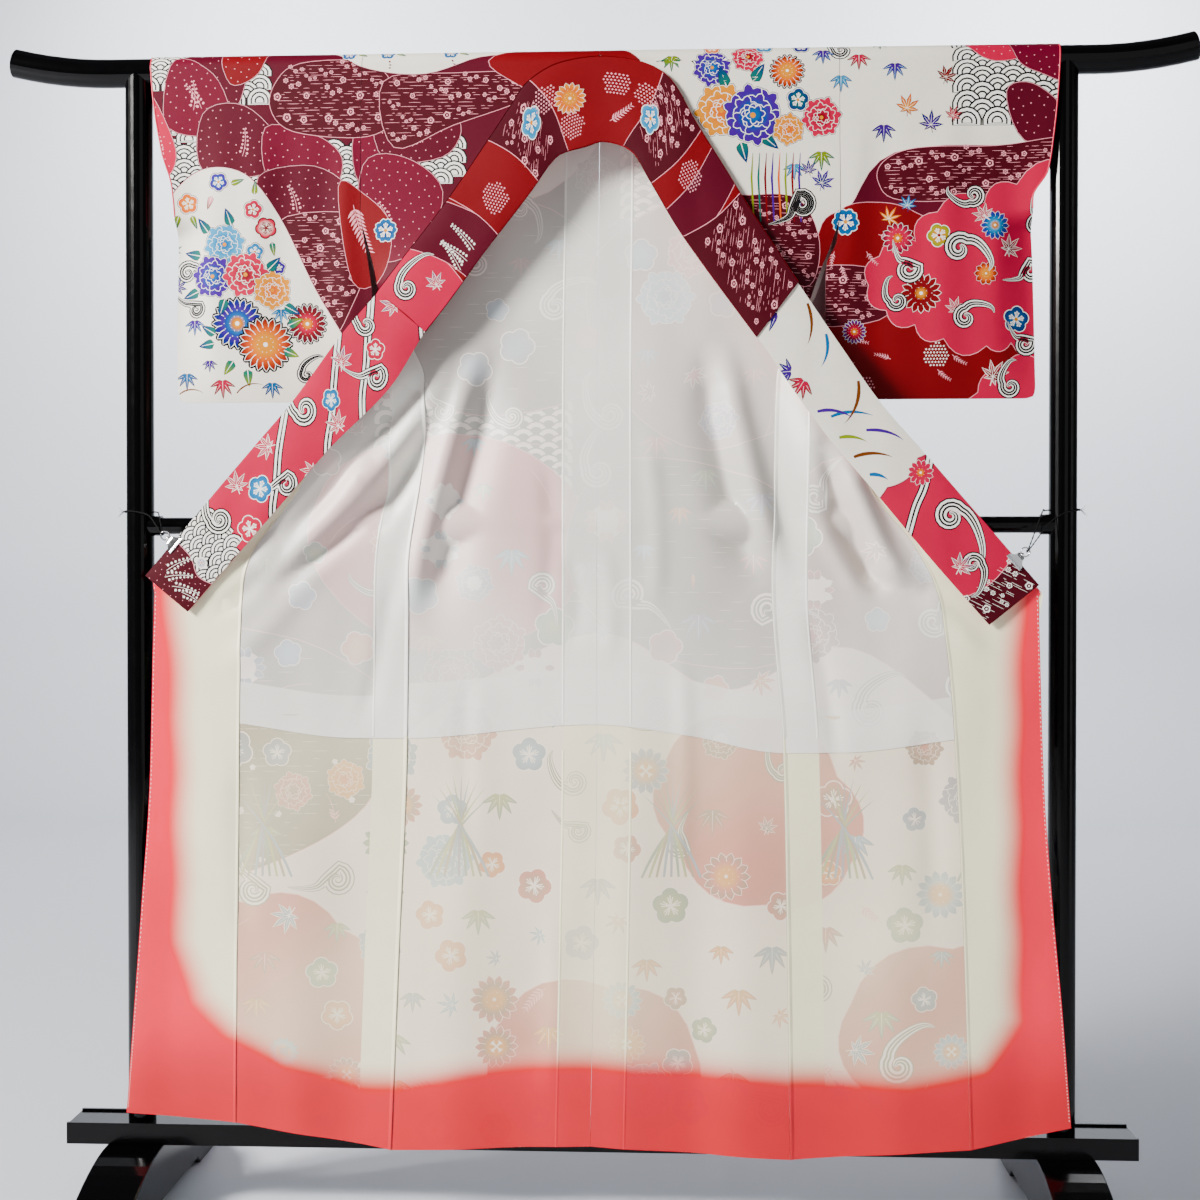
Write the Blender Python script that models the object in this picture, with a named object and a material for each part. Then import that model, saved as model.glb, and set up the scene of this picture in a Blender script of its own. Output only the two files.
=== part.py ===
"""A lined homongi kimono, hung opened out on a black kimono stand.

Metres, +Z up. The viewer looks along +Y and sees the lining between the two
collar bands. The origin is on the floor, midway between the posts and in
their plane. Cloth is a wall through a grid of points, worked out from the
seams' routes below. A seam's "down" is the distance along the cloth from the
shoulder fold, which lies over the top bar.
"""

import math

import bmesh
import bpy
import numpy as np

# Stand
POST_X = 0.659
POST_RADIUS = 0.0195
BAR_Z = 1.630
BAR_RADIUS = 0.020
BAR_HALF = 0.840
BAR_STRAIGHT = 0.700
BAR_RISE = 0.017
MID_BAR_Z = 0.978
MID_BAR_RADIUS = 0.012
SOCKET_RADIUS = 0.0145
SOCKET_LENGTH = 0.012
BEAM_TOP = 0.118
BEAM_HEIGHT = 0.0276
BEAM_DEPTH = 0.064
BEAM_HALF = 0.759
BEAM_LIP = 0.003
FOOT_WIDTH = 0.082
FOOT_REACH = 0.225
FOOT_FLAT = 0.034
FOOT_TIP = 0.014
FOOT_ARCH = 0.145
FOOT_ARCH_HEIGHT = 0.012
SEAT_GAP = 0.0003

# Cloth
SILK = 0.0010
COLLAR_THICKNESS = 0.0020
LAYER_GAP = 0.0004
SEAM_HALF_GAP = 0.00018
BAR_TO_CLOTH = 0.0009
WRAP_RADIUS = BAR_RADIUS + BAR_TO_CLOTH + SILK / 2
WRAP = WRAP_RADIUS * math.pi / 2
HEM_DOWN = 1.570
SIDE_SEAM_DOWN = 0.430
LINING_SPLIT = 0.975
LINING_TOP = 0.062
SLEEVE_BOTTOM_DOWN = 0.5086
CUFF_DOWN = 0.245
SLEEVE_CORNER = 0.014
SLEEVE_SEAM_GAP = 0.0004

# Seams of the body: (down, x, y, z). On the bar y and z follow its round.
CENTRE_BACK = [
    (0.000, 0.0055, 0.0000, 1.6514),
    (0.034, 0.0055, 0.0214, 1.6300),
    (0.088, 0.0052, 0.0200, 1.5757),
    (0.238, 0.0043, 0.0120, 1.4253),
    (0.479, 0.0023, -0.0050, 1.1843),
    (0.757, 0.0030, -0.0210, 0.9067),
    (1.004, 0.0034, -0.0280, 0.6596),
    (1.286, -0.0006, -0.0330, 0.3774),
    (1.570, -0.0060, -0.0372, 0.1010),
]
SIDE_BACK = {
    "left": [
        (0.000, -0.3295, 0.0000, 1.6514),
        (0.034, -0.3310, 0.0214, 1.6300),
        (0.245, -0.3380, 0.0130, 1.4190),
        (0.355, -0.3050, 0.0050, 1.3080),
        (0.430, -0.2632, -0.0020, 1.2340),
        (0.480, -0.2426, -0.0050, 1.1840),
        (0.560, -0.2416, -0.0120, 1.1040),
        (0.757, -0.2633, -0.0210, 0.9068),
        (1.005, -0.2654, -0.0280, 0.6582),
        (1.289, -0.2764, -0.0330, 0.3745),
        (1.570, -0.2870, -0.0385, 0.0918),
    ],
    "right": [
        (0.000, 0.3430, 0.0000, 1.6514),
        (0.034, 0.3430, 0.0214, 1.6300),
        (0.245, 0.3417, 0.0120, 1.4190),
        (0.355, 0.3150, 0.0050, 1.3080),
        (0.430, 0.2720, -0.0020, 1.2336),
        (0.481, 0.2574, -0.0050, 1.1828),
        (0.602, 0.2529, -0.0120, 1.0621),
        (0.770, 0.2490, -0.0210, 0.8940),
        (1.003, 0.2650, -0.0280, 0.6608),
        (1.284, 0.2706, -0.0330, 0.3803),
        (1.570, 0.2747, -0.0385, 0.0870),
    ],
}
# The front's outer edge turns from the sleeve seam to the side seam.
SIDE_FRONT = {
    "left": [
        (0.000, -0.3295, 0.0000, 1.6514),
        (0.034, -0.3310, -0.0214, 1.6300),
        (0.120, -0.3330, -0.0205, 1.5436),
        (0.245, -0.3340, -0.0190, 1.4190),
        (0.281, -0.3250, -0.0180, 1.3826),
        (0.318, -0.3155, -0.0165, 1.3456),
        (0.350, -0.3090, -0.0130, 1.3136),
        (0.390, -0.2880, -0.0060, 1.2736),
    ],
    "right": [
        (0.000, 0.3430, 0.0000, 1.6514),
        (0.034, 0.3430, -0.0214, 1.6300),
        (0.120, 0.3435, -0.0205, 1.5436),
        (0.245, 0.3445, -0.0190, 1.4190),
        (0.290, 0.3330, -0.0180, 1.3736),
        (0.322, 0.3200, -0.0165, 1.3416),
        (0.360, 0.3060, -0.0120, 1.3036),
        (0.395, 0.2945, -0.0065, 1.2686),
    ],
}
# The front's inner edge: the neck, then the collar's seam, then the okumi's seam.
FRONT_NECK = {
    "left": [
        (0.000, 0.0055, 0.0000, 1.6514),
        (0.027, 0.0030, -0.0203, 1.6366),
        (0.034, -0.0280, -0.0214, 1.6300),
    ],
    "right": [
        (0.000, 0.0055, 0.0000, 1.6514),
        (0.027, 0.0080, -0.0203, 1.6366),
        (0.034, 0.0350, -0.0214, 1.6300),
    ],
}
OKUMI_SEAM = {
    "left": [
        (0.390, -0.3150, -0.0312, 1.2736),
        (0.430, -0.3290, -0.0316, 1.2336),
        (0.495, -0.3570, -0.0322, 1.1688),
        (0.634, -0.4180, -0.0340, 1.0301),
        (0.736, -0.4895, -0.0360, 0.9281),
        (0.781, -0.4994, -0.0370, 0.8826),
        (1.006, -0.5043, -0.0370, 0.6580),
        (1.290, -0.5076, -0.0380, 0.3732),
        (1.570, -0.5092, -0.0395, 0.1281),
    ],
    "right": [
        (0.390, 0.3000, -0.0316, 1.2736),
        (0.430, 0.3125, -0.0322, 1.2336),
        (0.513, 0.3364, -0.0328, 1.1510),
        (0.640, 0.3849, -0.0340, 1.0238),
        (0.713, 0.4443, -0.0360, 0.9511),
        (0.792, 0.4802, -0.0370, 0.8718),
        (0.959, 0.5000, -0.0370, 0.7047),
        (1.210, 0.5128, -0.0380, 0.4539),
        (1.570, 0.5244, -0.0395, 0.1052),
    ],
}
# The okumi's free edge below the collar band's end. Above it the collar covers the edge.
OKUMI_FREE = {
    "left": [
        (0.778, -0.6250, -0.0412, 0.8855),
        (0.864, -0.6282, -0.0400, 0.8001),
        (1.049, -0.6332, -0.0400, 0.6150),
        (1.220, -0.6453, -0.0400, 0.4436),
        (1.406, -0.6590, -0.0400, 0.2576),
        (1.570, -0.6681, -0.0400, 0.1400),
    ],
    "right": [
        (0.784, 0.6160, -0.0414, 0.8802),
        (1.044, 0.6248, -0.0400, 0.6194),
        (1.190, 0.6348, -0.0400, 0.4735),
        (1.376, 0.6519, -0.0400, 0.2872),
        (1.570, 0.6634, -0.0400, 0.1382),
    ],
}
SEAM_COVER = 0.0035
BEHIND_COLLAR = COLLAR_THICKNESS / 2 + 2 * LAYER_GAP + 1.5 * SILK + 0.0004
OKUMI_TOP = 0.390

# Sleeves: (down, x). The cuff's edge, then the sewn edge below it.
CUFF_EDGE = {
    "left": [
        (0.000, -0.6370),
        (0.064, -0.6338),
        (0.150, -0.6211),
        (0.203, -0.6064),
        (0.279, -0.6016),
        (0.430, -0.6046),
        (0.5086, -0.6028),
    ],
    "right": [
        (0.000, 0.6500),
        (0.064, 0.6477),
        (0.158, 0.6387),
        (0.194, 0.6324),
        (0.231, 0.6121),
        (0.327, 0.6156),
        (0.5086, 0.6205),
    ],
}
# The sleeve's free edge under the armhole: (down, front x, back x).
SLEEVE_INNER = {
    "left": [
        (0.245, -0.3340, -0.3380),
        (0.281, -0.3284, -0.3370),
        (0.318, -0.3222, -0.3350),
        (0.361, -0.3175, -0.3320),
        (0.5086, -0.3165, -0.3230),
    ],
    "right": [
        (0.245, 0.3445, 0.3417),
        (0.290, 0.3390, 0.3410),
        (0.322, 0.3250, 0.3400),
        (0.361, 0.3239, 0.3380),
        (0.5086, 0.3295, 0.3340),
    ],
}

# The collar's stations: (outer x, outer z, inner x, inner z, y).
COLLAR_STATIONS = [
    (-0.6367, 0.9059, -0.5758, 0.8548, -0.0460),
    (-0.5842, 0.9679, -0.5252, 0.9126, -0.0445),
    (-0.5317, 1.0299, -0.4746, 0.9704, -0.0430),
    (-0.4790, 1.0913, -0.4241, 1.0283, -0.0415),
    (-0.4264, 1.1527, -0.3737, 1.0861, -0.0400),
    (-0.3526, 1.2529, -0.2859, 1.1749, -0.0370),
    (-0.3060, 1.3064, -0.2392, 1.2495, -0.0350),
    (-0.2691, 1.3542, -0.2039, 1.2945, -0.0340),
    (-0.2196, 1.4175, -0.1616, 1.3536, -0.0320),
    (-0.1489, 1.5198, -0.0853, 1.4530, -0.0296),
    (-0.1193, 1.5646, -0.0642, 1.4839, -0.0278),
    (-0.0967, 1.5983, -0.0488, 1.4994, -0.0262),
    (-0.0448, 1.6283, -0.0137, 1.5099, -0.0252),
    (0.0059, 1.6352, 0.0110, 1.5171, -0.0248),
    (0.0651, 1.6267, 0.0356, 1.5121, -0.0252),
    (0.1031, 1.6052, 0.0540, 1.5009, -0.0262),
    (0.1395, 1.5440, 0.0779, 1.4609, -0.0284),
    (0.1787, 1.4805, 0.1172, 1.3931, -0.0304),
    (0.2178, 1.4170, 0.1564, 1.3366, -0.0320),
    (0.2845, 1.3140, 0.2276, 1.2392, -0.0350),
    (0.3427, 1.2269, 0.2734, 1.1717, -0.0370),
    (0.3979, 1.1471, 0.3247, 1.1002, -0.0390),
    (0.4529, 1.0829, 0.3882, 1.0248, -0.0410),
    (0.5351, 0.9868, 0.4666, 0.9301, -0.0438),
    (0.6157, 0.8927, 0.5474, 0.8373, -0.0460),
]
OVER_COLLAR_FIRST = 6
OVER_COLLAR_LAST = 19
COLLAR_COLUMNS = 3

# Creases of the hung cloth: three points (x, z) of a bent line, its half
# width and its depth, which is positive for a trough away from the viewer.
CREASES = [
    (-0.240, 1.191, -0.274, 1.140, -0.338, 1.033, 0.014, 0.0070),
    (-0.337, 1.042, -0.392, 0.985, -0.476, 0.928, 0.020, 0.0060),
    (-0.300, 1.090, -0.356, 0.985, -0.476, 0.905, 0.018, -0.0050),
    (-0.247, 1.089, -0.285, 1.013, -0.323, 0.971, 0.016, 0.0050),
    (-0.132, 1.183, -0.182, 1.039, -0.227, 0.841, 0.024, 0.0060),
    (-0.163, 1.183, -0.213, 1.039, -0.252, 0.841, 0.020, -0.0035),
    (0.175, 1.181, 0.200, 1.069, 0.243, 0.936, 0.020, -0.0050),
    (0.148, 1.181, 0.169, 1.055, 0.212, 0.900, 0.022, 0.0050),
    (0.285, 1.147, 0.342, 1.011, 0.410, 0.894, 0.016, -0.0050),
    (0.326, 1.015, 0.358, 0.945, 0.392, 0.890, 0.014, 0.0080),
]
# Waves that run down to the hem: (x, half width, depth, top z).
HEM_WAVES = [
    (-0.585, 0.045, 0.0020, 0.70),
    (-0.425, 0.050, -0.0035, 0.72),
    (-0.345, 0.045, 0.0035, 0.80),
    (-0.200, 0.050, -0.0040, 0.85),
    (-0.105, 0.045, 0.0040, 0.90),
    (0.045, 0.040, -0.0030, 0.80),
    (0.135, 0.050, 0.0040, 0.88),
    (0.215, 0.040, -0.0040, 0.75),
    (0.335, 0.050, 0.0035, 0.80),
    (0.425, 0.045, -0.0030, 0.70),
    (0.600, 0.040, 0.0020, 0.70),
]

# Clips: centre of the grip on the band's outer edge, and the two grip ends
CLIP_LENGTH = 0.027
CLIP_METAL = 0.0012
CLIP_GRIP = 0.0075
CLIP_BACK = 0.0090
CLIP_FRONT_Y = 0.0016
CLIP_BACK_Y = 0.0062
RING_RADIUS = 0.0062
RING_WIRE = 0.0011
CLIPS = {
    "left": ((-0.5974, 0.9523), (-0.6367, 0.9059), (-0.5317, 1.0299), -0.0449),
    "right": ((0.5855, 0.9279), (0.6157, 0.8927), (0.5351, 0.9868), -0.0452),
}

# Ties: a closed loop of cord through the clip's ring and round the post,
# as steps from the post's centre towards the ring: (share, y, z)
CORD_RADIUS = 0.0009
TIE_ROUTES = {
    "left": [
        (-0.0210, 0.0000, 0.9985),
        (-0.0180, -0.0130, 0.9990),
        (-0.0080, -0.0206, 0.9985),
        (0.0060, -0.0235, 0.9965),
        (0.0230, -0.0300, 0.9905),
    ],
    "right": [
        (-0.0210, 0.0000, 0.9985),
        (-0.0180, -0.0130, 0.9975),
        (-0.0080, -0.0206, 0.9955),
        (0.0060, -0.0235, 0.9915),
        (0.0260, -0.0300, 0.9780),
    ],
}
TIE_RETURN = [
    (0.0340, -0.0225, 0.9935),
    (0.0270, -0.0060, 0.9970),
    (0.0180, 0.0100, 0.9985),
    (0.0080, 0.0206, 0.9990),
    (-0.0090, 0.0206, 0.9992),
    (-0.0180, 0.0130, 0.9990),
]

# Rows of the cloth's grids, as distances down from the shoulder fold
BAR_ROWS = [0.0, 0.0084, 0.0168, 0.0252, 0.0336]
YOKE_ROWS = [0.064, 0.105, 0.150, 0.200, 0.245]
BACK_ROWS = [0.290, 0.330, 0.380, 0.430]
BODY_ROWS = [0.480, 0.530, 0.580, 0.630, 0.690, 0.750, 0.820, 0.895, LINING_SPLIT]
HEM_ROWS = [1.070, 1.170, 1.275, 1.380, 1.480, HEM_DOWN]
TWIST_ROWS = [0.281, 0.318, 0.345, 0.368, OKUMI_TOP, 0.410, SIDE_SEAM_DOWN]
POCKET_ROWS = [0.290, 0.340, 0.395, 0.445, 0.480, 0.500]
BACK_COLUMNS = 8
FRONT_COLUMNS = 6
OKUMI_COLUMNS = 4
SLEEVE_COLUMNS = [0.0, 0.16, 0.36, 0.56, 0.74, 0.88, 0.96, 1.0]

COLOURS = {
    "silk_print": (0.42, 0.05, 0.09, 0.55, 0.0),
    "white_silk": (0.80, 0.80, 0.76, 0.45, 0.0),
    "lower_lining": (0.86, 0.52, 0.44, 0.5, 0.0),
    "lacquer": (0.008, 0.008, 0.009, 0.18, 0.0),
    "clip_steel": (0.72, 0.72, 0.73, 0.22, 1.0),
    "cord": (0.012, 0.012, 0.013, 0.7, 0.0),
}


def clear_scene():
    for obj in list(bpy.data.objects):
        bpy.data.objects.remove(obj, do_unlink=True)


def material(name):
    found = bpy.data.materials.get(name)
    if found:
        return found
    red, green, blue, roughness, metallic = COLOURS[name]
    made = bpy.data.materials.new(name)
    made.use_nodes = True
    shader = made.node_tree.nodes["Principled BSDF"]
    shader.inputs["Base Color"].default_value = (red, green, blue, 1.0)
    shader.inputs["Roughness"].default_value = roughness
    shader.inputs["Metallic"].default_value = metallic
    return made


def smooth_step(low, high, value):
    t = np.clip((value - low) / (high - low), 0.0, 1.0)
    return t * t * (3.0 - 2.0 * t)


def along(table, at):
    """Reads a table's columns at a first-column value, on a smooth curve that doesn't overshoot."""
    rows = np.array(table, float)
    at = min(max(at, rows[0, 0]), rows[-1, 0])
    last = int(min(np.searchsorted(rows[:, 0], at, side="right"), len(rows) - 1))
    steps = np.diff(rows[:, 0])
    slopes = np.diff(rows[:, 1:], axis=0) / steps[:, None]
    tangents = np.zeros_like(rows[:, 1:])
    tangents[0] = slopes[0]
    tangents[-1] = slopes[-1]
    product = slopes[:-1] * slopes[1:]
    total = np.where(np.abs(slopes[:-1] + slopes[1:]) < 1e-12, 1.0, slopes[:-1] + slopes[1:])
    tangents[1:-1] = np.where(product > 0, 2.0 * product / total, 0.0)
    first = last - 1
    width = steps[first]
    t = (at - rows[first, 0]) / width
    start = rows[first, 1:] * (1 + 2 * t) * (1 - t) ** 2 + tangents[first] * width * t * (1 - t) ** 2
    end = rows[last, 1:] * t * t * (3 - 2 * t) + tangents[last] * width * t * t * (t - 1)
    return start + end


def seam_point(table, down, side_of_bar):
    """A point of a seam. side_of_bar is 1 behind the bar and -1 in front of it."""
    x, y, z = along(table, down)
    if down < WRAP:
        angle = down / WRAP_RADIUS
        y = side_of_bar * WRAP_RADIUS * math.sin(angle)
        z = BAR_Z + WRAP_RADIUS * math.cos(angle)
    return np.array([x, y, z])


def front_side_point(side, down):
    if down >= SIDE_SEAM_DOWN:
        return seam_point(SIDE_BACK[side], down, 1)
    shared = [row for row in SIDE_BACK[side] if row[0] >= SIDE_SEAM_DOWN][:2]
    return seam_point(SIDE_FRONT[side] + shared, down, -1)


def crease_depth(x, z):
    """How far the creases and waves move the hung cloth away from the viewer."""
    depth = 0.0
    for x0, z0, x1, z1, x2, z2, half_width, crease in CREASES:
        nearest = None
        for step in range(13):
            t = step / 12
            cx = x0 * (1 - t) ** 2 + 2 * x1 * t * (1 - t) + x2 * t * t
            cz = z0 * (1 - t) ** 2 + 2 * z1 * t * (1 - t) + z2 * t * t
            distance = math.hypot(x - cx, z - cz)
            if nearest is None or distance < nearest[0]:
                nearest = (distance, t)
        distance, t = nearest
        fade = min(1.0, 4.0 * t + 0.25, 4.0 * (1.0 - t) + 0.25)
        depth += crease * fade * math.exp(-((distance / half_width) ** 2))
    for wave_x, half_width, wave, top in HEM_WAVES:
        share = float(smooth_step(top, top - 0.45, z))
        depth += wave * share * math.exp(-(((x - wave_x) / half_width) ** 2))
    return depth


def back_row(down):
    left = seam_point(SIDE_BACK["left"], down, 1)
    middle = seam_point(CENTRE_BACK, down, 1)
    right = seam_point(SIDE_BACK["right"], down, 1)
    return left, middle, right


def blended_row(start, end, columns, creased):
    points = []
    for column in range(columns + 1):
        point = start + (end - start) * column / columns
        if creased:
            point = point + np.array([0.0, crease_depth(point[0], point[2]), 0.0])
        points.append(point)
    return points


def back_grid(side):
    """Rows from the shoulder fold to the hem, columns from the side seam to the centre back."""
    grid = []
    for down in BAR_ROWS + YOKE_ROWS + BACK_ROWS + BODY_ROWS + HEM_ROWS:
        left, middle, right = back_row(down)
        start = left if side == "left" else right
        grid.append(blended_row(start, middle, BACK_COLUMNS, down >= SIDE_SEAM_DOWN))
    return grid


def front_rows():
    return BAR_ROWS + YOKE_ROWS + TWIST_ROWS + BODY_ROWS + HEM_ROWS


def front_grid(side):
    """Rows as on the back, columns from the side seam to the inner edge."""
    grid = []
    for down in front_rows():
        start = front_side_point(side, down)
        end = front_inner_point(side, down)
        grid.append(blended_row(start, end, FRONT_COLUMNS, down >= SIDE_SEAM_DOWN))
    return grid


def collar_edge(side, z):
    """The collar band's outer edge at a height: x, y and the edge's slope in x over z."""
    half = COLLAR_STATIONS[:13] if side == "left" else COLLAR_STATIONS[:13:-1]
    heights = [row[1] for row in half]
    upper = min(max(int(np.searchsorted(heights, z)), 1), len(half) - 1)
    low, high = half[upper - 1], half[upper]
    share = (z - low[1]) / (high[1] - low[1])
    slope = (high[0] - low[0]) / (high[1] - low[1])
    return low[0] + (high[0] - low[0]) * share, low[4] + (high[4] - low[4]) * share, slope


def collar_seam_point(side, down):
    """A point just under the band's outer edge and behind it."""
    z = BAR_Z + WRAP - down
    x, y, slope = collar_edge(side, z)
    inwards = 1.0 if side == "left" else -1.0
    return np.array([x + inwards * SEAM_COVER * math.hypot(1.0, slope), y + BEHIND_COLLAR, z])


def front_inner_point(side, down):
    if down <= FRONT_NECK[side][-1][0]:
        return seam_point(FRONT_NECK[side], down, -1)
    if down < OKUMI_TOP:
        return collar_seam_point(side, down)
    return seam_point(OKUMI_SEAM[side], down, -1)


def okumi_outer_point(side, down):
    if down >= OKUMI_FREE[side][0][0]:
        return seam_point(OKUMI_FREE[side], down, -1)
    return collar_seam_point(side, down)


def okumi_rows():
    return [OKUMI_TOP, 0.410, SIDE_SEAM_DOWN] + BODY_ROWS + HEM_ROWS


def okumi_grid(side):
    grid = []
    for down in okumi_rows():
        start = seam_point(OKUMI_SEAM[side], down, -1)
        end = okumi_outer_point(side, down)
        grid.append(blended_row(start, end, OKUMI_COLUMNS, down >= SIDE_SEAM_DOWN))
    return grid


def grid_faces(rows, columns, flip):
    """Triangles, all cut along the same diagonal, so that a lining stays parallel to its panel."""
    faces = []
    for row in range(rows - 1):
        for column in range(columns - 1):
            corner = row * columns + column
            below = corner + columns
            for face in ((corner, corner + 1, below + 1), (corner, below + 1, below)):
                faces.append(face[::-1] if flip else face)
    return faces


def point_key(point):
    return tuple(int(round(value * 1e5)) for value in point)


def add_normals(store, points, faces):
    """Adds the faces' normals at each point's place, so that panels that meet at a seam share them."""
    for face in faces:
        corners = [points[index] for index in face]
        normal = np.zeros(3)
        for index, corner in enumerate(corners):
            following = corners[(index + 1) % len(corners)]
            normal += np.cross(corner - corners[0], following - corners[0])
        for corner in corners:
            key = point_key(corner)
            store[key] = store.get(key, np.zeros(3)) + normal


def normals_at(store, points):
    found = []
    for point in points:
        normal = store[point_key(point)]
        found.append(normal / np.linalg.norm(normal))
    return found


def edge_loop_sides(faces, offset):
    """Walls along a sheet's open edges, between the sheet and its copy."""
    directed = set()
    for face in faces:
        for index, start in enumerate(face):
            directed.add((start, face[(index + 1) % len(face)]))
    return [
        (end, start, start + offset, end + offset)
        for start, end in sorted(directed)
        if (end, start) not in directed
    ]


def make_object(name, points, faces, material_name, smooth=True):
    mesh = bpy.data.meshes.new(name)
    mesh.from_pydata([tuple(point) for point in points], [], faces)
    mesh.materials.append(material(material_name))
    if smooth:
        mesh.shade_smooth()
        mesh.set_sharp_from_angle(angle=math.radians(50))
    obj = bpy.data.objects.new(name, mesh)
    bpy.context.scene.collection.objects.link(obj)
    return obj


def face_outwards(obj):
    mesh = bmesh.new()
    mesh.from_mesh(obj.data)
    bmesh.ops.recalc_face_normals(mesh, faces=mesh.faces)
    mesh.to_mesh(obj.data)
    mesh.free()
    return obj


def cloth_wall(name, points, normals, faces, low, high, material_name):
    """A closed wall from low to high along the normals, which face the garment's outside."""
    outer = [point + normal * high for point, normal in zip(points, normals)]
    inner = [point + normal * low for point, normal in zip(points, normals)]
    count = len(points)
    back_faces = [tuple(index + count for index in reversed(face)) for face in faces]
    sides = edge_loop_sides(faces, count)
    return make_object(name, outer + inner, faces + back_faces + sides, material_name)


def inset_edges(grid, first_column, last_column, first_row=0.0, last_row=0.0):
    """Moves a grid's edges inwards by the given amounts, so that seams keep their gap."""
    moved = [[point.copy() for point in row] for row in grid]
    for row in moved:
        inwards = row[1] - row[0]
        row[0] = row[0] + inwards / np.linalg.norm(inwards) * first_column
        inwards = row[-2] - row[-1]
        row[-1] = row[-1] + inwards / np.linalg.norm(inwards) * last_column
    for column in range(len(moved[0])):
        inwards = moved[1][column] - moved[0][column]
        moved[0][column] = moved[0][column] + inwards / np.linalg.norm(inwards) * first_row
        inwards = moved[-2][column] - moved[-1][column]
        moved[-1][column] = moved[-1][column] + inwards / np.linalg.norm(inwards) * last_row
    return moved


def flat_list(grid):
    return [point for row in grid for point in row]


def panel_wall(name, grid, store, flip, low, high, material_name, insets):
    normals = normals_at(store, flat_list(grid))
    points = flat_list(inset_edges(grid, *insets))
    faces = grid_faces(len(grid), len(grid[0]), flip)
    return cloth_wall(name, points, normals, faces, low, high, material_name)


def rows_between(grid, rows, first, last):
    return [line for line, down in zip(grid, rows) if first - 1e-6 <= down <= last + 1e-6]


def sleeve_grids(side):
    """Front and back halves of a sleeve, rows from the shoulder fold to the bottom fold."""
    front = []
    back = []
    rows = BAR_ROWS + YOKE_ROWS + POCKET_ROWS + [SLEEVE_BOTTOM_DOWN]
    for down in rows:
        seam_front = front_side_point(side, min(down, CUFF_DOWN))
        seam_back = seam_point(SIDE_BACK[side], min(down, CUFF_DOWN), 1)
        z = seam_front[2] - max(0.0, down - CUFF_DOWN)
        cuff_x = along(CUFF_EDGE[side], down)[0]
        front_x, back_x = seam_front[0], seam_back[0]
        if down > CUFF_DOWN:
            front_x, back_x = along(SLEEVE_INNER[side], down)
        hang = np.clip((down - WRAP) / (SLEEVE_BOTTOM_DOWN - WRAP), 0.0, 1.0)
        free = WRAP_RADIUS * (1 - 0.35 * hang) * (1 - hang**6)
        inner_share = 1 - hang**6
        lines = ([], [])
        for share in SLEEVE_COLUMNS:
            from_seam = float(smooth_step(0.0, 0.36, share))
            closed = 0.0
            if down > CUFF_DOWN + 0.01:
                closed = float(smooth_step(0.80, 1.0, share))
            for line, x, seam, sign in ((lines[0], front_x, seam_front, -1), (lines[1], back_x, seam_back, 1)):
                y = seam[1] * inner_share * (1 - from_seam) + sign * free * from_seam
                if down < WRAP:
                    y = seam[1]
                point = np.array([x + (cuff_x - x) * share, y * (1 - closed), z])
                line.append(rounded_corner(point, cuff_x, side))
        front.append(lines[0])
        back.append(lines[1])
    return front, back


def rounded_corner(point, cuff_x, side):
    """Rounds the sleeve's lower outer corner, seen from the front."""
    outwards = -1.0 if side == "left" else 1.0
    bottom = BAR_Z - (SLEEVE_BOTTOM_DOWN - WRAP)
    u = (point[0] - cuff_x) * outwards / SLEEVE_CORNER + 1.0
    w = (bottom - point[2]) / SLEEVE_CORNER + 1.0
    if u <= 0.0 or w <= 0.0:
        return point
    scale = max(u, w) / math.hypot(u, w)
    x = cuff_x + outwards * SLEEVE_CORNER * (u * scale - 1.0)
    z = bottom - SLEEVE_CORNER * (w * scale - 1.0)
    return np.array([x, point[1], z])


def sleeve_sheet(side):
    """One bag: the halves share the shoulder fold, the bottom fold and the sewn outer edge."""
    front, back = sleeve_grids(side)
    points = []
    index_of = {}
    faces = []
    columns = len(SLEEVE_COLUMNS)
    for half, flip in ((front, side == "right"), (back, side == "left")):
        numbers = []
        for line in half:
            for point in line:
                key = point_key(point)
                if key not in index_of:
                    index_of[key] = len(points)
                    points.append(point)
                numbers.append(index_of[key])
        for face in grid_faces(len(half), columns, flip):
            corners = tuple(dict.fromkeys(numbers[index] for index in face))
            if len(corners) > 2:
                faces.append(corners)
    return points, faces


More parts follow.
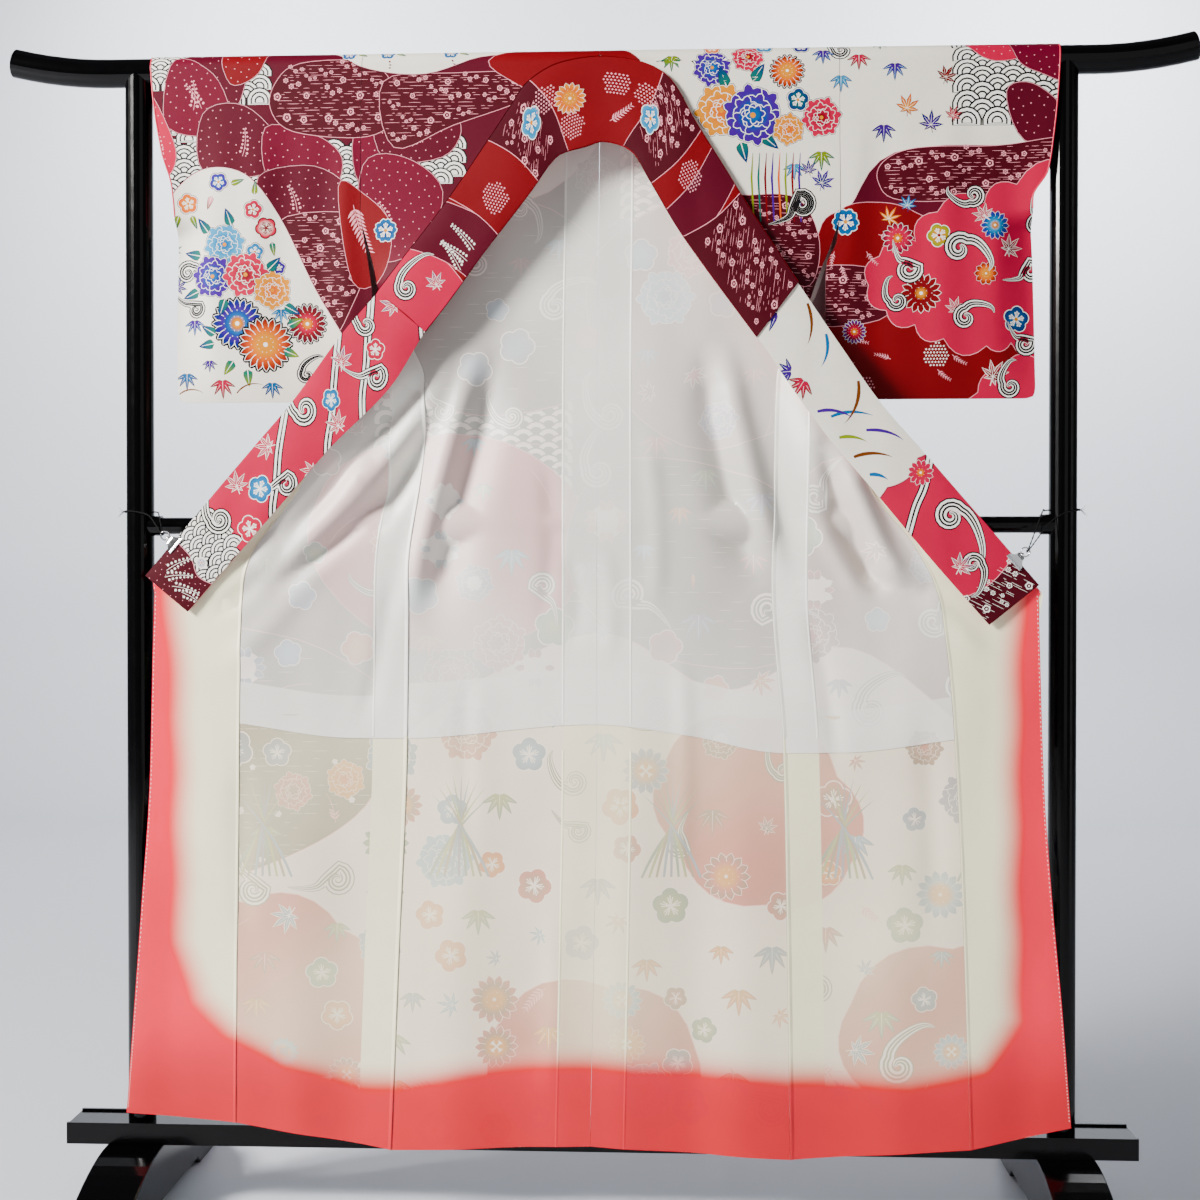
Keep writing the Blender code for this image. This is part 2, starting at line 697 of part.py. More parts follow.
def build_body():
    """Makes the six outer panels, their linings and the two sleeves, with shared normals at the seams."""
    store = {}
    backs = {side: back_grid(side) for side in ("left", "right")}
    fronts = {side: front_grid(side) for side in ("left", "right")}
    okumis = {side: okumi_grid(side) for side in ("left", "right")}
    sleeves = {side: sleeve_sheet(side) for side in ("left", "right")}
    for side in ("left", "right"):
        flip = side == "left"
        for grid, turned in ((backs[side], not flip), (fronts[side], flip), (okumis[side], flip)):
            add_normals(store, flat_list(grid), grid_faces(len(grid), len(grid[0]), turned))
        add_normals(store, *sleeves[side])
    half = SILK / 2
    gap = SEAM_HALF_GAP
    lining = (-(half + LAYER_GAP + SILK), -(half + LAYER_GAP))
    for side in ("left", "right"):
        flip = side == "left"
        back_rows = BAR_ROWS + YOKE_ROWS + BACK_ROWS + BODY_ROWS + HEM_ROWS
        panel_wall(
            f"back_{side}", backs[side], store, not flip, -half, half, "silk_print", (gap, gap, gap)
        )
        panel_wall(
            f"front_{side}", fronts[side], store, flip, -half, half, "silk_print", (gap, gap, gap)
        )
        panel_wall(
            f"okumi_{side}", okumis[side], store, flip, -half, half, "silk_print", (gap, 0.0)
        )
        upper = rows_between(backs[side], back_rows, LINING_TOP, LINING_SPLIT)
        lower = rows_between(backs[side], back_rows, LINING_SPLIT, HEM_DOWN)
        panel_wall(
            f"doura_back_{side}", upper, store, not flip, *lining, "white_silk", (gap, gap, 0, gap)
        )
        panel_wall(
            f"hakkake_back_{side}", lower, store, not flip, *lining, "lower_lining", (gap, gap, gap)
        )
        upper = rows_between(fronts[side], front_rows(), SIDE_SEAM_DOWN, LINING_SPLIT)
        lower = rows_between(fronts[side], front_rows(), LINING_SPLIT, HEM_DOWN)
        panel_wall(
            f"doura_front_{side}", upper, store, flip, *lining, "white_silk", (gap, gap, 0, gap)
        )
        panel_wall(
            f"hakkake_front_{side}", lower, store, flip, *lining, "lower_lining", (gap, gap, gap)
        )
        panel_wall(
            f"hakkake_okumi_{side}", okumis[side], store, flip, *lining, "lower_lining", (gap, 0.0)
        )
        points, faces = sleeves[side]
        normals = normals_at(store, points)
        outwards = -1.0 if side == "left" else 1.0
        inner_edge = {point_key(line[0]) for half_grid in sleeve_grids(side) for line in half_grid}
        moved = []
        for point in points:
            shift = SLEEVE_SEAM_GAP * outwards if point_key(point) in inner_edge else 0.0
            moved.append(point + np.array([shift, 0.0, 0.0]))
        cloth_wall(f"sleeve_{side}", moved, normals, faces, -half, half, "silk_print")


def collar_grid(first, last, widen):
    grid = []
    for outer_x, outer_z, inner_x, inner_z, y in COLLAR_STATIONS[first : last + 1]:
        outer = np.array([outer_x, y, outer_z])
        inner = np.array([inner_x, y - 0.0012, inner_z])
        across = (outer - inner) / np.linalg.norm(outer - inner)
        grid.append(blended_row(outer + across * widen, inner - across * widen, COLLAR_COLUMNS, False))
    return grid


def build_collar():
    """The collar band and the over-collar that lies on it."""
    grid = collar_grid(0, len(COLLAR_STATIONS) - 1, 0.0)
    store = {}
    add_normals(store, flat_list(grid), grid_faces(len(grid), len(grid[0]), True))
    half = COLLAR_THICKNESS / 2
    panel_wall("collar", grid, store, True, -half, half, "silk_print", (0.0, 0.0))
    part = grid[OVER_COLLAR_FIRST : OVER_COLLAR_LAST + 1]
    low = half + LAYER_GAP
    panel_wall("over_collar", part, store, True, low, low + SILK, "silk_print", (0.0, 0.0))


def ring_faces(rings, sides):
    faces = [tuple(range(sides))]
    for ring in range(rings - 1):
        for side in range(sides):
            a = ring * sides + side
            b = ring * sides + (side + 1) % sides
            faces.append((a, a + sides, b + sides, b))
    faces.append(tuple(reversed(range((rings - 1) * sides, rings * sides))))
    return faces


def swept_rod(name, path, radii, sides, material_name):
    """A round rod along a path in the plane of x and z."""
    points = []
    for index, centre in enumerate(path):
        before = path[max(index - 1, 0)]
        after = path[min(index + 1, len(path) - 1)]
        direction = np.array(after) - np.array(before)
        direction = direction / np.linalg.norm(direction)
        across = np.array([0.0, 1.0, 0.0])
        upwards = np.cross(direction, across)
        for side in range(sides):
            angle = 2 * math.pi * (side + 0.5) / sides
            offset = across * math.cos(angle) + upwards * math.sin(angle)
            points.append(np.array(centre) + offset * radii[index])
    return face_outwards(make_object(name, points, ring_faces(len(path), sides), material_name))


def subtract(obj, cutter):
    cutter.hide_render = True
    cutter.display_type = "WIRE"
    cut = obj.modifiers.new("Cut", "BOOLEAN")
    cut.operation = "DIFFERENCE"
    cut.solver = "EXACT"
    cut.object = cutter


def join(obj, other):
    other.hide_render = True
    other.display_type = "WIRE"
    union = obj.modifiers.new("Join", "BOOLEAN")
    union.operation = "UNION"
    union.solver = "EXACT"
    union.object = other


def bevelled(obj, width, segments=2):
    bevel = obj.modifiers.new("Bevel", "BEVEL")
    bevel.width = width
    bevel.segments = segments
    bevel.limit_method = "ANGLE"
    bevel.angle_limit = math.radians(35)


def build_top_bar():
    half = [(0.0, 0.0)]
    for step in range(7):
        t = step / 6
        half.append((BAR_STRAIGHT + (BAR_HALF - BAR_STRAIGHT) * t, BAR_RISE * t * t))
    path = [(-x, 0.0, BAR_Z + rise) for x, rise in reversed(half[1:])]
    path += [(x, 0.0, BAR_Z + rise) for x, rise in half[1:]]
    swept_rod("top_bar", path, [BAR_RADIUS] * len(path), 28, "lacquer")


def build_posts():
    for side, x in (("left", -POST_X), ("right", POST_X)):
        path = [(x, 0.0, BEAM_TOP + SEAT_GAP), (x, 0.0, BAR_Z)]
        post = swept_rod(f"post_{side}", path, [POST_RADIUS] * 2, 28, "lacquer")
        reach = 0.06
        saddle_radius = BAR_RADIUS + SEAT_GAP
        saddle_path = [(x - reach, 0.0, BAR_Z), (x + reach, 0.0, BAR_Z)]
        subtract(post, swept_rod(f"saddle_{side}", saddle_path, [saddle_radius] * 2, 28, "lacquer"))


def build_mid_bar():
    end = POST_X - SEAT_GAP
    shoulder = POST_X - POST_RADIUS - SOCKET_LENGTH
    stations = [
        (-end, SOCKET_RADIUS),
        (-shoulder, SOCKET_RADIUS),
        (-shoulder + 0.0005, MID_BAR_RADIUS),
        (shoulder - 0.0005, MID_BAR_RADIUS),
        (shoulder, SOCKET_RADIUS),
        (end, SOCKET_RADIUS),
    ]
    path = [(x, 0.0, MID_BAR_Z) for x, radius in stations]
    bar = swept_rod("mid_bar", path, [radius for x, radius in stations], 20, "lacquer")
    clearance = POST_RADIUS + SEAT_GAP
    for side, x in (("left", -POST_X), ("right", POST_X)):
        path = [(x, 0.0, MID_BAR_Z - 0.05), (x, 0.0, MID_BAR_Z + 0.05)]
        subtract(bar, swept_rod(f"socket_cut_{side}", path, [clearance] * 2, 28, "lacquer"))


def extruded(name, profile, low, high, place, material_name):
    """A prism from an outline. place turns (u, v, depth) into a point."""
    count = len(profile)
    points = [place(u, v, low) for u, v in profile]
    points += [place(u, v, high) for u, v in profile]
    faces = [tuple(range(count)), tuple(reversed(range(count, 2 * count)))]
    for index in range(count):
        following = (index + 1) % count
        faces.append((following, index, index + count, following + count))
    return face_outwards(make_object(name, points, faces, material_name, smooth=False))


def build_base_beam():
    """A flat beam whose top has a low lip along each long edge."""
    y = BEAM_DEPTH / 2
    low = BEAM_TOP - BEAM_HEIGHT
    lip = 0.004
    profile = [
        (-y, low),
        (y, low),
        (y, BEAM_TOP + BEAM_LIP),
        (y - lip, BEAM_TOP + BEAM_LIP),
        (y - lip, BEAM_TOP),
        (-y + lip, BEAM_TOP),
        (-y + lip, BEAM_TOP + BEAM_LIP),
        (-y, BEAM_TOP + BEAM_LIP),
    ]
    extruded("base_beam", profile, -BEAM_HALF, BEAM_HALF, lambda u, v, d: (d, u, v), "lacquer")


def foot_profile():
    top = BEAM_TOP - BEAM_HEIGHT - SEAT_GAP
    upper = []
    steps = 10
    for step in range(steps + 1):
        t = step / steps
        y = FOOT_FLAT + (FOOT_REACH - FOOT_FLAT) * t
        upper.append((y, FOOT_TIP + (top - FOOT_TIP) * (1 - t**1.8)))
    right = [(FOOT_ARCH - 0.012, FOOT_ARCH_HEIGHT), (FOOT_ARCH, 0.0), (FOOT_REACH, 0.0)]
    outline = right + upper[::-1]
    return outline + [(-y, z) for y, z in reversed(outline)]


def build_feet():
    for side, x in (("left", -POST_X), ("right", POST_X)):
        low = x - FOOT_WIDTH / 2
        high = x + FOOT_WIDTH / 2
        foot = extruded(f"foot_{side}", foot_profile(), low, high, lambda u, v, d: (d, u, v), "lacquer")
        bevelled(foot, 0.002, 2)


def clip_frame(side):
    """The clip's centre, the band edge's direction and the way outwards from the band."""
    (x, z), low_end, high_end, y = CLIPS[side]
    edge = np.array([high_end[0] - low_end[0], 0.0, high_end[1] - low_end[1]])
    edge = edge / np.linalg.norm(edge)
    outwards = np.array([-edge[2], 0.0, edge[0]])
    if outwards[2] < 0:
        outwards = -outwards
    return np.array([x, y, z]), edge, outwards


def ring_centre(side):
    centre, edge, outwards = clip_frame(side)
    return centre + outwards * (CLIP_BACK + RING_RADIUS + 0.0006) + np.array([0.0, 0.0023, 0.0])


def build_clips():
    """A jaw with two lips over the band's edge, closed behind it, with a ring."""
    for side in ("left", "right"):
        centre, edge, outwards = clip_frame(side)
        front = -CLIP_FRONT_Y
        back = CLIP_BACK_Y
        metal = CLIP_METAL
        profile = [
            (-CLIP_GRIP, front - metal),
            (CLIP_BACK * 0.5, front - metal),
            (CLIP_BACK, 0.0005),
            (CLIP_BACK, 0.0041),
            (CLIP_BACK * 0.5, back + metal),
            (-CLIP_GRIP, back + metal),
            (-CLIP_GRIP, back),
            (CLIP_BACK * 0.3, back),
            (CLIP_BACK * 0.3, front),
            (-CLIP_GRIP, front),
        ]

        def place(u, v, d, centre=centre, edge=edge, outwards=outwards):
            return tuple(centre + outwards * u + np.array([0.0, v, 0.0]) + edge * d)

        half = CLIP_LENGTH / 2
        clip = extruded(f"clip_{side}", profile, -half, half, place, "clip_steel")
        middle = ring_centre(side)
        points = []
        around = 20
        sides = 8
        for step in range(around):
            angle = 2 * math.pi * step / around
            spoke = outwards * math.cos(angle) + edge * math.sin(angle)
            for corner in range(sides):
                turn = 2 * math.pi * corner / sides
                offset = spoke * math.cos(turn) + np.array([0.0, math.sin(turn), 0.0])
                points.append(middle + spoke * RING_RADIUS + offset * RING_WIRE)
        faces = []
        for step in range(around):
            for corner in range(sides):
                a = step * sides + corner
                b = step * sides + (corner + 1) % sides
                c = ((step + 1) % around) * sides + (corner + 1) % sides
                d = ((step + 1) % around) * sides + corner
                faces.append((a, b, c, d))
        ring = face_outwards(make_object(f"ring_{side}", points, faces, "clip_steel"))
        join(clip, ring)


def build_ties():
    for side, sign in (("left", -1.0), ("right", 1.0)):
        post = np.array([sign * POST_X, 0.0, 0.0])
        inwards = np.array([-sign, 0.0, 0.0])
        centre, edge, outwards = clip_frame(side)
        ring = ring_centre(side)
        through = ring + outwards * (RING_RADIUS - RING_WIRE - CORD_RADIUS - 0.0005)
        front = [post + inwards * share + np.array([0.0, y, z]) for share, y, z in TIE_ROUTES[side]]
        back = [post + inwards * share + np.array([0.0, y, z]) for share, y, z in TIE_RETURN]
        near = [
            ring + outwards * (RING_RADIUS + 0.0010) + np.array([0.0, -0.0042, 0.0]),
            through + np.array([0.0, -0.0012, 0.0]) - outwards * 0.0004,
            through + np.array([0.0, 0.0012, 0.0]) - outwards * 0.0004,
            ring + outwards * (RING_RADIUS + 0.0010) + np.array([0.0, 0.0042, 0.0]),
        ]
        route = front + near + back
        path = closed_curve(route, 3)
        closed_cord(f"tie_{side}", path, CORD_RADIUS, 6, "cord")


def closed_curve(route, steps):
    """Points of a smooth closed curve through the route's own points."""
    count = len(route)
    path = []
    for index in range(count):
        p0, p1, p2, p3 = (route[(index + shift) % count] for shift in (-1, 0, 1, 2))
        for step in range(steps):
            t = step / steps
            path.append(
                0.5
                * (
                    2 * p1
                    + (p2 - p0) * t
                    + (2 * p0 - 5 * p1 + 4 * p2 - p3) * t * t
                    + (3 * p1 - p0 - 3 * p2 + p3) * t**3
                )
            )
    return path


def closed_cord(name, path, radius, sides, material_name):
    """A round cord along a closed path, its rings carried along without a twist."""
    count = len(path)
    directions = []
    for index in range(count):
        step = path[(index + 1) % count] - path[index - 1]
        directions.append(step / np.linalg.norm(step))
    normal = np.cross(directions[0], np.array([0.0, 0.0, 1.0]))
    points = []
    frames = []
    for direction in directions:
        normal = normal - direction * np.dot(normal, direction)
        normal = normal / np.linalg.norm(normal)
        frames.append((normal, np.cross(direction, normal)))
    closing = frames[-1][0] - directions[0] * np.dot(frames[-1][0], directions[0])
    drift = math.atan2(np.dot(closing, frames[0][1]), np.dot(closing, frames[0][0]))
    for index, (first, second) in enumerate(frames):
        turned = -drift * index / (count - 1)
        for side in range(sides):
            angle = 2 * math.pi * side / sides + turned
            points.append(path[index] + (first * math.cos(angle) + second * math.sin(angle)) * radius)
    faces = []
    for index in range(count):
        for side in range(sides):
            a = index * sides + side
            b = index * sides + (side + 1) % sides
            c = ((index + 1) % count) * sides + (side + 1) % sides
            d = ((index + 1) % count) * sides + side
            faces.append((a, b, c, d))
    return face_outwards(make_object(name, points, faces, material_name))


def main():
    clear_scene()
    build_top_bar()
    build_posts()
    build_mid_bar()
    build_base_beam()
    build_feet()
    build_body()
    build_collar()
    build_clips()
    build_ties()


main()
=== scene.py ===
"""Looks of the homongi kimono on its stand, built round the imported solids.

Metres, +Z up, the viewer looks along +Y. Each cloth panel is a thin sheet whose
place comes from the same seams as its solid. The dyed pattern is painted flat,
as outlined shapes one over another, cut into the panel's faces and then laid on
the hung form.
"""

import math

import bmesh
import bpy
import numpy as np
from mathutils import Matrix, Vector
from mathutils.geometry import delaunay_2d_cdt


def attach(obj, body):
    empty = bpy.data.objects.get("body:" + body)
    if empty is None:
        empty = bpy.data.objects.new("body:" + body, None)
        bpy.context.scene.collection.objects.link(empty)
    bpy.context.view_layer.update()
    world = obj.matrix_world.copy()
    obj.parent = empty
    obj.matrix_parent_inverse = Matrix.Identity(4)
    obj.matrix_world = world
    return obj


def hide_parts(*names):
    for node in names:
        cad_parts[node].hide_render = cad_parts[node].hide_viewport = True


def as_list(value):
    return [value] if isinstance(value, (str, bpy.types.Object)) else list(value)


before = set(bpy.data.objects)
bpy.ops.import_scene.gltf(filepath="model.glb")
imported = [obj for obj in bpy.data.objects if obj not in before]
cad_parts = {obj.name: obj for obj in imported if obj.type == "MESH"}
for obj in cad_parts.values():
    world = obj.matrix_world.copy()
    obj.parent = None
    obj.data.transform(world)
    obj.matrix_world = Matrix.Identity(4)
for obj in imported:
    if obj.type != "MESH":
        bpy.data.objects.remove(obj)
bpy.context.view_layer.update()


def metres(table):
    """A table, or one for each side, from whole tenths of a millimetre."""
    if isinstance(table, dict):
        return {side: metres(rows) for side, rows in table.items()}
    return [tuple(value / 10000 for value in row) for row in table]


def mm(*values):
    """Flat points from pairs of whole millimetres."""
    return [(x / 1000, y / 1000) for x, y in zip(values[::2], values[1::2])]


def draw(art, motif, rows, **words):
    """A motif for each row, which gives its place and size in millimetres and then its own words."""
    for x, y, size, *rest in rows:
        motif(art, (x / 1000, y / 1000), size / 1000, *rest, **words)


def towards(angle):
    """The flat direction at an angle."""
    return np.array([math.cos(angle), math.sin(angle)])


def unit_rows(rows, least):
    """Each row at length 1, or shorter where it is shorter than the least length."""
    return rows / np.maximum(np.linalg.norm(rows, axis=1), least)[:, None]


def linked(name, data):
    """A new object in the scene."""
    made = bpy.data.objects.new(name, data)
    bpy.context.scene.collection.objects.link(made)
    return made


# Measures shared with the solids
BAR_Z = 1.63
BAR_RADIUS = 0.02
SILK = 0.001
COLLAR_THICKNESS = 0.002
LAYER_GAP = 0.0004
WRAP_RADIUS = BAR_RADIUS + 0.0009 + SILK / 2
WRAP = WRAP_RADIUS * math.pi / 2
HEM_DOWN = 1.57
SIDE_SEAM_DOWN = 0.43
LINING_SPLIT = 0.975
LINING_TOP = 0.062
SLEEVE_BOTTOM_DOWN = 0.5086
CUFF_DOWN = 0.245
SLEEVE_CORNER = 0.014
OKUMI_TOP = 0.39
SEAM_COVER = 0.0035
BEHIND_COLLAR = COLLAR_THICKNESS / 2 + 2 * LAYER_GAP + 1.5 * SILK + 0.0004
LINING_OUT = -(SILK / 2 + LAYER_GAP + SILK)
LINING_IN = -(SILK / 2 + LAYER_GAP)

# Seams of the body: (down, x, y, z). On the bar y and z follow its round.
CENTRE_BACK = metres([
    (0, 55, 0, 16514), (340, 55, 214, 16300), (880, 52, 200, 15757), (2380, 43, 120, 14253),
    (4790, 23, -50, 11843), (7570, 30, -210, 9067), (10040, 34, -280, 6596), (12860, -6, -330, 3774),
    (15700, -60, -372, 1010),
])
SIDE_BACK = metres({
    "left": [
        (0, -3295, 0, 16514), (340, -3310, 214, 16300), (2450, -3380, 130, 14190),
        (3550, -3050, 50, 13080), (4300, -2632, -20, 12340), (4800, -2426, -50, 11840),
        (5600, -2416, -120, 11040), (7570, -2633, -210, 9068), (10050, -2654, -280, 6582),
        (12890, -2764, -330, 3745), (15700, -2870, -385, 918),
    ],
    "right": [
        (0, 3430, 0, 16514), (340, 3430, 214, 16300), (2450, 3417, 120, 14190), (3550, 3150, 50, 13080),
        (4300, 2720, -20, 12336), (4810, 2574, -50, 11828), (6020, 2529, -120, 10621),
        (7700, 2490, -210, 8940), (10030, 2650, -280, 6608), (12840, 2706, -330, 3803),
        (15700, 2747, -385, 870),
    ],
})
# The front's outer edge turns from the sleeve seam to the side seam.
SIDE_FRONT = metres({
    "left": [
        (0, -3295, 0, 16514), (340, -3310, -214, 16300), (1200, -3330, -205, 15436),
        (2450, -3340, -190, 14190), (2810, -3250, -180, 13826), (3180, -3155, -165, 13456),
        (3500, -3090, -130, 13136), (3900, -2880, -60, 12736),
    ],
    "right": [
        (0, 3430, 0, 16514), (340, 3430, -214, 16300), (1200, 3435, -205, 15436),
        (2450, 3445, -190, 14190), (2900, 3330, -180, 13736), (3220, 3200, -165, 13416),
        (3600, 3060, -120, 13036), (3950, 2945, -65, 12686),
    ],
})
# The front's inner edge: the neck, then the collar's seam, then the okumi's seam.
FRONT_NECK = metres({
    "left": [
        (0, 55, 0, 16514), (270, 72, -203, 16366), (340, -280, -214, 16300),
    ],
    "right": [
        (0, 55, 0, 16514), (270, 70, -203, 16366), (340, 350, -214, 16300),
    ],
})
OKUMI_SEAM = metres({
    "left": [
        (3900, -3150, -312, 12736), (4300, -3290, -316, 12336), (4950, -3570, -322, 11688),
        (6340, -4180, -340, 10301), (7360, -4895, -360, 9281), (7810, -4994, -370, 8826),
        (10060, -5043, -370, 6580), (12900, -5076, -380, 3732), (15700, -5092, -395, 1281),
    ],
    "right": [
        (3900, 3000, -316, 12736), (4300, 3125, -322, 12336), (5130, 3364, -328, 11510),
        (6400, 3849, -340, 10238), (7130, 4443, -360, 9511), (7920, 4802, -370, 8718),
        (9590, 5000, -370, 7047), (12100, 5128, -380, 4539), (15700, 5244, -395, 1052),
    ],
})
# The okumi's free edge below the collar band's end. Above it the collar covers the edge.
OKUMI_FREE = metres({
    "left": [
        (7780, -6250, -412, 8855), (8640, -6282, -400, 8001), (10490, -6332, -400, 6150),
        (12200, -6453, -400, 4436), (14060, -6590, -400, 2576), (15700, -6681, -400, 1400),
    ],
    "right": [
        (7840, 6160, -414, 8802), (10440, 6248, -400, 6194), (11900, 6348, -400, 4735),
        (13760, 6519, -400, 2872), (15700, 6634, -400, 1382),
    ],
})

# Sleeves: (down, x). The cuff's edge, then the sewn edge below it.
CUFF_EDGE = metres({
    "left": [
        (0, -6370), (640, -6338), (1500, -6211), (2030, -6064), (2790, -6016), (4300, -6046),
        (5086, -6028),
    ],
    "right": [
        (0, 6500), (640, 6477), (1580, 6387), (1940, 6324), (2310, 6121), (3270, 6156), (5086, 6205),
    ],
})
# The sleeve's free edge under the armhole: (down, front x, back x).
SLEEVE_INNER = metres({
    "left": [
        (2450, -3340, -3380), (2810, -3284, -3200), (3180, -3222, -3020), (3610, -3175, -2860),
        (5086, -3165, -2960),
    ],
    "right": [
        (2450, 3445, 3417), (2900, 3390, 3260), (3220, 3250, 3100), (3610, 3239, 2960), (5086, 3295, 3080),
    ],
})

# The collar's stations: (outer x, outer z, inner x, inner z, y).
COLLAR_STATIONS = metres([
    (-6367, 9059, -5758, 8548, -460), (-5842, 9679, -5252, 9126, -445), (-5317, 10299, -4746, 9704, -430),
    (-4790, 10913, -4241, 10283, -415), (-4264, 11527, -3737, 10861, -400),
    (-3526, 12529, -2859, 11749, -370), (-3060, 13064, -2392, 12495, -350),
    (-2691, 13542, -2039, 12945, -340), (-2196, 14175, -1616, 13536, -320),
    (-1489, 15198, -853, 14530, -296), (-1193, 15646, -642, 14839, -278), (-967, 15983, -488, 14994, -262),
    (-448, 16283, -137, 15099, -252), (59, 16352, 110, 15171, -248), (651, 16267, 356, 15121, -252),
    (1031, 16052, 540, 15009, -262), (1395, 15440, 779, 14609, -284), (1787, 14805, 1172, 13931, -304),
    (2178, 14170, 1564, 13366, -320), (2845, 13140, 2276, 12392, -350), (3427, 12269, 2734, 11717, -370),
    (3979, 11471, 3247, 11002, -390), (4529, 10829, 3882, 10248, -410), (5351, 9868, 4666, 9301, -438),
    (6157, 8927, 5474, 8373, -460),
])

# Creases of the hung cloth: three points (x, z) of a bent line, its half
# width and its depth, which is positive for a trough away from the viewer.
CREASES = metres([
    (-2400, 11910, -2740, 11400, -3380, 10330, 140, 70), (-3370, 10420, -3920, 9850, -4760, 9280, 200, 60),
    (-3000, 10900, -3560, 9850, -4760, 9050, 180, -50), (-2470, 10890, -2850, 10130, -3230, 9710, 160, 50),
    (-1320, 11830, -1820, 10390, -2270, 8410, 240, 60),
    (-1630, 11830, -2130, 10390, -2520, 8410, 200, -35), (1750, 11810, 2000, 10690, 2430, 9360, 200, -50),
    (1480, 11810, 1690, 10550, 2120, 9000, 220, 50), (2850, 11470, 3420, 10110, 4100, 8940, 160, -50),
    (3260, 10150, 3580, 9450, 3920, 8900, 140, 80),
])
# Waves that run down to the hem: (x, half width, depth, top z).
HEM_WAVES = metres([
    (-5850, 450, 20, 7000), (-4250, 500, -35, 7200), (-3450, 450, 35, 8000), (-2000, 500, -40, 8500),
    (-1050, 450, 40, 9000), (450, 400, -30, 8000), (1350, 500, 40, 8800), (2150, 400, -40, 7500),
    (3350, 500, 35, 8000), (4250, 450, -30, 7000), (6000, 400, 20, 7000),
])

OVER_COLLAR_FIRST = 6
OVER_COLLAR_LAST = 19


# Fine creases, in the same form
FINE_CREASES = metres([
    (-2050, 12300, -2850, 10600, -4700, 9250, 220, -60), (-2500, 11000, -3100, 9850, -4500, 8950, 130, 70),
    (-2680, 11700, -3300, 10750, -4250, 9750, 110, 60), (-2360, 11300, -2620, 10500, -3100, 9750, 80, 40),
    (-1400, 12200, -1900, 10600, -2400, 8600, 150, 55),
    (-1720, 12200, -2220, 10600, -2680, 8600, 140, -50), (1520, 12200, 1760, 10800, 2250, 9050, 150, 55),
    (1860, 12200, 2150, 10800, 2620, 9150, 140, -50), (3180, 10800, 3580, 9750, 3980, 8950, 90, 110),
    (3450, 10750, 3880, 9700, 4320, 8850, 130, -70), (3800, 9050, 4300, 8850, 4800, 8800, 100, 40),
    (3150, 9900, 3350, 9300, 3800, 8800, 100, -30), (-4550, 9850, -4850, 9600, -5050, 9250, 100, 40),
    (-400, 9350, -120, 8850, -300, 8100, 70, 16), (120, 9400, 300, 8700, 180, 7900, 60, -14),
    (-700, 10600, -500, 9600, -750, 8500, 100, 18), (750, 11000, 950, 9800, 850, 8600, 120, -18),
    (-3350, 11500, -3800, 10800, -4550, 10100, 90, -22), (-4200, 9600, -4700, 9000, -5400, 8500, 120, 26),
    (-3800, 9300, -4400, 8500, -5200, 7800, 160, -22), (-2900, 9000, -3000, 8000, -3300, 7000, 120, 18),
    (-1800, 7600, -1900, 6400, -1750, 5200, 130, 15), (1200, 8000, 1350, 6600, 1200, 5000, 120, -15),
    (3600, 10600, 4200, 9800, 4700, 9000, 100, 22), (4100, 9400, 4700, 8600, 5400, 8000, 130, -24),
    (3000, 8600, 3300, 7600, 3400, 6400, 120, 18), (4600, 7000, 4800, 5600, 4700, 4200, 160, 18),
    (-5000, 6500, -5100, 5200, -4950, 3800, 160, 16), (-600, 4200, -500, 3000, -650, 1800, 140, -14),
])


def along(table, at):
    """A table's columns at first-column values, on a smooth curve that doesn't overshoot."""
    rows = np.array(table, float)
    at = np.clip(np.asarray(at, float), rows[0, 0], rows[-1, 0])
    last = np.clip(np.searchsorted(rows[:, 0], at, side="right"), 1, len(rows) - 1)
    steps = np.diff(rows[:, 0])
    slopes = np.diff(rows[:, 1:], axis=0) / steps[:, None]
    tangents = np.zeros_like(rows[:, 1:])
    tangents[0] = slopes[0]
    tangents[-1] = slopes[-1]
    product = slopes[:-1] * slopes[1:]
    total = slopes[:-1] + slopes[1:]
    total = np.where(np.abs(total) < 1e-12, 1.0, total)
    tangents[1:-1] = np.where(product > 0, 2.0 * product / total, 0.0)
    first = last - 1
    width = steps[first][:, None]
    t = ((at - rows[first, 0]) / steps[first])[:, None]
    low = rows[first, 1:] * (1 + 2 * t) * (1 - t) ** 2 + tangents[first] * width * t * (1 - t) ** 2
    high = rows[last, 1:] * t * t * (3 - 2 * t) + tangents[last] * width * t * t * (t - 1)
    return low + high


def smooth_step(low, high, value):
    t = np.clip((value - low) / (high - low), 0.0, 1.0)
    return t * t * (3.0 - 2.0 * t)


def seam(table, down, side_of_bar):
    """Points of a seam. side_of_bar is 1 behind the bar and -1 in front of it."""
    points = along(table, down)
    angle = down / WRAP_RADIUS
    on_bar = down < WRAP
    points[:, 1] = np.where(on_bar, side_of_bar * WRAP_RADIUS * np.sin(angle), points[:, 1])
    points[:, 2] = np.where(on_bar, BAR_Z + WRAP_RADIUS * np.cos(angle), points[:, 2])
    return points


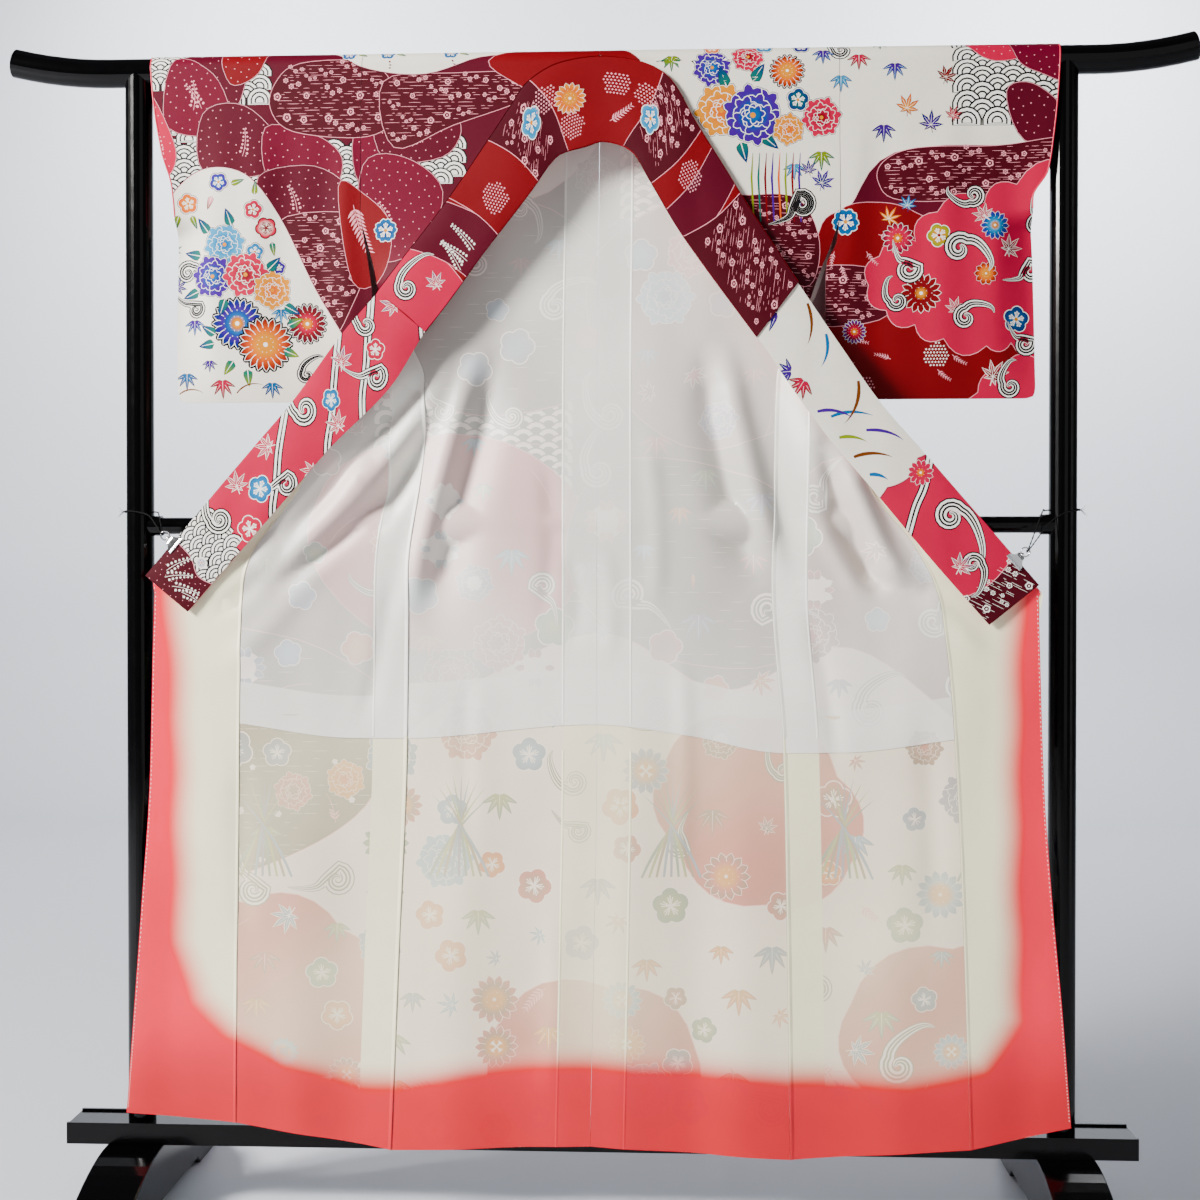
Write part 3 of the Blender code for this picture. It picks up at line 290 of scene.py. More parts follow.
def collar_seam(side, down):
    """Points just under the band's outer edge and behind it."""
    half = COLLAR_STATIONS[:13] if side == "left" else COLLAR_STATIONS[:13:-1]
    heights = [row[1] for row in half]
    z = BAR_Z + WRAP - down
    low_z = np.clip(z, heights[0], heights[-1])
    upper = np.clip(np.searchsorted(heights, low_z), 1, len(half) - 1)
    rows = np.array(half)
    low, high = rows[upper - 1], rows[upper]
    share = (z - low[:, 1]) / (high[:, 1] - low[:, 1])
    slope = (high[:, 0] - low[:, 0]) / (high[:, 1] - low[:, 1])
    x = low[:, 0] + (high[:, 0] - low[:, 0]) * share
    y = low[:, 4] + (high[:, 4] - low[:, 4]) * share
    inwards = 1.0 if side == "left" else -1.0
    return np.stack([x + inwards * SEAM_COVER * np.hypot(1.0, slope), y + BEHIND_COLLAR, z], axis=1)


def chosen(masks, values):
    """Rows of the first array whose mask holds."""
    out = values[-1].copy()
    for mask, value in reversed(list(zip(masks, values[:-1]))):
        out[mask] = value[mask]
    return out


def front_side(side, down):
    shared = [row for row in SIDE_BACK[side] if row[0] >= SIDE_SEAM_DOWN][:2]
    upper = seam(SIDE_FRONT[side] + shared, down, -1)
    return chosen([down < SIDE_SEAM_DOWN], [upper, seam(SIDE_BACK[side], down, 1)])


def front_inner(side, down):
    neck = seam(FRONT_NECK[side], down, -1)
    return chosen(
        [down <= FRONT_NECK[side][-1][0], down < OKUMI_TOP],
        [neck, collar_seam(side, down), seam(OKUMI_SEAM[side], down, -1)],
    )


# How far out the overlap reaches under the collar band's ends
OKUMI_REACH = (-0.6265, 0.632)


def okumi_outer(side, down):
    free = OKUMI_FREE[side][0][0]
    points = chosen([down < free], [collar_seam(side, down), seam(OKUMI_FREE[side], down, -1)])
    reach = smooth_step(free - 0.1, free - 0.05, down)
    covered = np.clip(points[:, 0], *OKUMI_REACH)
    points[:, 0] = np.where(down < free, points[:, 0] * (1 - reach) + covered * reach, points[:, 0])
    return points


def bent_line_distance(x, z, x0, z0, x1, z1, x2, z2):
    """Distance from points to a bent line, and how far along it the nearest place is."""
    nearest = np.full(np.shape(x), 9.0)
    place = np.zeros(np.shape(x))
    parts = 10
    t = np.linspace(0.0, 1.0, parts + 1)
    bend_x = x0 * (1 - t) ** 2 + 2 * x1 * t * (1 - t) + x2 * t * t
    bend_z = z0 * (1 - t) ** 2 + 2 * z1 * t * (1 - t) + z2 * t * t
    for part in range(parts):
        side_x, side_z = bend_x[part + 1] - bend_x[part], bend_z[part + 1] - bend_z[part]
        along_side = ((x - bend_x[part]) * side_x + (z - bend_z[part]) * side_z) / (side_x**2 + side_z**2)
        along_side = np.clip(along_side, 0.0, 1.0)
        distance = np.hypot(x - bend_x[part] - along_side * side_x, z - bend_z[part] - along_side * side_z)
        closer = distance < nearest
        nearest = np.where(closer, distance, nearest)
        place = np.where(closer, (part + along_side) / parts, place)
    return nearest, place


CREASE_GAIN = 1.5
CREASE_WIDENING = 1.12
CREASE_FLOOR = 0.0135
HEM_WAVE_RISE = 0.45
# The cloth stays before this depth at the middle bar's height, and less strictly away from it
MID_BAR_Z = 0.978
MID_BAR_LIMIT = -0.0175
MID_BAR_SPREAD = 14.0
MID_BAR_SOFTNESS = 0.0012


def crease_depth(x, z):
    """How far creases and waves move the hung cloth away from the viewer."""
    depth = np.zeros(np.shape(x))
    for x0, z0, x1, z1, x2, z2, half_width, crease in CREASES + FINE_CREASES:
        distance, t = bent_line_distance(x, z, x0, z0, x1, z1, x2, z2)
        fade = np.minimum(1.0, np.minimum(4.0 * t + 0.25, 4.0 * (1.0 - t) + 0.25))
        width = max(CREASE_FLOOR, half_width * CREASE_WIDENING)
        depth += CREASE_GAIN * crease * fade * np.exp(-((distance / width) ** 2))
    for wave_x, half_width, wave, top in HEM_WAVES:
        share = smooth_step(top, top - HEM_WAVE_RISE, z)
        depth += wave * share * np.exp(-(((x - wave_x) / half_width) ** 2))
    return depth


def before_mid_bar(y, z):
    """Keeps the cloth's depth in front of the middle bar with a soft limit."""
    limit = MID_BAR_LIMIT + MID_BAR_SPREAD * (z - MID_BAR_Z) ** 2
    room = np.clip((limit - y) / MID_BAR_SOFTNESS, -40.0, 40.0)
    return np.where(room > 30.0, y, limit - MID_BAR_SOFTNESS * np.log1p(np.exp(room)))


def soft_ripple(x, z):
    """Small uneven vertical folds that all hung silk has."""
    slow = 0.0006 * np.sin(31.0 * x + 1.7 * np.sin(2.3 * z) + 0.4)
    uneven = 0.6 + 0.4 * np.sin(5.0 * z + 9.0 * x)
    fine = 0.00035 * np.sin(83.0 * x + 2.1 * np.sin(3.1 * z + 1.0)) * uneven
    return slow + fine


# The kept grid reaches this share past both edges
GRID_MARGIN = 0.02


class Surface:
    """A form's places and normals, kept on a fine grid and read from it in between."""

    def keep(self, first, last, facing_at, facing, axis=1, row_step=0.003, columns=72):
        self.grid_first, self.grid_last = first, last
        self.grid_rows = max(3, int(round((last - first) / row_step)) + 1)
        rows = np.linspace(first, last, self.grid_rows)
        shares = np.linspace(-GRID_MARGIN, 1.0 + GRID_MARGIN, columns)
        self.grid_columns = columns
        places = self.form(np.repeat(rows, columns), np.tile(shares, self.grid_rows))
        grid = places.reshape(self.grid_rows, columns, 3)
        across = np.gradient(grid, axis=1)
        downwards = np.gradient(grid, axis=0)
        normals = np.cross(across, downwards)
        normals /= np.maximum(np.linalg.norm(normals, axis=2), 1e-12)[..., None]
        self.grid = grid
        self.grid_normals = normals
        seen = self.read(self.grid_normals, np.array([facing_at]), np.array([0.5]))[0]
        if seen[axis] * facing < 0:
            self.grid_normals = -normals

    def read(self, grid, down, share):
        length = self.grid_last - self.grid_first
        row = (np.asarray(down, float) - self.grid_first) / length * (self.grid_rows - 1)
        wide = 1.0 + 2 * GRID_MARGIN
        column = (np.asarray(share, float) + GRID_MARGIN) / wide * (self.grid_columns - 1)
        row = np.clip(row, 0.0, self.grid_rows - 1.000001)
        column = np.clip(column, 0.0, self.grid_columns - 1.000001)
        r, c = row.astype(int), column.astype(int)
        u, v = (row - r)[:, None], (column - c)[:, None]
        upper = grid[r, c] * (1 - v) + grid[r, c + 1] * v
        lower = grid[r + 1, c] * (1 - v) + grid[r + 1, c + 1] * v
        return upper * (1 - u) + lower * u

    def place(self, down, share):
        return self.read(self.grid, down, share)

    def normals(self, down, share):
        found = self.read(self.grid_normals, down, share)
        return found / np.maximum(np.linalg.norm(found, axis=1), 1e-12)[:, None]


class Panel(Surface):
    """A length of cloth between two seams, from a first to a last distance down."""

    def __init__(self, start, end, first, last, facing, reference, creased=True):
        self.start, self.end = start, end
        self.first, self.last = first, last
        self.creased = creased
        self.keep(first, last, reference, facing)

    def form(self, down, share):
        down = np.asarray(down, float)
        start = self.start(down)
        end = self.end(down)
        points = start + (end - start) * np.asarray(share)[:, None]
        if self.creased:
            weight = smooth_step(SIDE_SEAM_DOWN - 0.07, SIDE_SEAM_DOWN + 0.02, down)
            points[:, 1] += weight * crease_depth(points[:, 0], points[:, 2])
            hung = smooth_step(0.08, 0.2, down)
            points[:, 1] += hung * soft_ripple(points[:, 0], points[:, 2])
            points[:, 1] = before_mid_bar(points[:, 1], points[:, 2])
        return points

    def width(self, down):
        return np.linalg.norm(self.end(down) - self.start(down), axis=1)

    def to_canvas(self, down, share, turned):
        """Flat drawing coordinates of places on the cloth. turned is 1 where the share runs to +X."""
        down = np.asarray(down, float)
        x = self.start(down)[:, 0] + turned * self.width(down) * share
        return np.stack([x, -down], axis=1)

    def from_canvas(self, points, turned):
        down = np.clip(-points[:, 1], self.first, self.last)
        share = (points[:, 0] - self.start(down)[:, 0]) * turned / np.maximum(self.width(down), 1e-6)
        return down, np.clip(share, 0.0, 1.0)


class Sleeve(Panel):
    """Half of a sleeve, from the body seam to the cuff. sign_y is -1 for the front half."""

    def __init__(self, side, sign_y):
        self.side, self.sign_y = side, sign_y
        self.first, self.last = 0.0, SLEEVE_BOTTOM_DOWN
        self.keep(0.0, SLEEVE_BOTTOM_DOWN, 0.2, sign_y)

    def inner(self, down):
        column = 0 if self.sign_y < 0 else 1
        seam_down = np.minimum(down, CUFF_DOWN)
        if self.sign_y < 0:
            points = front_side(self.side, seam_down)
        else:
            points = seam(SIDE_BACK[self.side], seam_down, 1)
        points[:, 2] -= np.maximum(0.0, down - CUFF_DOWN)
        free_x = along(SLEEVE_INNER[self.side], down)[:, column]
        points[:, 0] = np.where(down > CUFF_DOWN, free_x, points[:, 0])
        if self.sign_y > 0:
            points[:, 1] += 0.005 * smooth_step(CUFF_DOWN, CUFF_DOWN + 0.05, down)
        return points

    def start(self, down):
        return self.inner(down)

    def end(self, down):
        points = self.inner(down)
        points[:, 0] = along(CUFF_EDGE[self.side], down)[:, 0]
        return points

    def width(self, down):
        return np.abs(self.end(down)[:, 0] - self.start(down)[:, 0])

    def form(self, down, share):
        down = np.asarray(down, float)
        share = np.asarray(share, float)
        inner = self.inner(down)
        cuff_x = along(CUFF_EDGE[self.side], down)[:, 0]
        hang = np.clip((down - WRAP) / (SLEEVE_BOTTOM_DOWN - WRAP), 0.0, 1.0)
        rounding = 1 - hang**6
        free = WRAP_RADIUS * (1 - 0.35 * hang) * rounding
        from_seam = smooth_step(0.0, 0.36, share)
        closed = smooth_step(0.8, 1.0, share) * smooth_step(CUFF_DOWN, CUFF_DOWN + 0.03, down)
        y = inner[:, 1] * rounding * (1 - from_seam) + self.sign_y * free * from_seam
        y = np.where(down < WRAP, inner[:, 1], y)
        x = inner[:, 0] + (cuff_x - inner[:, 0]) * share
        fold = smooth_step(0.06, 0.22, down) * rounding * smooth_step(0.0, 0.12, share) * (1 - closed)
        y = y * (1 - closed) + fold * sleeve_fold(x, inner[:, 2], self.sign_y)
        outwards = -1.0 if self.side == "left" else 1.0
        bottom = BAR_Z - (SLEEVE_BOTTOM_DOWN - WRAP)
        z = inner[:, 2]
        u = (x - cuff_x) * outwards / SLEEVE_CORNER + 1.0
        w = (bottom - z) / SLEEVE_CORNER + 1.0
        corner = (u > 0.0) & (w > 0.0)
        scale = np.where(corner, np.maximum(u, w) / np.maximum(np.hypot(u, w), 1e-9), 1.0)
        x = np.where(corner, cuff_x + outwards * SLEEVE_CORNER * (u * scale - 1.0), x)
        z = np.where(corner, bottom - SLEEVE_CORNER * (w * scale - 1.0), z)
        return np.stack([x, y, z], axis=1)


def sleeve_fold(x, z, sign_y):
    """Soft folds of the hanging sleeve, in metres along Y."""
    drift = 0.5 * np.sin(4.0 * z + 2.0 * sign_y)
    slow = 0.0018 * np.sin(38.0 * x + drift + sign_y)
    fine = 0.0007 * np.sin(97.0 * x + 1.4 * np.sin(6.0 * z))
    return slow + fine


class Band(Surface):
    """The collar band. Its canvas runs along the band, left end first, and across from the outer edge."""

    def __init__(self, first, last):
        rows = np.array(COLLAR_STATIONS[first : last + 1], float)
        middle = np.stack(
            [(rows[:, 0] + rows[:, 2]) / 2, rows[:, 4], (rows[:, 1] + rows[:, 3]) / 2], axis=1
        )
        steps = np.linalg.norm(np.diff(middle, axis=0), axis=1)
        self.length = float(steps.sum())
        reach = np.concatenate([[0.0], np.cumsum(steps)])
        self.table = np.column_stack([reach, rows])
        self.first, self.last = 0.0, self.length
        widths = np.hypot(rows[:, 0] - rows[:, 2], rows[:, 1] - rows[:, 3])
        self.widths = np.column_stack([reach, widths])
        self.mean_width = float(self.widths[:, 1].mean())
        self.keep(0.0, self.length, 0.2, -1.0, 1, 0.004, 33)

    def form(self, reach, share):
        reach = np.asarray(reach, float)
        share = np.asarray(share, float)
        row = along(self.table, reach)
        outer = np.stack([row[:, 0], row[:, 4], row[:, 1]], axis=1)
        inner = np.stack([row[:, 2], row[:, 4] - 0.0012, row[:, 3]], axis=1)
        points = outer + (inner - outer) * share[:, None]
        crown = 0.001 * (1 - (2 * share - 1) ** 4)
        sag = 0.0008 * np.sin(23.0 * reach + 3.0 * share) + 0.0005 * np.sin(61.0 * reach - 4.0 * share)
        points[:, 1] -= crown + sag * (4 * share * (1 - share))
        return points

    def to_canvas(self, reach, share, turned):
        width = along(self.widths, reach)[:, 0]
        return np.stack([np.asarray(reach, float), -width * share], axis=1)

    def from_canvas(self, points, turned):
        reach = np.clip(points[:, 0], 0.0, self.length)
        width = along(self.widths, reach)[:, 0]
        return reach, np.clip(-points[:, 1] / width, 0.0, 1.0)


def dye(colour):
    """A dye's linear colour, deeper where it is more saturated."""
    saturation = (max(colour) - min(colour)) / max(colour)
    return linear(colour) * (1 - 0.32 * saturation)


def linear(colour):
    """Linear red, green and blue of an sRGB colour in 0 to 255."""
    value = np.asarray(colour, float) / 255.0
    return np.where(value <= 0.04045, value / 12.92, ((value + 0.055) / 1.055) ** 2.4)


class Art:
    """Painted shapes on a flat canvas, each over the ones before it."""

    def __init__(self):
        self.shapes = []

    def add(self, outline, colour, centre=None, reach=None, outer=None):
        """A closed outline in one colour, or shading from colour at the centre to outer at reach."""
        outline = np.asarray(outline, float)
        x, y = outline[:, 0], outline[:, 1]
        area = np.sum(x * np.roll(y, -1) - np.roll(x, -1) * y) / 2
        if abs(area) < 2e-8:
            return
        if area < 0:
            outline = outline[::-1]
        low, high = outline.min(axis=0), outline.max(axis=0)
        self.shapes.append((outline, low, high, colour, centre, reach, outer))

    def drop_hidden(self, large=0.022):
        """Leaves out the shapes that a later large shape covers whole."""
        kept = np.ones(len(self.shapes), bool)
        lows = np.array([shape[1] for shape in self.shapes])
        highs = np.array([shape[2] for shape in self.shapes])
        for number, (outline, low, high, *rest) in enumerate(self.shapes):
            if (high - low).min() < large:
                continue
            covered = kept[:number] & (lows[:number] >= low).all(axis=1)
            covered &= (highs[:number] <= high).all(axis=1)
            for earlier in np.flatnonzero(covered):
                if inside(self.shapes[earlier][0], outline).all():
                    kept[earlier] = False
        self.shapes = [shape for shape, keep in zip(self.shapes, kept) if keep]

    def within(self, low, high, smallest):
        """The shapes that reach into a box, the ones smaller than the given size left out."""
        return [
            shape
            for shape in self.shapes
            if (shape[1] <= high).all()
            and (shape[2] >= low).all()
            and float((shape[2] - shape[1]).max()) >= smallest
        ]


def inside(points, outline):
    """Which points lie in a closed outline."""
    points = np.atleast_2d(points)
    x, y = points[:, 0][:, None], points[:, 1][:, None]
    x0, y0 = outline[:, 0], outline[:, 1]
    x1, y1 = np.roll(x0, -1), np.roll(y0, -1)
    height = np.where(np.abs(y1 - y0) < 1e-12, 1e-12, y1 - y0)
    crosses = ((y0 > y) != (y1 > y)) & (x < (x1 - x0) * (y - y0) / height + x0)
    return crosses.sum(axis=1) % 2 == 1


def inside_many(points, outline):
    """The same for many points, a few thousand at a time."""
    group = 4000
    parts = [points[first : first + group] for first in range(0, len(points), group)]
    return np.concatenate([inside(part, outline) for part in parts])


def topmost(points, outlines, cell=0.01):
    """The number of the last outline that each point lies in, or -1."""
    found = np.full(len(points), -1)
    low = points.min(axis=0)
    wide = int((points[:, 0].max() - low[0]) / cell) + 2
    cells = np.floor((points - low) / cell).astype(int)
    keys = cells[:, 1] * wide + cells[:, 0]
    order = np.argsort(keys, kind="stable")
    keys = keys[order]
    high_cell = cells.max(axis=0)
    for number, outline in enumerate(outlines):
        first = np.maximum(np.floor((outline.min(axis=0) - low) / cell).astype(int), 0)
        last = np.minimum(np.floor((outline.max(axis=0) - low) / cell).astype(int), high_cell)
        if (first > last).any():
            continue
        lines = np.arange(first[1], last[1] + 1) * wide
        starts = np.searchsorted(keys, lines + first[0], side="left")
        ends = np.searchsorted(keys, lines + last[0], side="right")
        near = np.concatenate([order[a:b] for a, b in zip(starts, ends)])
        if len(near):
            found[near[inside_many(points[near], outline)]] = number
    return found


def with_steps(outline, longest):
    """The outline with more points, so that no side that crosses a crease is longer than this."""
    sides = np.roll(outline, -1, axis=0) - outline
    counts = np.ceil(np.linalg.norm(sides, axis=1) / longest).astype(int)
    if counts.max() <= 1:
        return outline
    counts = np.maximum(counts, 1)
    parts = []
    for start, side, count in zip(outline, sides, counts):
        parts.append(start + side * (np.arange(count) / count)[:, None])
    return np.concatenate(parts)


def paint_patch(panel, art, turned, first, last, row_step, column_step, smallest=0.0, shares=(0.0, 1.0),
        veils=(), lower_edge=None):
    """Cuts the painted shapes into one stretch of a panel.

    veils are outlines with a factor each, which is 1 outside them. lower_edge gives the distance down
    of a curved lower end at each share. It returns each corner's canvas place, distance down and share,
    the faces, each face corner's colour and each face's veil factor.
    """
    low_share, high_share = shares
    edge_last = lower_edge or (lambda share: np.full(np.shape(share), last))
    rows = np.linspace(first, last, max(2, int(round((last - first) / row_step)) + 1))
    edge_count = max(2, int(round((last - first) / 0.008)) + 1)
    low_rows = np.linspace(first, float(edge_last(np.array(low_share))), edge_count)
    high_rows = np.linspace(first, float(edge_last(np.array(high_share))), edge_count)
    low_edge = panel.to_canvas(low_rows, np.full(edge_count, low_share), turned)
    high_edge = panel.to_canvas(high_rows, np.full(edge_count, high_share), turned)
    ends = np.linspace(low_share, high_share, 40)[1:-1]
    bottom = panel.to_canvas(edge_last(ends), ends, turned)
    region = np.concatenate([low_edge, bottom, high_edge[::-1]])
    area = np.sum(region[:, 0] * np.roll(region[:, 1], -1) - np.roll(region[:, 0], -1) * region[:, 1])
    if area < 0:
        region = region[::-1]
    low, high = region.min(axis=0), region.max(axis=0)
    shapes = art.within(low, high, smallest)
    points = [region]
    edges = [(i, (i + 1) % len(region)) for i in range(len(region))]
    count = len(region)
    widest = float(np.abs(high_edge[:, 0] - low_edge[:, 0]).max())
    columns = max(2, int(round(widest / column_step)))
    inner_shares = np.linspace(low_share, high_share, columns + 1)[1:-1]
    for row in rows[1:-1]:
        points.append(panel.to_canvas(np.full(columns - 1, row), inner_shares, turned))
        count += columns - 1
    for outline in [shape[0] for shape in shapes] + [veil[0] for veil in veils]:
        outline = with_steps(np.clip(outline, low - 0.004, high + 0.004), column_step)
        points.append(outline)
        edges.extend((count + i, count + (i + 1) % len(outline)) for i in range(len(outline)))
        count += len(outline)
    flat = np.concatenate(points)
    found = delaunay_2d_cdt([Vector(point) for point in flat.tolist()], edges, [], 0, 1e-6, False)
    corners = np.array([(point[0], point[1]) for point in found[0]])
    triangles = np.array(found[2])
    middles = corners[triangles].mean(axis=1)
    within = (middles >= low).all(axis=1) & (middles <= high).all(axis=1)
    triangles, middles = triangles[within], middles[within]
    kept = inside_many(middles, region)
    triangles, middles = triangles[kept], middles[kept]
    owners = topmost(middles, [shape[0] for shape in shapes])
    colours = np.empty((len(triangles), 3, 3))
    order = np.argsort(owners, kind="stable")
    splits = np.flatnonzero(np.diff(owners[order])) + 1
    for group in np.split(order, splits):
        owner = owners[group[0]]
        if owner < 0:
            colours[group] = dye(WINE)
            continue
        colour, centre, reach, outer = shapes[owner][3:]
        if callable(colour):
            colours[group] = colour(corners[triangles[group]])
        elif centre is None:
            colours[group] = dye(colour)
        else:
            away = np.linalg.norm(corners[triangles[group]] - np.asarray(centre), axis=2) / reach
            share = smooth_step(0.15, 1.0, away)[..., None]
            colours[group] = dye(colour) * (1 - share) + dye(outer) * share
    veil = np.ones(len(triangles))
    for outline, factor in veils:
        veil[inside_many(middles, outline)] *= factor
    down, share = panel.from_canvas(corners, turned)
    return corners, down, share, triangles, colours, veil


def lattice(first, last, row_step, columns, shares=(0.0, 1.0)):
    """A plain grid: distances down, shares, quads and the outline's corner numbers."""
    rows = np.linspace(first, last, max(2, int(round((last - first) / row_step)) + 1))
    across = np.linspace(shares[0], shares[1], columns + 1)
    down = np.repeat(rows, columns + 1)
    share = np.tile(across, len(rows))
    wide = columns + 1
    quads = [
        (r * wide + c, r * wide + c + 1, (r + 1) * wide + c + 1, (r + 1) * wide + c)
        for r in range(len(rows) - 1)
        for c in range(columns)
    ]
    last_row = (len(rows) - 1) * wide
    ring = list(range(wide - 1)) + [r * wide + columns for r in range(len(rows) - 1)]
    ring += [last_row + c for c in range(columns, 0, -1)] + [r * wide for r in range(len(rows) - 1, 0, -1)]
    return down, share, quads, ring


class Cloth:
    """Gathers the faces of one cloth piece, with their colours, normals and flat places."""

    def __init__(self, name):
        self.name = name
        self.points, self.normals, self.uvs = [], [], []
        self.faces, self.corner_colours, self.slots = [], [], []
        self.count = 0

    def extend(self, points, normals, faces, colours, uvs, slot):
        """colours and uvs are one per face corner, in the faces' order."""
        self.points.append(points)
        self.normals.append(normals)
        self.faces.extend([tuple(int(index) + self.count for index in face) for face in faces])
        self.corner_colours.append(np.asarray(colours, float).reshape(-1, 3))
        self.uvs.append(np.asarray(uvs, float).reshape(-1, 2))
        self.slots.extend([slot] * len(faces))
        self.count += len(points)

    def painted(self, panel, art, turned, first, last, offset, steps, slot=0, smallest=0.0, tint=None,
            shares=(0.0, 1.0), veils=(), lower_edge=None):
        """The pattern's side. tint turns a corner's colour, place and veil into the final colour."""
        corners, down, share, triangles, colours, veil = paint_patch(
            panel, art, turned, first, last, steps[0], steps[1], smallest, shares, veils, lower_edge
        )
        normals = panel.normals(down, share)
        points = panel.place(down, share) + normals * offset
        side = np.sign(offset)
        faces, turned_over = faces_towards(points, triangles, normals * side)
        if tint is not None:
            colours = tint(colours, corners[triangles], veil[:, None])
        colours[turned_over] = colours[turned_over][:, ::-1]
        uvs = corners[faces]
        self.extend(points, normals * side, faces, colours, uvs, slot)

    def plain(self, panel, first, last, offset, row_step, columns, colour, slot, rim_to=None,
            shares=(0.0, 1.0), shift=(0.0, 0.0)):
        """A plain side of the cloth, with a rim to the other side where rim_to is given."""
        down, share, quads, ring = lattice(first, last, row_step, columns, shares)
        normals = panel.normals(down, share)
        middle = panel.place(down, share)
        points = middle + normals * offset
        side = 1.0 if offset > (rim_to if rim_to is not None else 0.0) else -1.0
        faces = faces_towards(points, np.array(quads), normals * side)[0]
        flat = panel.to_canvas(down, share, 1.0) + np.asarray(shift)
        shade = np.broadcast_to(linear(colour), (len(quads) * 4, 3))
        self.extend(points, normals * side, faces, shade, flat[faces], slot)
        if rim_to is None:
            return
        here = points[ring]
        there = (middle + normals * rim_to)[ring]
        count = len(ring)
        rim_points = np.concatenate([here, there])
        along_edge = np.roll(here, -1, axis=0) - np.roll(here, 1, axis=0)
        outwards = np.cross(along_edge, here - there)
        inwards = middle.mean(axis=0) - here
        outwards *= -np.sign((outwards * inwards).sum(axis=1))[:, None]
        outwards = unit_rows(outwards, 1e-12)
        rim = [(i, (i + 1) % count, (i + 1) % count + count, i + count) for i in range(count)]
        rim_normals = np.concatenate([outwards, outwards])
        rim_faces = faces_towards(rim_points, np.array(rim), rim_normals)[0]
        rim_flat = np.concatenate([flat[ring], flat[ring] + 0.0005])
        shade = np.broadcast_to(linear(colour), (len(rim) * 4, 3))
        self.extend(rim_points, rim_normals, rim_faces, shade, rim_flat[rim_faces], slot)

    def strip(self, panel, turned, first, last, across, base, colour_of, slot=0, from_end=False,
            row_step=0.008):
        """A raised strip along a seam. across holds (distance from the seam, height, shade); the shade
        scales the colour as painted shade below 1 and as a painted highlight above 1.
        """
        rows = np.linspace(first, last, max(3, int(round((last - first) / row_step)) + 1))
        widths = panel.width(rows)
        table = np.array(across, float)
        count = len(table)
        share = table[None, :, 0] / widths[:, None]
        if from_end:
            share = 1.0 - share
        down = np.repeat(rows, count)
        share = share.ravel()
        wander = 1.0 + 0.25 * np.sin(rows * 61.0) * np.sin(rows * 23.0 + 1.0)
        height = (table[None, :, 1] * wander[:, None]).ravel()
        middle = panel.place(down, share)
        outwards = panel.normals(down, share) * np.sign(base)
        points = middle + outwards * (abs(base) + height)[:, None]
        grid = points.reshape(len(rows), count, 3)
        normals = np.cross(np.gradient(grid, axis=1), np.gradient(grid, axis=0)).reshape(-1, 3)
        normals = unit_rows(normals, 1e-12)
        normals *= np.sign((normals * outwards).sum(axis=1))[:, None]
        quads = np.array([
            (r * count + c, r * count + c + 1, (r + 1) * count + c + 1, (r + 1) * count + c)
            for r in range(len(rows) - 1)
            for c in range(count - 1)
        ])
        faces = faces_towards(points, quads, outwards)[0]
        places = panel.to_canvas(down, share, turned)
        # Painted shade and painted highlight: each column's shade darkens or lightens the colour across the
        # strip
        shades = np.tile(table[:, 2], len(rows))[:, None]
        colours = colour_of(places) * shades
        self.extend(points, normals, faces, colours[faces], places[faces], slot)

    def build(self, materials):
        mesh = bpy.data.meshes.new(self.name)
        points = np.concatenate(self.points)
        mesh.from_pydata(points.tolist(), [], self.faces)
        for made in materials:
            mesh.materials.append(made)
        mesh.polygons.foreach_set("material_index", np.array(self.slots, np.int32))
        colour = mesh.color_attributes.new("dye", "FLOAT_COLOR", "CORNER")
        corner = np.concatenate(self.corner_colours)
        packed = np.ones((len(corner), 4), np.float32)
        packed[:, :3] = corner
        colour.data.foreach_set("color", packed.ravel())
        uv = mesh.uv_layers.new(name="OFBake")
        flat = np.concatenate(self.uvs)
        low, high = flat.min(axis=0), flat.max(axis=0)
        flat = (flat - low) / max(float((high - low).max()), 1e-6)
        uv.data.foreach_set("uv", flat.astype(np.float32).ravel())
        mesh.shade_smooth()
        mesh.normals_split_custom_set_from_vertices(np.concatenate(self.normals).tolist())
        return linked(self.name, mesh)


def faces_towards(points, faces, normals):
    """The faces turned the way of their corners' normals, and which ones were turned over."""
    faces = np.asarray(faces)
    a, b, c = points[faces[:, 0]], points[faces[:, 1]], points[faces[:, -1]]
    away = (np.cross(b - a, c - a) * normals[faces].mean(axis=1)).sum(axis=1) < 0
    turned = faces.copy()
    turned[away] = faces[away][:, ::-1]
    return turned, away


# Dye colours, sRGB
WINE = (88, 17, 35)
WINE_LIGHT = (108, 27, 47)
MAROON = (76, 9, 24)
RED = (130, 0, 14)
PINK = (200, 58, 84)
PINK_PALE = (240, 176, 184)
IVORY = (233, 228, 217)
WHITE = (238, 236, 230)
BLACK = (12, 10, 12)
GOLD = (236, 148, 32)
ORANGE = (232, 96, 36)
BLUE = (48, 106, 160)
BLUE_PALE = (104, 158, 194)
NAVY = (36, 52, 110)
VIOLET = (84, 60, 134)
GREEN = (30, 104, 92)
OLIVE = (132, 150, 52)
BROWN = (112, 62, 34)
# The width of the dark line round motifs on pale silk
RIM = 0.0009


def turned(points, angle, centre=(0.0, 0.0)):
    """Points turned about the origin and moved to a centre."""
    points = np.asarray(points, float)
    c, s = math.cos(angle), math.sin(angle)
    x, y = points[:, 0], points[:, 1]
    return np.stack([x * c - y * s, x * s + y * c], axis=1) + centre


def polar(radius_of, count):
    """An outline from a radius at each angle."""
    angle = np.linspace(0.0, 2 * math.pi, count, endpoint=False)
    radius = radius_of(angle)
    return np.stack([radius * np.cos(angle), radius * np.sin(angle)], axis=1)


def disc(centre, radius, count=10):
    return polar(lambda angle: np.full(len(angle), radius), count) + centre


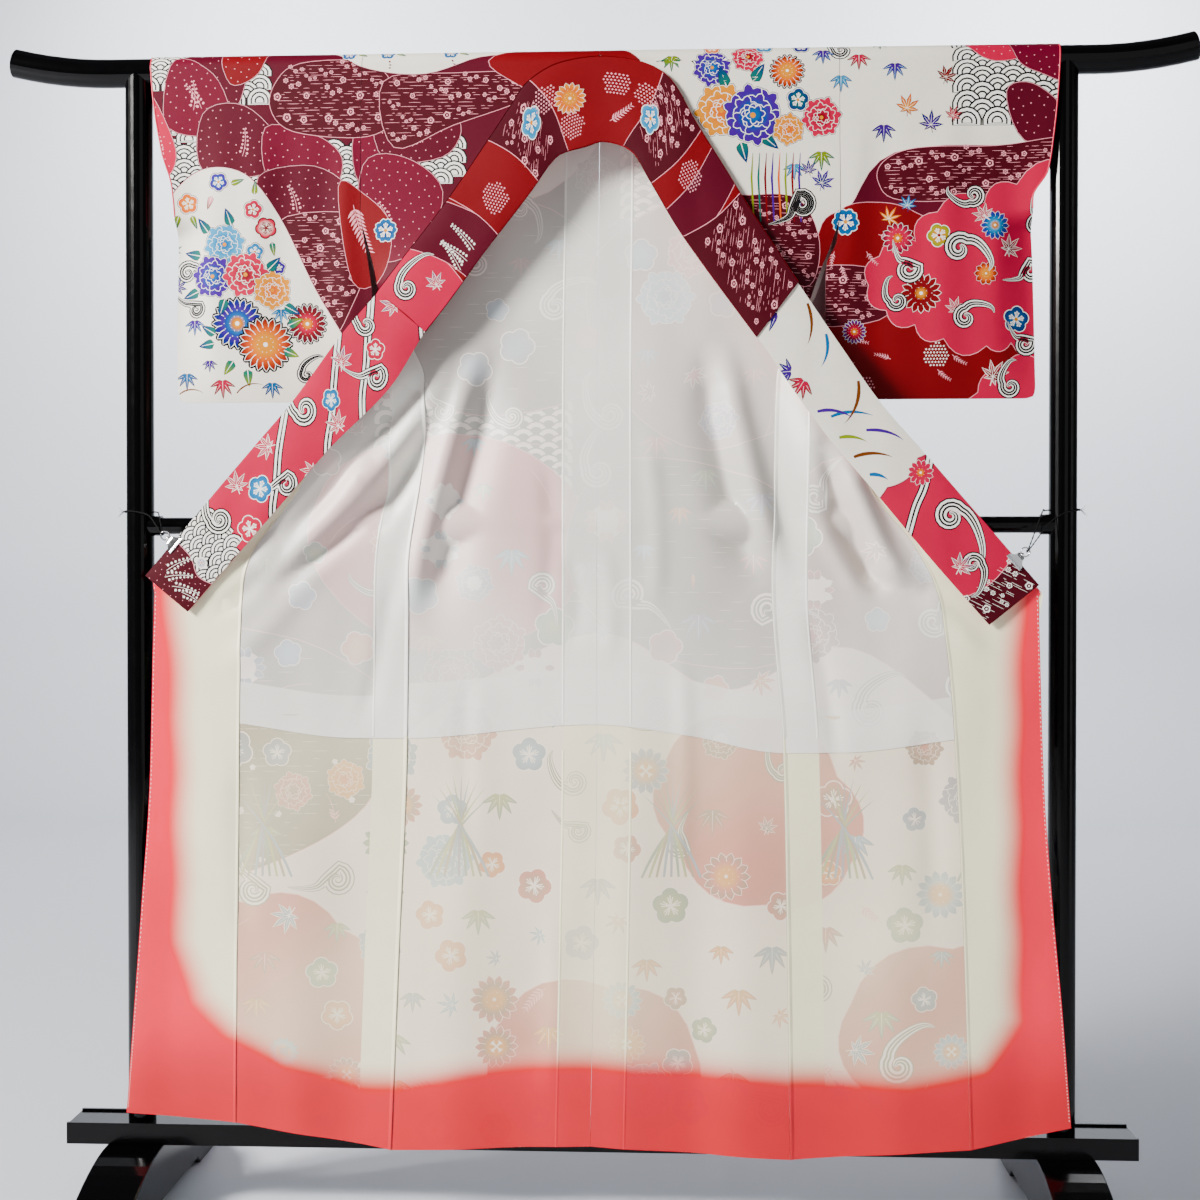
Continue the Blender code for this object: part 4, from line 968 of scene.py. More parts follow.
def petals(radius, number, notch=0.0, count=None, share=0.52):
    """A ring of round petals, notched at their tips for cherry blossom."""

    def radius_of(angle):
        away = np.abs((angle * number / (2 * math.pi) + 0.5) % 1.0 - 0.5) * 2 * math.pi / number
        reach = radius * share
        lobe = radius - reach
        edge = reach * np.cos(away) + np.sqrt(np.maximum(lobe**2 - (reach * np.sin(away)) ** 2, 0.0))
        return edge - notch * radius * np.exp(-((away / 0.13) ** 2))

    return polar(radius_of, count or number * 6)


def grown(outline, amount):
    """An outline moved outwards along its normals."""
    outline = np.asarray(outline, float)
    before = outline - np.roll(outline, 1, axis=0)
    after = np.roll(outline, -1, axis=0) - outline
    direction = before / np.maximum(np.linalg.norm(before, axis=1), 1e-9)[:, None]
    direction += after / np.maximum(np.linalg.norm(after, axis=1), 1e-9)[:, None]
    direction = unit_rows(direction, 1e-9)
    x, y = outline[:, 0], outline[:, 1]
    area = np.sum(x * np.roll(y, -1) - np.roll(x, -1) * y)
    sign = 1.0 if area > 0 else -1.0
    return outline + np.stack([direction[:, 1], -direction[:, 0]], axis=1) * amount * sign


def smooth_path(points, steps, closed=False):
    """A smooth curve through points."""
    points = np.asarray(points, float)
    count = len(points)
    spans = count if closed else count - 1
    path = []
    for index in range(spans):
        if closed:
            p0, p1, p2, p3 = (points[(index + shift) % count] for shift in (-1, 0, 1, 2))
        else:
            p1, p2 = points[index], points[index + 1]
            p0 = points[index - 1] if index else 2 * p1 - p2
            p3 = points[index + 2] if index + 2 < count else 2 * p2 - p1
        for step in range(steps):
            t = step / steps
            linear_part = 2 * p1 + (p2 - p0) * t
            square_part = (2 * p0 - 5 * p1 + 4 * p2 - p3) * t * t
            cube_part = (3 * p1 - p0 - 3 * p2 + p3) * t**3
            path.append(0.5 * (linear_part + square_part + cube_part))
    if not closed:
        path.append(points[-1])
    return np.array(path)


def ribbon(path, width, start=1.0, end=1.0, offset=0.0, swell=None):
    """A strip along a path, its end widths as shares of the middle's, or all of them by swell."""
    path = np.asarray(path, float)
    step = np.gradient(path, axis=0)
    step = unit_rows(step, 1e-9)
    normal = np.stack([-step[:, 1], step[:, 0]], axis=1)
    t = np.linspace(0.0, 1.0, len(path))
    if swell is None:
        share = np.minimum(1.0, np.minimum(start + (1 - start) * 4 * t, end + (1 - end) * 4 * (1 - t)))
    else:
        share = swell(t)
    half = (width * share / 2)[:, None]
    middle = path + normal * (offset * share)[:, None]
    return np.concatenate([middle + normal * half, (middle - normal * half)[::-1]])


def field(art, outline, colour, white=0.0009, black=0.0):
    """A dyed area with a resist line round it, and a dark one round that where asked."""
    if black:
        art.add(grown(outline, white + black), BLACK)
    if white:
        art.add(grown(outline, white), PINK_PALE)
    art.add(outline, colour)


def plum(art, centre, radius, colour, outer, line=WHITE, turn=0.3, heart=GOLD, notch=0.0, rim=None):
    """A five-petal blossom with stamens."""
    outline = turned(petals(radius, 5, notch), turn, centre)
    edge = max(0.0007, radius * 0.07)
    if rim is not None:
        art.add(grown(outline, edge + RIM), rim)
    art.add(grown(outline, edge), line)
    art.add(outline, colour, centre, radius, outer)
    thread = radius * 0.05
    for index in range(5):
        angle = turn + 2 * math.pi * index / 5
        for spread, reach in ((-0.28, 0.5), (0.0, 0.58), (0.28, 0.5)):
            tip = towards(angle + spread) * radius * reach
            art.add(ribbon([centre, centre + tip], thread * 1.3), line)
            if radius > 0.009:
                art.add(disc(centre + tip, thread * 1.5, 6), line)
    art.add(disc(centre, radius * 0.15, 8), heart)


def small_plum(art, centre, radius, ground, line=PINK_PALE, turn=0.0):
    """A little open blossom drawn in resist line."""
    art.add(turned(petals(radius, 5, count=20), turn, centre), line)
    art.add(turned(petals(radius * 0.62, 5, count=15), turn, centre), ground)
    art.add(disc(centre, radius * 0.26, 6), line)


def daisy(art, centre, radius, line=PINK_PALE):
    """A little round flower of dots."""
    for index in range(6):
        angle = index * math.pi / 3 + radius * 900
        place = np.asarray(centre) + towards(angle) * radius * 0.66
        art.add(disc(place, radius * 0.3, 6), line)
    art.add(disc(centre, radius * 0.22, 5), line)


def leaf_shape(length, width, tip=0.5, count=7):
    """A pointed leaf from the origin along +X."""
    t = np.linspace(0.0, 1.0, count)
    half = width / 2 * np.sin(np.pi * t**tip) ** 0.9
    upper = np.stack([t * length, half], axis=1)
    lower = np.stack([t * length, -half], axis=1)[1:-1][::-1]
    return np.concatenate([upper, lower])


def leaf(art, base, angle, length, width, colour, outer, line=BLACK, rib=WHITE, edge=0.0005):
    shape = turned(leaf_shape(length, width), angle, base)
    if line is not None:
        art.add(grown(shape, edge), line)
    art.add(shape, colour, base, length, outer)
    if rib is not None:
        tip = np.asarray(base) + towards(angle) * length * 0.82
        art.add(ribbon([base, tip], max(0.0005, width * 0.1), 1.0, 0.3), rib)


def bamboo(art, centre, size, colour, outer, angle=-math.pi / 2, leaves=5, line=BLACK):
    """A fan of bamboo leaves."""
    middle = (leaves - 1) / 2
    for index in sorted(range(leaves), key=lambda number: -abs(number - middle)):
        spread = (index - middle) / max(middle, 1)
        reach = size * (1.0 - 0.22 * abs(spread))
        leaf(art, centre, angle + spread * 1.15, reach, size * 0.24, colour, outer, line)


def maple(art, centre, size, colour, outer, angle=0.0, line=WHITE, veins=WHITE):
    """A seven-pointed maple leaf with its stalk."""
    tips = [(-130, 0.5), (-84, 0.8), (-42, 0.95), (0, 1.0), (42, 0.95), (84, 0.8), (130, 0.5)]
    shape = []
    for number, (degrees, reach) in enumerate(tips):
        a = math.radians(degrees)
        for turn_by, share in ((-0.2, 0.56), (0.0, 1.0), (0.2, 0.56)):
            radius = reach * share
            shape.append((math.cos(a + turn_by) * radius, math.sin(a + turn_by) * radius))
        if number < len(tips) - 1:
            between = math.radians((degrees + tips[number + 1][0]) / 2)
            shape.append((math.cos(between) * 0.25, math.sin(between) * 0.25))
    shape.append((-0.12, 0.0))
    shape = turned(np.array(shape) * size, angle, centre)
    art.add(grown(shape, max(0.0005, size * 0.05)), line)
    art.add(shape, colour, centre, size, outer)
    if veins is not None:
        for degrees, reach in tips:
            a = math.radians(degrees) + angle
            tip = np.asarray(centre) + towards(a) * reach * size * 0.74
            art.add(ribbon([centre, tip], max(0.0004, size * 0.035), 1.0, 0.4), veins)
    stalk = np.asarray(centre) - towards(angle + 0.3) * size * 0.55
    art.add(ribbon([centre, stalk], max(0.0005, size * 0.05)), line)


def chrysanthemum(art, centre, radius, colour, middle, outer, number=18, line=WHITE, rim=None):
    """A full round flower of narrow petals in two or three rings."""
    centre = np.asarray(centre, float)
    if rim is not None:
        lobes = petals(radius * 1.04 + RIM, number, count=number * 4, share=0.86)
        art.add(turned(lobes, 0.0, centre), rim)
    for ring, (reach, inner, shades) in enumerate(
        ((1.0, 0.36, (middle, outer)), (0.68, 0.2, (colour, middle)), (0.38, 0.05, (GOLD, colour)))
    ):
        count = max(8, int(number * (1.0, 0.8, 0.55)[ring]))
        art.add(disc(centre, radius * reach * 0.8, 16), line)
        for index in range(count):
            angle = 2 * math.pi * (index + 0.5 * ring) / count
            width = 2 * math.pi * radius * reach * 0.8 / count * 0.94
            base = centre + towards(angle) * radius * inner
            shape = turned(leaf_shape(radius * (reach - inner), width, 1.15, 6), angle, base)
            if ring == 0:
                art.add(grown(shape, max(0.0003, radius * 0.025)), line)
            art.add(shape, shades[0], base, radius * (reach - inner), shades[1])
    art.add(disc(centre, radius * 0.09, 8), line)


def peony(art, centre, radius, colour, outer, line=WHITE, turn=0.0, rim=None):
    """A full flower of broad scalloped petals, from the back ones to the front ones."""
    centre = np.asarray(centre, float)
    edge = max(0.0006, radius * 0.028)
    rings = ((0.56, 0.5, 6), (0.34, 0.42, 5), (0.1, 0.32, 3))
    for passing in ("rim", "petals"):
        if passing == "rim" and rim is None:
            continue
        for ring, (away, size, count) in enumerate(rings[:1] if passing == "rim" else rings):
            for index in range(count):
                angle = turn + 2 * math.pi * (index + 0.37 * ring) / count
                place = centre + towards(angle) * radius * away
                lobe = turned(petals(radius * size, 6, count=24, share=0.76), angle, place)
                if passing == "rim":
                    art.add(grown(lobe, edge + RIM), rim)
                else:
                    art.add(grown(lobe, edge), line)
                    art.add(lobe, outer, centre + (place - centre) * 0.3, radius * size * 1.35, colour)
    art.add(disc(centre, radius * 0.1, 8), GOLD)


def stem(base, bend, length):
    """A path from a base, with its direction at each step."""
    steps = np.stack([np.cos(bend), np.sin(bend)], axis=1) * length / len(bend)
    return np.array(base) + np.cumsum(steps, axis=0)


def spray(art, base, angle, length, colour, curl=0.6, leaves=7):
    """A curved stem with slim leaves on both sides."""
    t = np.linspace(0.0, 1.0, leaves + 2)
    bend = angle + curl * t
    path = stem(base, bend, length)
    art.add(ribbon(path, 0.0009, 1.0, 0.4), colour)
    for index in range(1, len(path)):
        size = length * 0.2 * (1.15 - 0.6 * index / len(path))
        for side in (-1, 1):
            shape = leaf_shape(size, size * 0.26, 0.7, 4)
            art.add(turned(shape, bend[index] + side * 0.8, path[index]), colour)


def raceme(art, base, angle, length, colour, curl=0.5):
    """A drooping cluster of small round blossoms, wide at its stem and narrow at its tip."""
    count = max(5, int(length / 0.0052))
    t = np.linspace(0.0, 1.0, count)
    bend = angle + curl * t
    path = stem(base, bend, length)
    art.add(ribbon(path, 0.0007), colour)
    for index in range(1, count):
        share = 1.0 - t[index]
        across = np.array([-math.sin(bend[index]), math.cos(bend[index])])
        for side in (-1, 1):
            place = path[index] + across * side * (0.0016 + 0.004 * share)
            art.add(disc(place, 0.0013 + 0.0007 * share, 6), colour)


def water(art, path, width, lines, swell=None):
    """Running water: a white strip with black edges and black lines along it."""
    edge = 0.0019
    lines = max(1, lines - 1)
    art.add(ribbon(path, width + edge * 2, swell=swell), BLACK)
    art.add(ribbon(path, width, swell=swell), WHITE)
    for index in range(lines):
        share = (index + 1) / (lines + 1) - 0.5
        thin = max(0.0026, width * 0.55 / (lines + 1))
        art.add(ribbon(path, thin, 0.4, 0.4, width * share, swell), BLACK)


def swelling(t):
    return 0.1 + 0.9 * np.sin(np.pi * np.clip(t, 0.0, 1.0) ** 0.8) ** 0.8


def flow(art, points, width=0.0095, lines=2):
    """A long even run of water through points."""
    water(art, smooth_path(points, 6), width, lines)


def swirl(art, start, angle, size, turns=1.2, tail=1.0, hand=1, lines=3, width=None):
    """Running water: a curl that opens into a waving tail, in white with black lines."""
    path = []
    count = int(16 * turns)
    for index in range(count):
        t = index / count
        a = hand * (2 * math.pi * turns * (1 - t))
        radius = size * (0.1 + 0.4 * t)
        path.append((radius * math.cos(a), radius * math.sin(a)))
    end = np.array(path[-1])
    for index in range(1, 15):
        t = index / 14
        x = size * (0.04 + 0.55 * math.sin(2.6 * t)) * hand * 0.9
        y = hand * -size * 1.9 * tail * t
        path.append((end[0] + x, end[1] + y + size * 0.12 * math.sin(7 * t)))
    path = turned(np.array(path), angle, start)
    water(art, path, width or size * 0.4, lines, swelling)


def waves(art, low, high, radius, dark=BLACK, pale=WHITE, rings=3):
    """Fish-scale waves over a box, for other shapes to cover at their edges."""
    thin = radius * 0.115
    row = 0
    y = high[1]
    half = np.linspace(-0.25, math.pi + 0.25, 9)
    while y > low[1] - radius:
        x = low[0] + (radius if row % 2 else 0.0)
        while x < high[0] + radius:
            for ring in range(rings):
                size = radius * (1.02 - 0.94 * ring / rings)
                for reach, colour in ((size, dark), (size - thin, pale)):
                    arc = np.stack([x + reach * np.cos(half), y + reach * np.sin(half)], axis=1)
                    art.add(arc, colour)
            x += radius * 2
        y -= radius * 0.52
        row += 1


def scattered(rng, outline, gap, tries=4000, margin=None):
    """Places inside an outline, each at least a gap from the others."""
    low, high = outline.min(axis=0), outline.max(axis=0)
    candidates = low + (high - low) * rng.random((tries, 2))
    candidates = candidates[
        inside(candidates, grown(outline, -(margin if margin is not None else gap * 0.4)))
    ]
    chosen_points = np.zeros((0, 2))
    for point in candidates:
        if len(chosen_points) == 0 or np.linalg.norm(chosen_points - point, axis=1).min() > gap:
            chosen_points = np.vstack([chosen_points, point])
    return chosen_points


def kanoko(art, centre, size, colour=PINK_PALE, petals_of=5, turn=0.0, pitch=0.0044):
    """A blossom shape filled with tie-dyed dots."""
    outline = turned(petals(size, petals_of, 0.12, count=30), turn, centre)
    low, high = outline.min(axis=0), outline.max(axis=0)
    xs = np.arange(low[0], high[0], pitch)
    ys = np.arange(low[1], high[1], pitch)
    for row, y in enumerate(ys):
        for x in xs + (pitch / 2 if row % 2 else 0.0):
            if inside(np.array([[x, y]]), outline)[0]:
                d = pitch * 0.34
                art.add([(x - d, y), (x, y - d), (x + d, y), (x, y + d)], colour)


def streams(art, rng, outline, colour=PINK_PALE, gap=0.0075, blossoms=0.022, ground=MAROON, angle=0.0):
    """A dark field with short broken lines of water and drifting blossoms."""
    middle = outline.mean(axis=0)
    flat = turned(outline - middle, -angle)
    low, high = flat.min(axis=0), flat.max(axis=0)
    y = low[1]
    while y < high[1]:
        x = low[0] + rng.random() * 0.02
        while x < high[0]:
            length = 0.004 + 0.02 * rng.random() ** 2
            ends = np.array([(x, y), (x + length, y)])
            if inside(ends, grown(flat, -0.002)).all():
                bow = 0.0006 * (rng.random() - 0.5)
                path = np.array([(x, y), (x + length / 2, y + bow), (x + length, y)])
                art.add(turned(ribbon(path, 0.0006, 0.5, 0.5), angle, middle), colour)
            x += length + 0.003 + 0.022 * rng.random() ** 2
        y += gap * (0.35 + 0.5 * rng.random())
    for place in scattered(rng, outline, blossoms):
        radius = 0.0038 + 0.0022 * rng.random()
        if rng.random() < 0.55:
            small_plum(art, place, radius, ground, colour, rng.random() * 2)
        else:
            for shift in ((0, 0), (1.6, 0.5), (-1.2, 1.3)):
                daisy(art, place + np.array(shift) * radius * 1.15, radius * 0.75, colour)


def specks(art, rng, outline, gap, size, colour=PINK_PALE):
    for place in scattered(rng, outline, gap):
        art.add(disc(place, size, 5), colour)


def blob(points, steps=5):
    return smooth_path(points, steps, closed=True)


def cloud(points, bump=0.35, steps=6):
    """A closed shape whose sides are round scallops."""
    points = np.asarray(points, float)
    outline = []
    for index, start in enumerate(points):
        end = points[(index + 1) % len(points)]
        step = end - start
        normal = np.array([step[1], -step[0]])
        for part in range(steps):
            t = part / steps
            outline.append(start + step * t + normal * bump * math.sin(math.pi * t) ** 0.8)
    return np.array(outline)


def grass(art, base, angle, length, width, colour, curl=0.8):
    t = np.linspace(0.0, 1.0, 9)
    bend = angle + curl * t
    path = stem(base, bend, length)

    def blade(t):
        return np.minimum(1.0, 0.75 + t) * np.clip(1.05 - t**2.2, 0.03, 1.0)

    art.add(ribbon(path, width, swell=blade), colour)


def front_art():
    """The pattern of the sleeves' and fronts' outer side as seen from the front."""
    art = Art()
    rng = np.random.default_rng(7)
    art.add(mm(-700, -560, 700, -560, 700, 20, -700, 20), WINE)
    front_left_fields(art, rng)
    front_right_fields(art, rng)
    art.drop_hidden()
    return art


def front_left_fields(art, rng):
    for low, high in (
        ((-0.64, -0.05), (-0.59, -0.005)), ((-0.535, -0.07), (-0.48, -0.035)),
        ((-0.645, -0.2), (-0.585, -0.15)), ((-0.52, -0.205), (-0.462, -0.16)),
        ((-0.372, -0.2), (-0.33, -0.155)), ((-0.275, -0.19), (-0.215, -0.15)),
        ((-0.6, -0.12), (-0.56, -0.085)),
    ):
        waves(art, low, high, 0.019)
    hills = [
        (mm(-560, 6, -500, -20, -510, -90, -560, -110, -610, -60), WINE),
        (mm(-600, -20, -545, -45, -520, -110, -560, -130, -615, -110), WINE_LIGHT),
        (mm(-560, -100, -500, -90, -450, -140, -470, -185, -560, -180), WINE),
        (mm(-660, -60, -630, -80, -600, -150, -615, -190, -660, -190), PINK),
        (mm(-530, -2, -470, 4, -480, -45, -520, -60), RED),
        (mm(-470, -120, -400, -130, -360, -165, -380, -215, -460, -205), WINE_LIGHT),
        (mm(-480, -190, -400, -175, -345, -215, -360, -262, -455, -262), WINE),
        (mm(-340, -120, -290, -118, -250, -155, -270, -205, -335, -200), WINE_LIGHT),
        (mm(-310, -90, -240, -85, -190, -120, -215, -165, -300, -165), WINE),
        (mm(-330, -175, -270, -165, -215, -215, -250, -300, -330, -300), WINE_LIGHT),
    ]
    for points, colour in hills:
        outline = blob(points)
        field(art, outline, colour, 0.0007, 0.0007)
        specks(art, rng, outline, 0.0108, 0.001)
    for x, y, angle in (
        (-0.575, -0.1, 1.3), (-0.56, -0.098, 1.9), (-0.505, -0.165, 1.2), (-0.425, -0.245, 1.6),
        (-0.26, -0.155, 1.3), (-0.245, -0.15, 1.9), (-0.29, -0.27, 1.7), (-0.625, -0.165, 1.4),
    ):
        raceme(art, (x, y), angle, 0.045, PINK_PALE, 0.5)
    for points in (
        mm(-455, -60, -420, -30, -330, -28, -290, -60, -290, -115, -335, -135, -430, -125, -462, -95),
        mm(-300, -60, -200, -48, -80, -50, -100, -85, -200, -120, -285, -150),
        mm(-455, -255, -340, -245, -322, -300, -345, -370, -380, -420, -420, -360),
    ):
        outline = blob(points)
        field(art, outline, MAROON, 0.0008)
        streams(art, rng, outline)
    top = blob(mm(-400, 20, -90, 20, -75, -12, -160, -22, -240, -48, -320, -40, -370, -10))
    field(art, top, IVORY, 0.0008, 0.0008)
    red = blob(mm(-150, -30, -60, 4, 60, 4, 120, -20, 110, -110, -10, -120, -90, -75))
    field(art, red, RED, 0.0008)
    for x in (-0.35, -0.295, -0.205):
        plum(art, (x, -0.014), 0.011, NAVY if x > -0.34 else VIOLET, BLUE)
        leaf(art, (x + 0.013, -0.01), -0.6, 0.016, 0.007, OLIVE, GREEN)
        for drop in range(3):
            art.add(disc((x + 0.004, -0.029 - 0.005 * drop), 0.0016, 8), BLACK)
            art.add(disc((x + 0.004, -0.029 - 0.005 * drop), 0.0011, 8), RED)
    red_wedge = blob(mm(-365, -205, -330, -215, -290, -260, -300, -330, -345, -340))
    field(art, red_wedge, RED, 0.0007)
    spray(art, (-0.345, -0.225), -1.4, 0.075, PINK_PALE, 0.3, 10)
    plum(art, (-0.297, -0.268), 0.017, NAVY, BLUE, notch=0.16)
    dome = blob(mm(-606, -215, -560, -178, -500, -186, -452, -245, -400, -350, -345, -450, -340, -540,
        -640, -540, -650, -300), 6)
    field(art, dome, IVORY, 0.0008, 0.0009)
    dome_flowers(art)


def dome_flowers(art):
    """The bouquet on the left sleeve's pale ground."""
    draw(art, plum, [
        (-583, -226, 14, GOLD, ORANGE, WHITE, 0.5), (-538, -196, 13, BLUE, VIOLET, WHITE, 1.0),
        (-488, -236, 13, RED, PINK, WHITE, 0.1), (-470, -262, 14, IVORY, PINK, RED, 0.8, RED),
        (-486, -296, 12, BLUE_PALE, BLUE, WHITE, 0.2), (-452, -318, 9, NAVY, VIOLET),
    ], rim=BLACK)
    for x, y, angle, a, b in (
        (-0.596, -0.243, -2.0, OLIVE, GREEN), (-0.578, -0.243, -1.2, OLIVE, GREEN),
        (-0.52, -0.199, 0.3, OLIVE, GREEN), (-0.486, -0.215, 1.5, OLIVE, GREEN),
        (-0.462, -0.282, -1.4, GREEN, OLIVE), (-0.548, -0.216, -1.9, PINK_PALE, BROWN),
    ):
        leaf(art, (x, y), angle, 0.02, 0.008, a, b)
    swirl(art, (-0.588, -0.322), 0.4, 0.026, 1.3, 1.1, 1)
    swirl(art, (-0.575, -0.375), 1.0, 0.022, 1.0, 1.2, -1)
    draw(art, peony, [
        (-530, -285, 29, BLUE_PALE, BLUE, WHITE, 0.2), (-548, -330, 30, VIOLET, BLUE, WHITE, 0.9),
        (-500, -328, 32, PINK, RED, WHITE, 0.1), (-462, -350, 27, GOLD, ORANGE, WHITE, 0.5),
    ], rim=BLACK)
    draw(art, maple, [
        (-610, -290, 15, OLIVE, GREEN, 1.2, BLACK), (-604, -342, 16, VIOLET, NAVY, 0.5, BLACK),
    ])
    draw(art, chrysanthemum, [
        (-513, -397, 36, BLUE, VIOLET, NAVY, 20), (-473, -427, 38, GOLD, ORANGE, RED, 20),
        (-412, -398, 28, PINK, RED, WINE),
    ], rim=BLACK)
    for x, y, angle in (
        (-0.566, -0.3, 2.9), (-0.57, -0.35, 3.5), (-0.52, -0.258, 1.9), (-0.468, -0.322, 0.8),
        (-0.53, -0.362, -1.9), (-0.445, -0.372, -0.5), (-0.553, -0.268, 2.2),
    ):
        leaf(art, (x, y), angle, 0.026, 0.014, GREEN, NAVY)
    for x, y, angle in (
        (-0.545, -0.412, 2.6), (-0.547, -0.425, 3.3), (-0.52, -0.45, -2.2), (-0.5, -0.462, -1.5),
        (-0.44, -0.4, 0.4), (-0.447, -0.435, -0.4),
    ):
        leaf(art, (x, y), angle, 0.024, 0.013, GREEN, NAVY if angle > 2 else OLIVE)
    draw(art, bamboo, [
        (-577, -392, 22, VIOLET, BLUE, -math.pi / 2, 5), (-450, -378, 20, BLUE, BLUE_PALE),
        (-590, -468, 23, BLUE, NAVY), (-555, -450, 16, VIOLET, NAVY), (-537, -478, 26, PINK, RED),
        (-465, -482, 22, BLUE, NAVY),
    ])
    grass(art, (-0.605, -0.5), 0.8, 0.045, 0.0024, BROWN, -1.4)
    grass(art, (-0.52, -0.5), 1.0, 0.05, 0.0024, BROWN, -1.3)
    swirl(art, (-0.415, -0.47), 1.9, 0.02, 1.0, 1.0, 1)


def front_right_fields(art, rng):
    ivory = blob(mm(60, 30, 560, 30, 590, -30, 660, -120, 640, -155, 420, -165, 340, -260, 215, -300, 110,
        -180, 85, -60), 6)
    field(art, ivory, IVORY, 0.0008, 0.0008)
    waves(art, (0.52, -0.11), (0.67, -0.015), 0.021)
    for points, colour in (
        (mm(520, 10, 600, 12, 610, -28, 560, -42, 525, -20), PINK),
        (mm(585, 10, 670, 10, 670, -70, 620, -60, 590, -40), WINE_LIGHT),
        (mm(575, -85, 610, -75, 655, -110, 670, -160, 600, -150), WINE),
    ):
        outline = blob(points)
        field(art, outline, colour, 0.0007, 0.0006)
        specks(art, rng, outline, 0.0108, 0.001)
    red = blob(mm(345, -245, 400, -235, 450, -250, 520, -300, 560, -420, 640, -450, 640, -560, 300, -560,
        310, -300), 6)
    field(art, red, RED, 0.0008)
    band = blob(
        mm(405, -178, 450, -160, 560, -158, 680, -150, 680, -220, 560, -232, 430, -232, 398, -206), 6
    )
    field(art, band, MAROON, 0.0008)
    streams(art, rng, band)
    low_band = blob(mm(300, -330, 400, -328, 420, -360, 400, -398, 300, -402))
    field(art, low_band, MAROON, 0.0008)
    streams(art, rng, low_band)
    neck_band = blob(mm(150, -235, 215, -225, 285, -230, 315, -290, 300, -350, 240, -330))
    field(art, neck_band, MAROON, 0.0008)
    streams(art, rng, neck_band)
    pink = cloud(mm(680, -200, 590, -212, 545, -238, 480, -250, 450, -290, 400, -310, 385, -350, 410, -385,
        450, -405, 490, -425, 550, -435, 585, -430, 640, -440, 700, -430), 0.3)
    field(art, pink, PINK, 0.001)
    low_pink = cloud(mm(700, -455, 620, -452, 575, -470, 540, -500, 530, -560, 700, -560), 0.28)
    field(art, low_pink, PINK, 0.001)
    right_flowers(art)


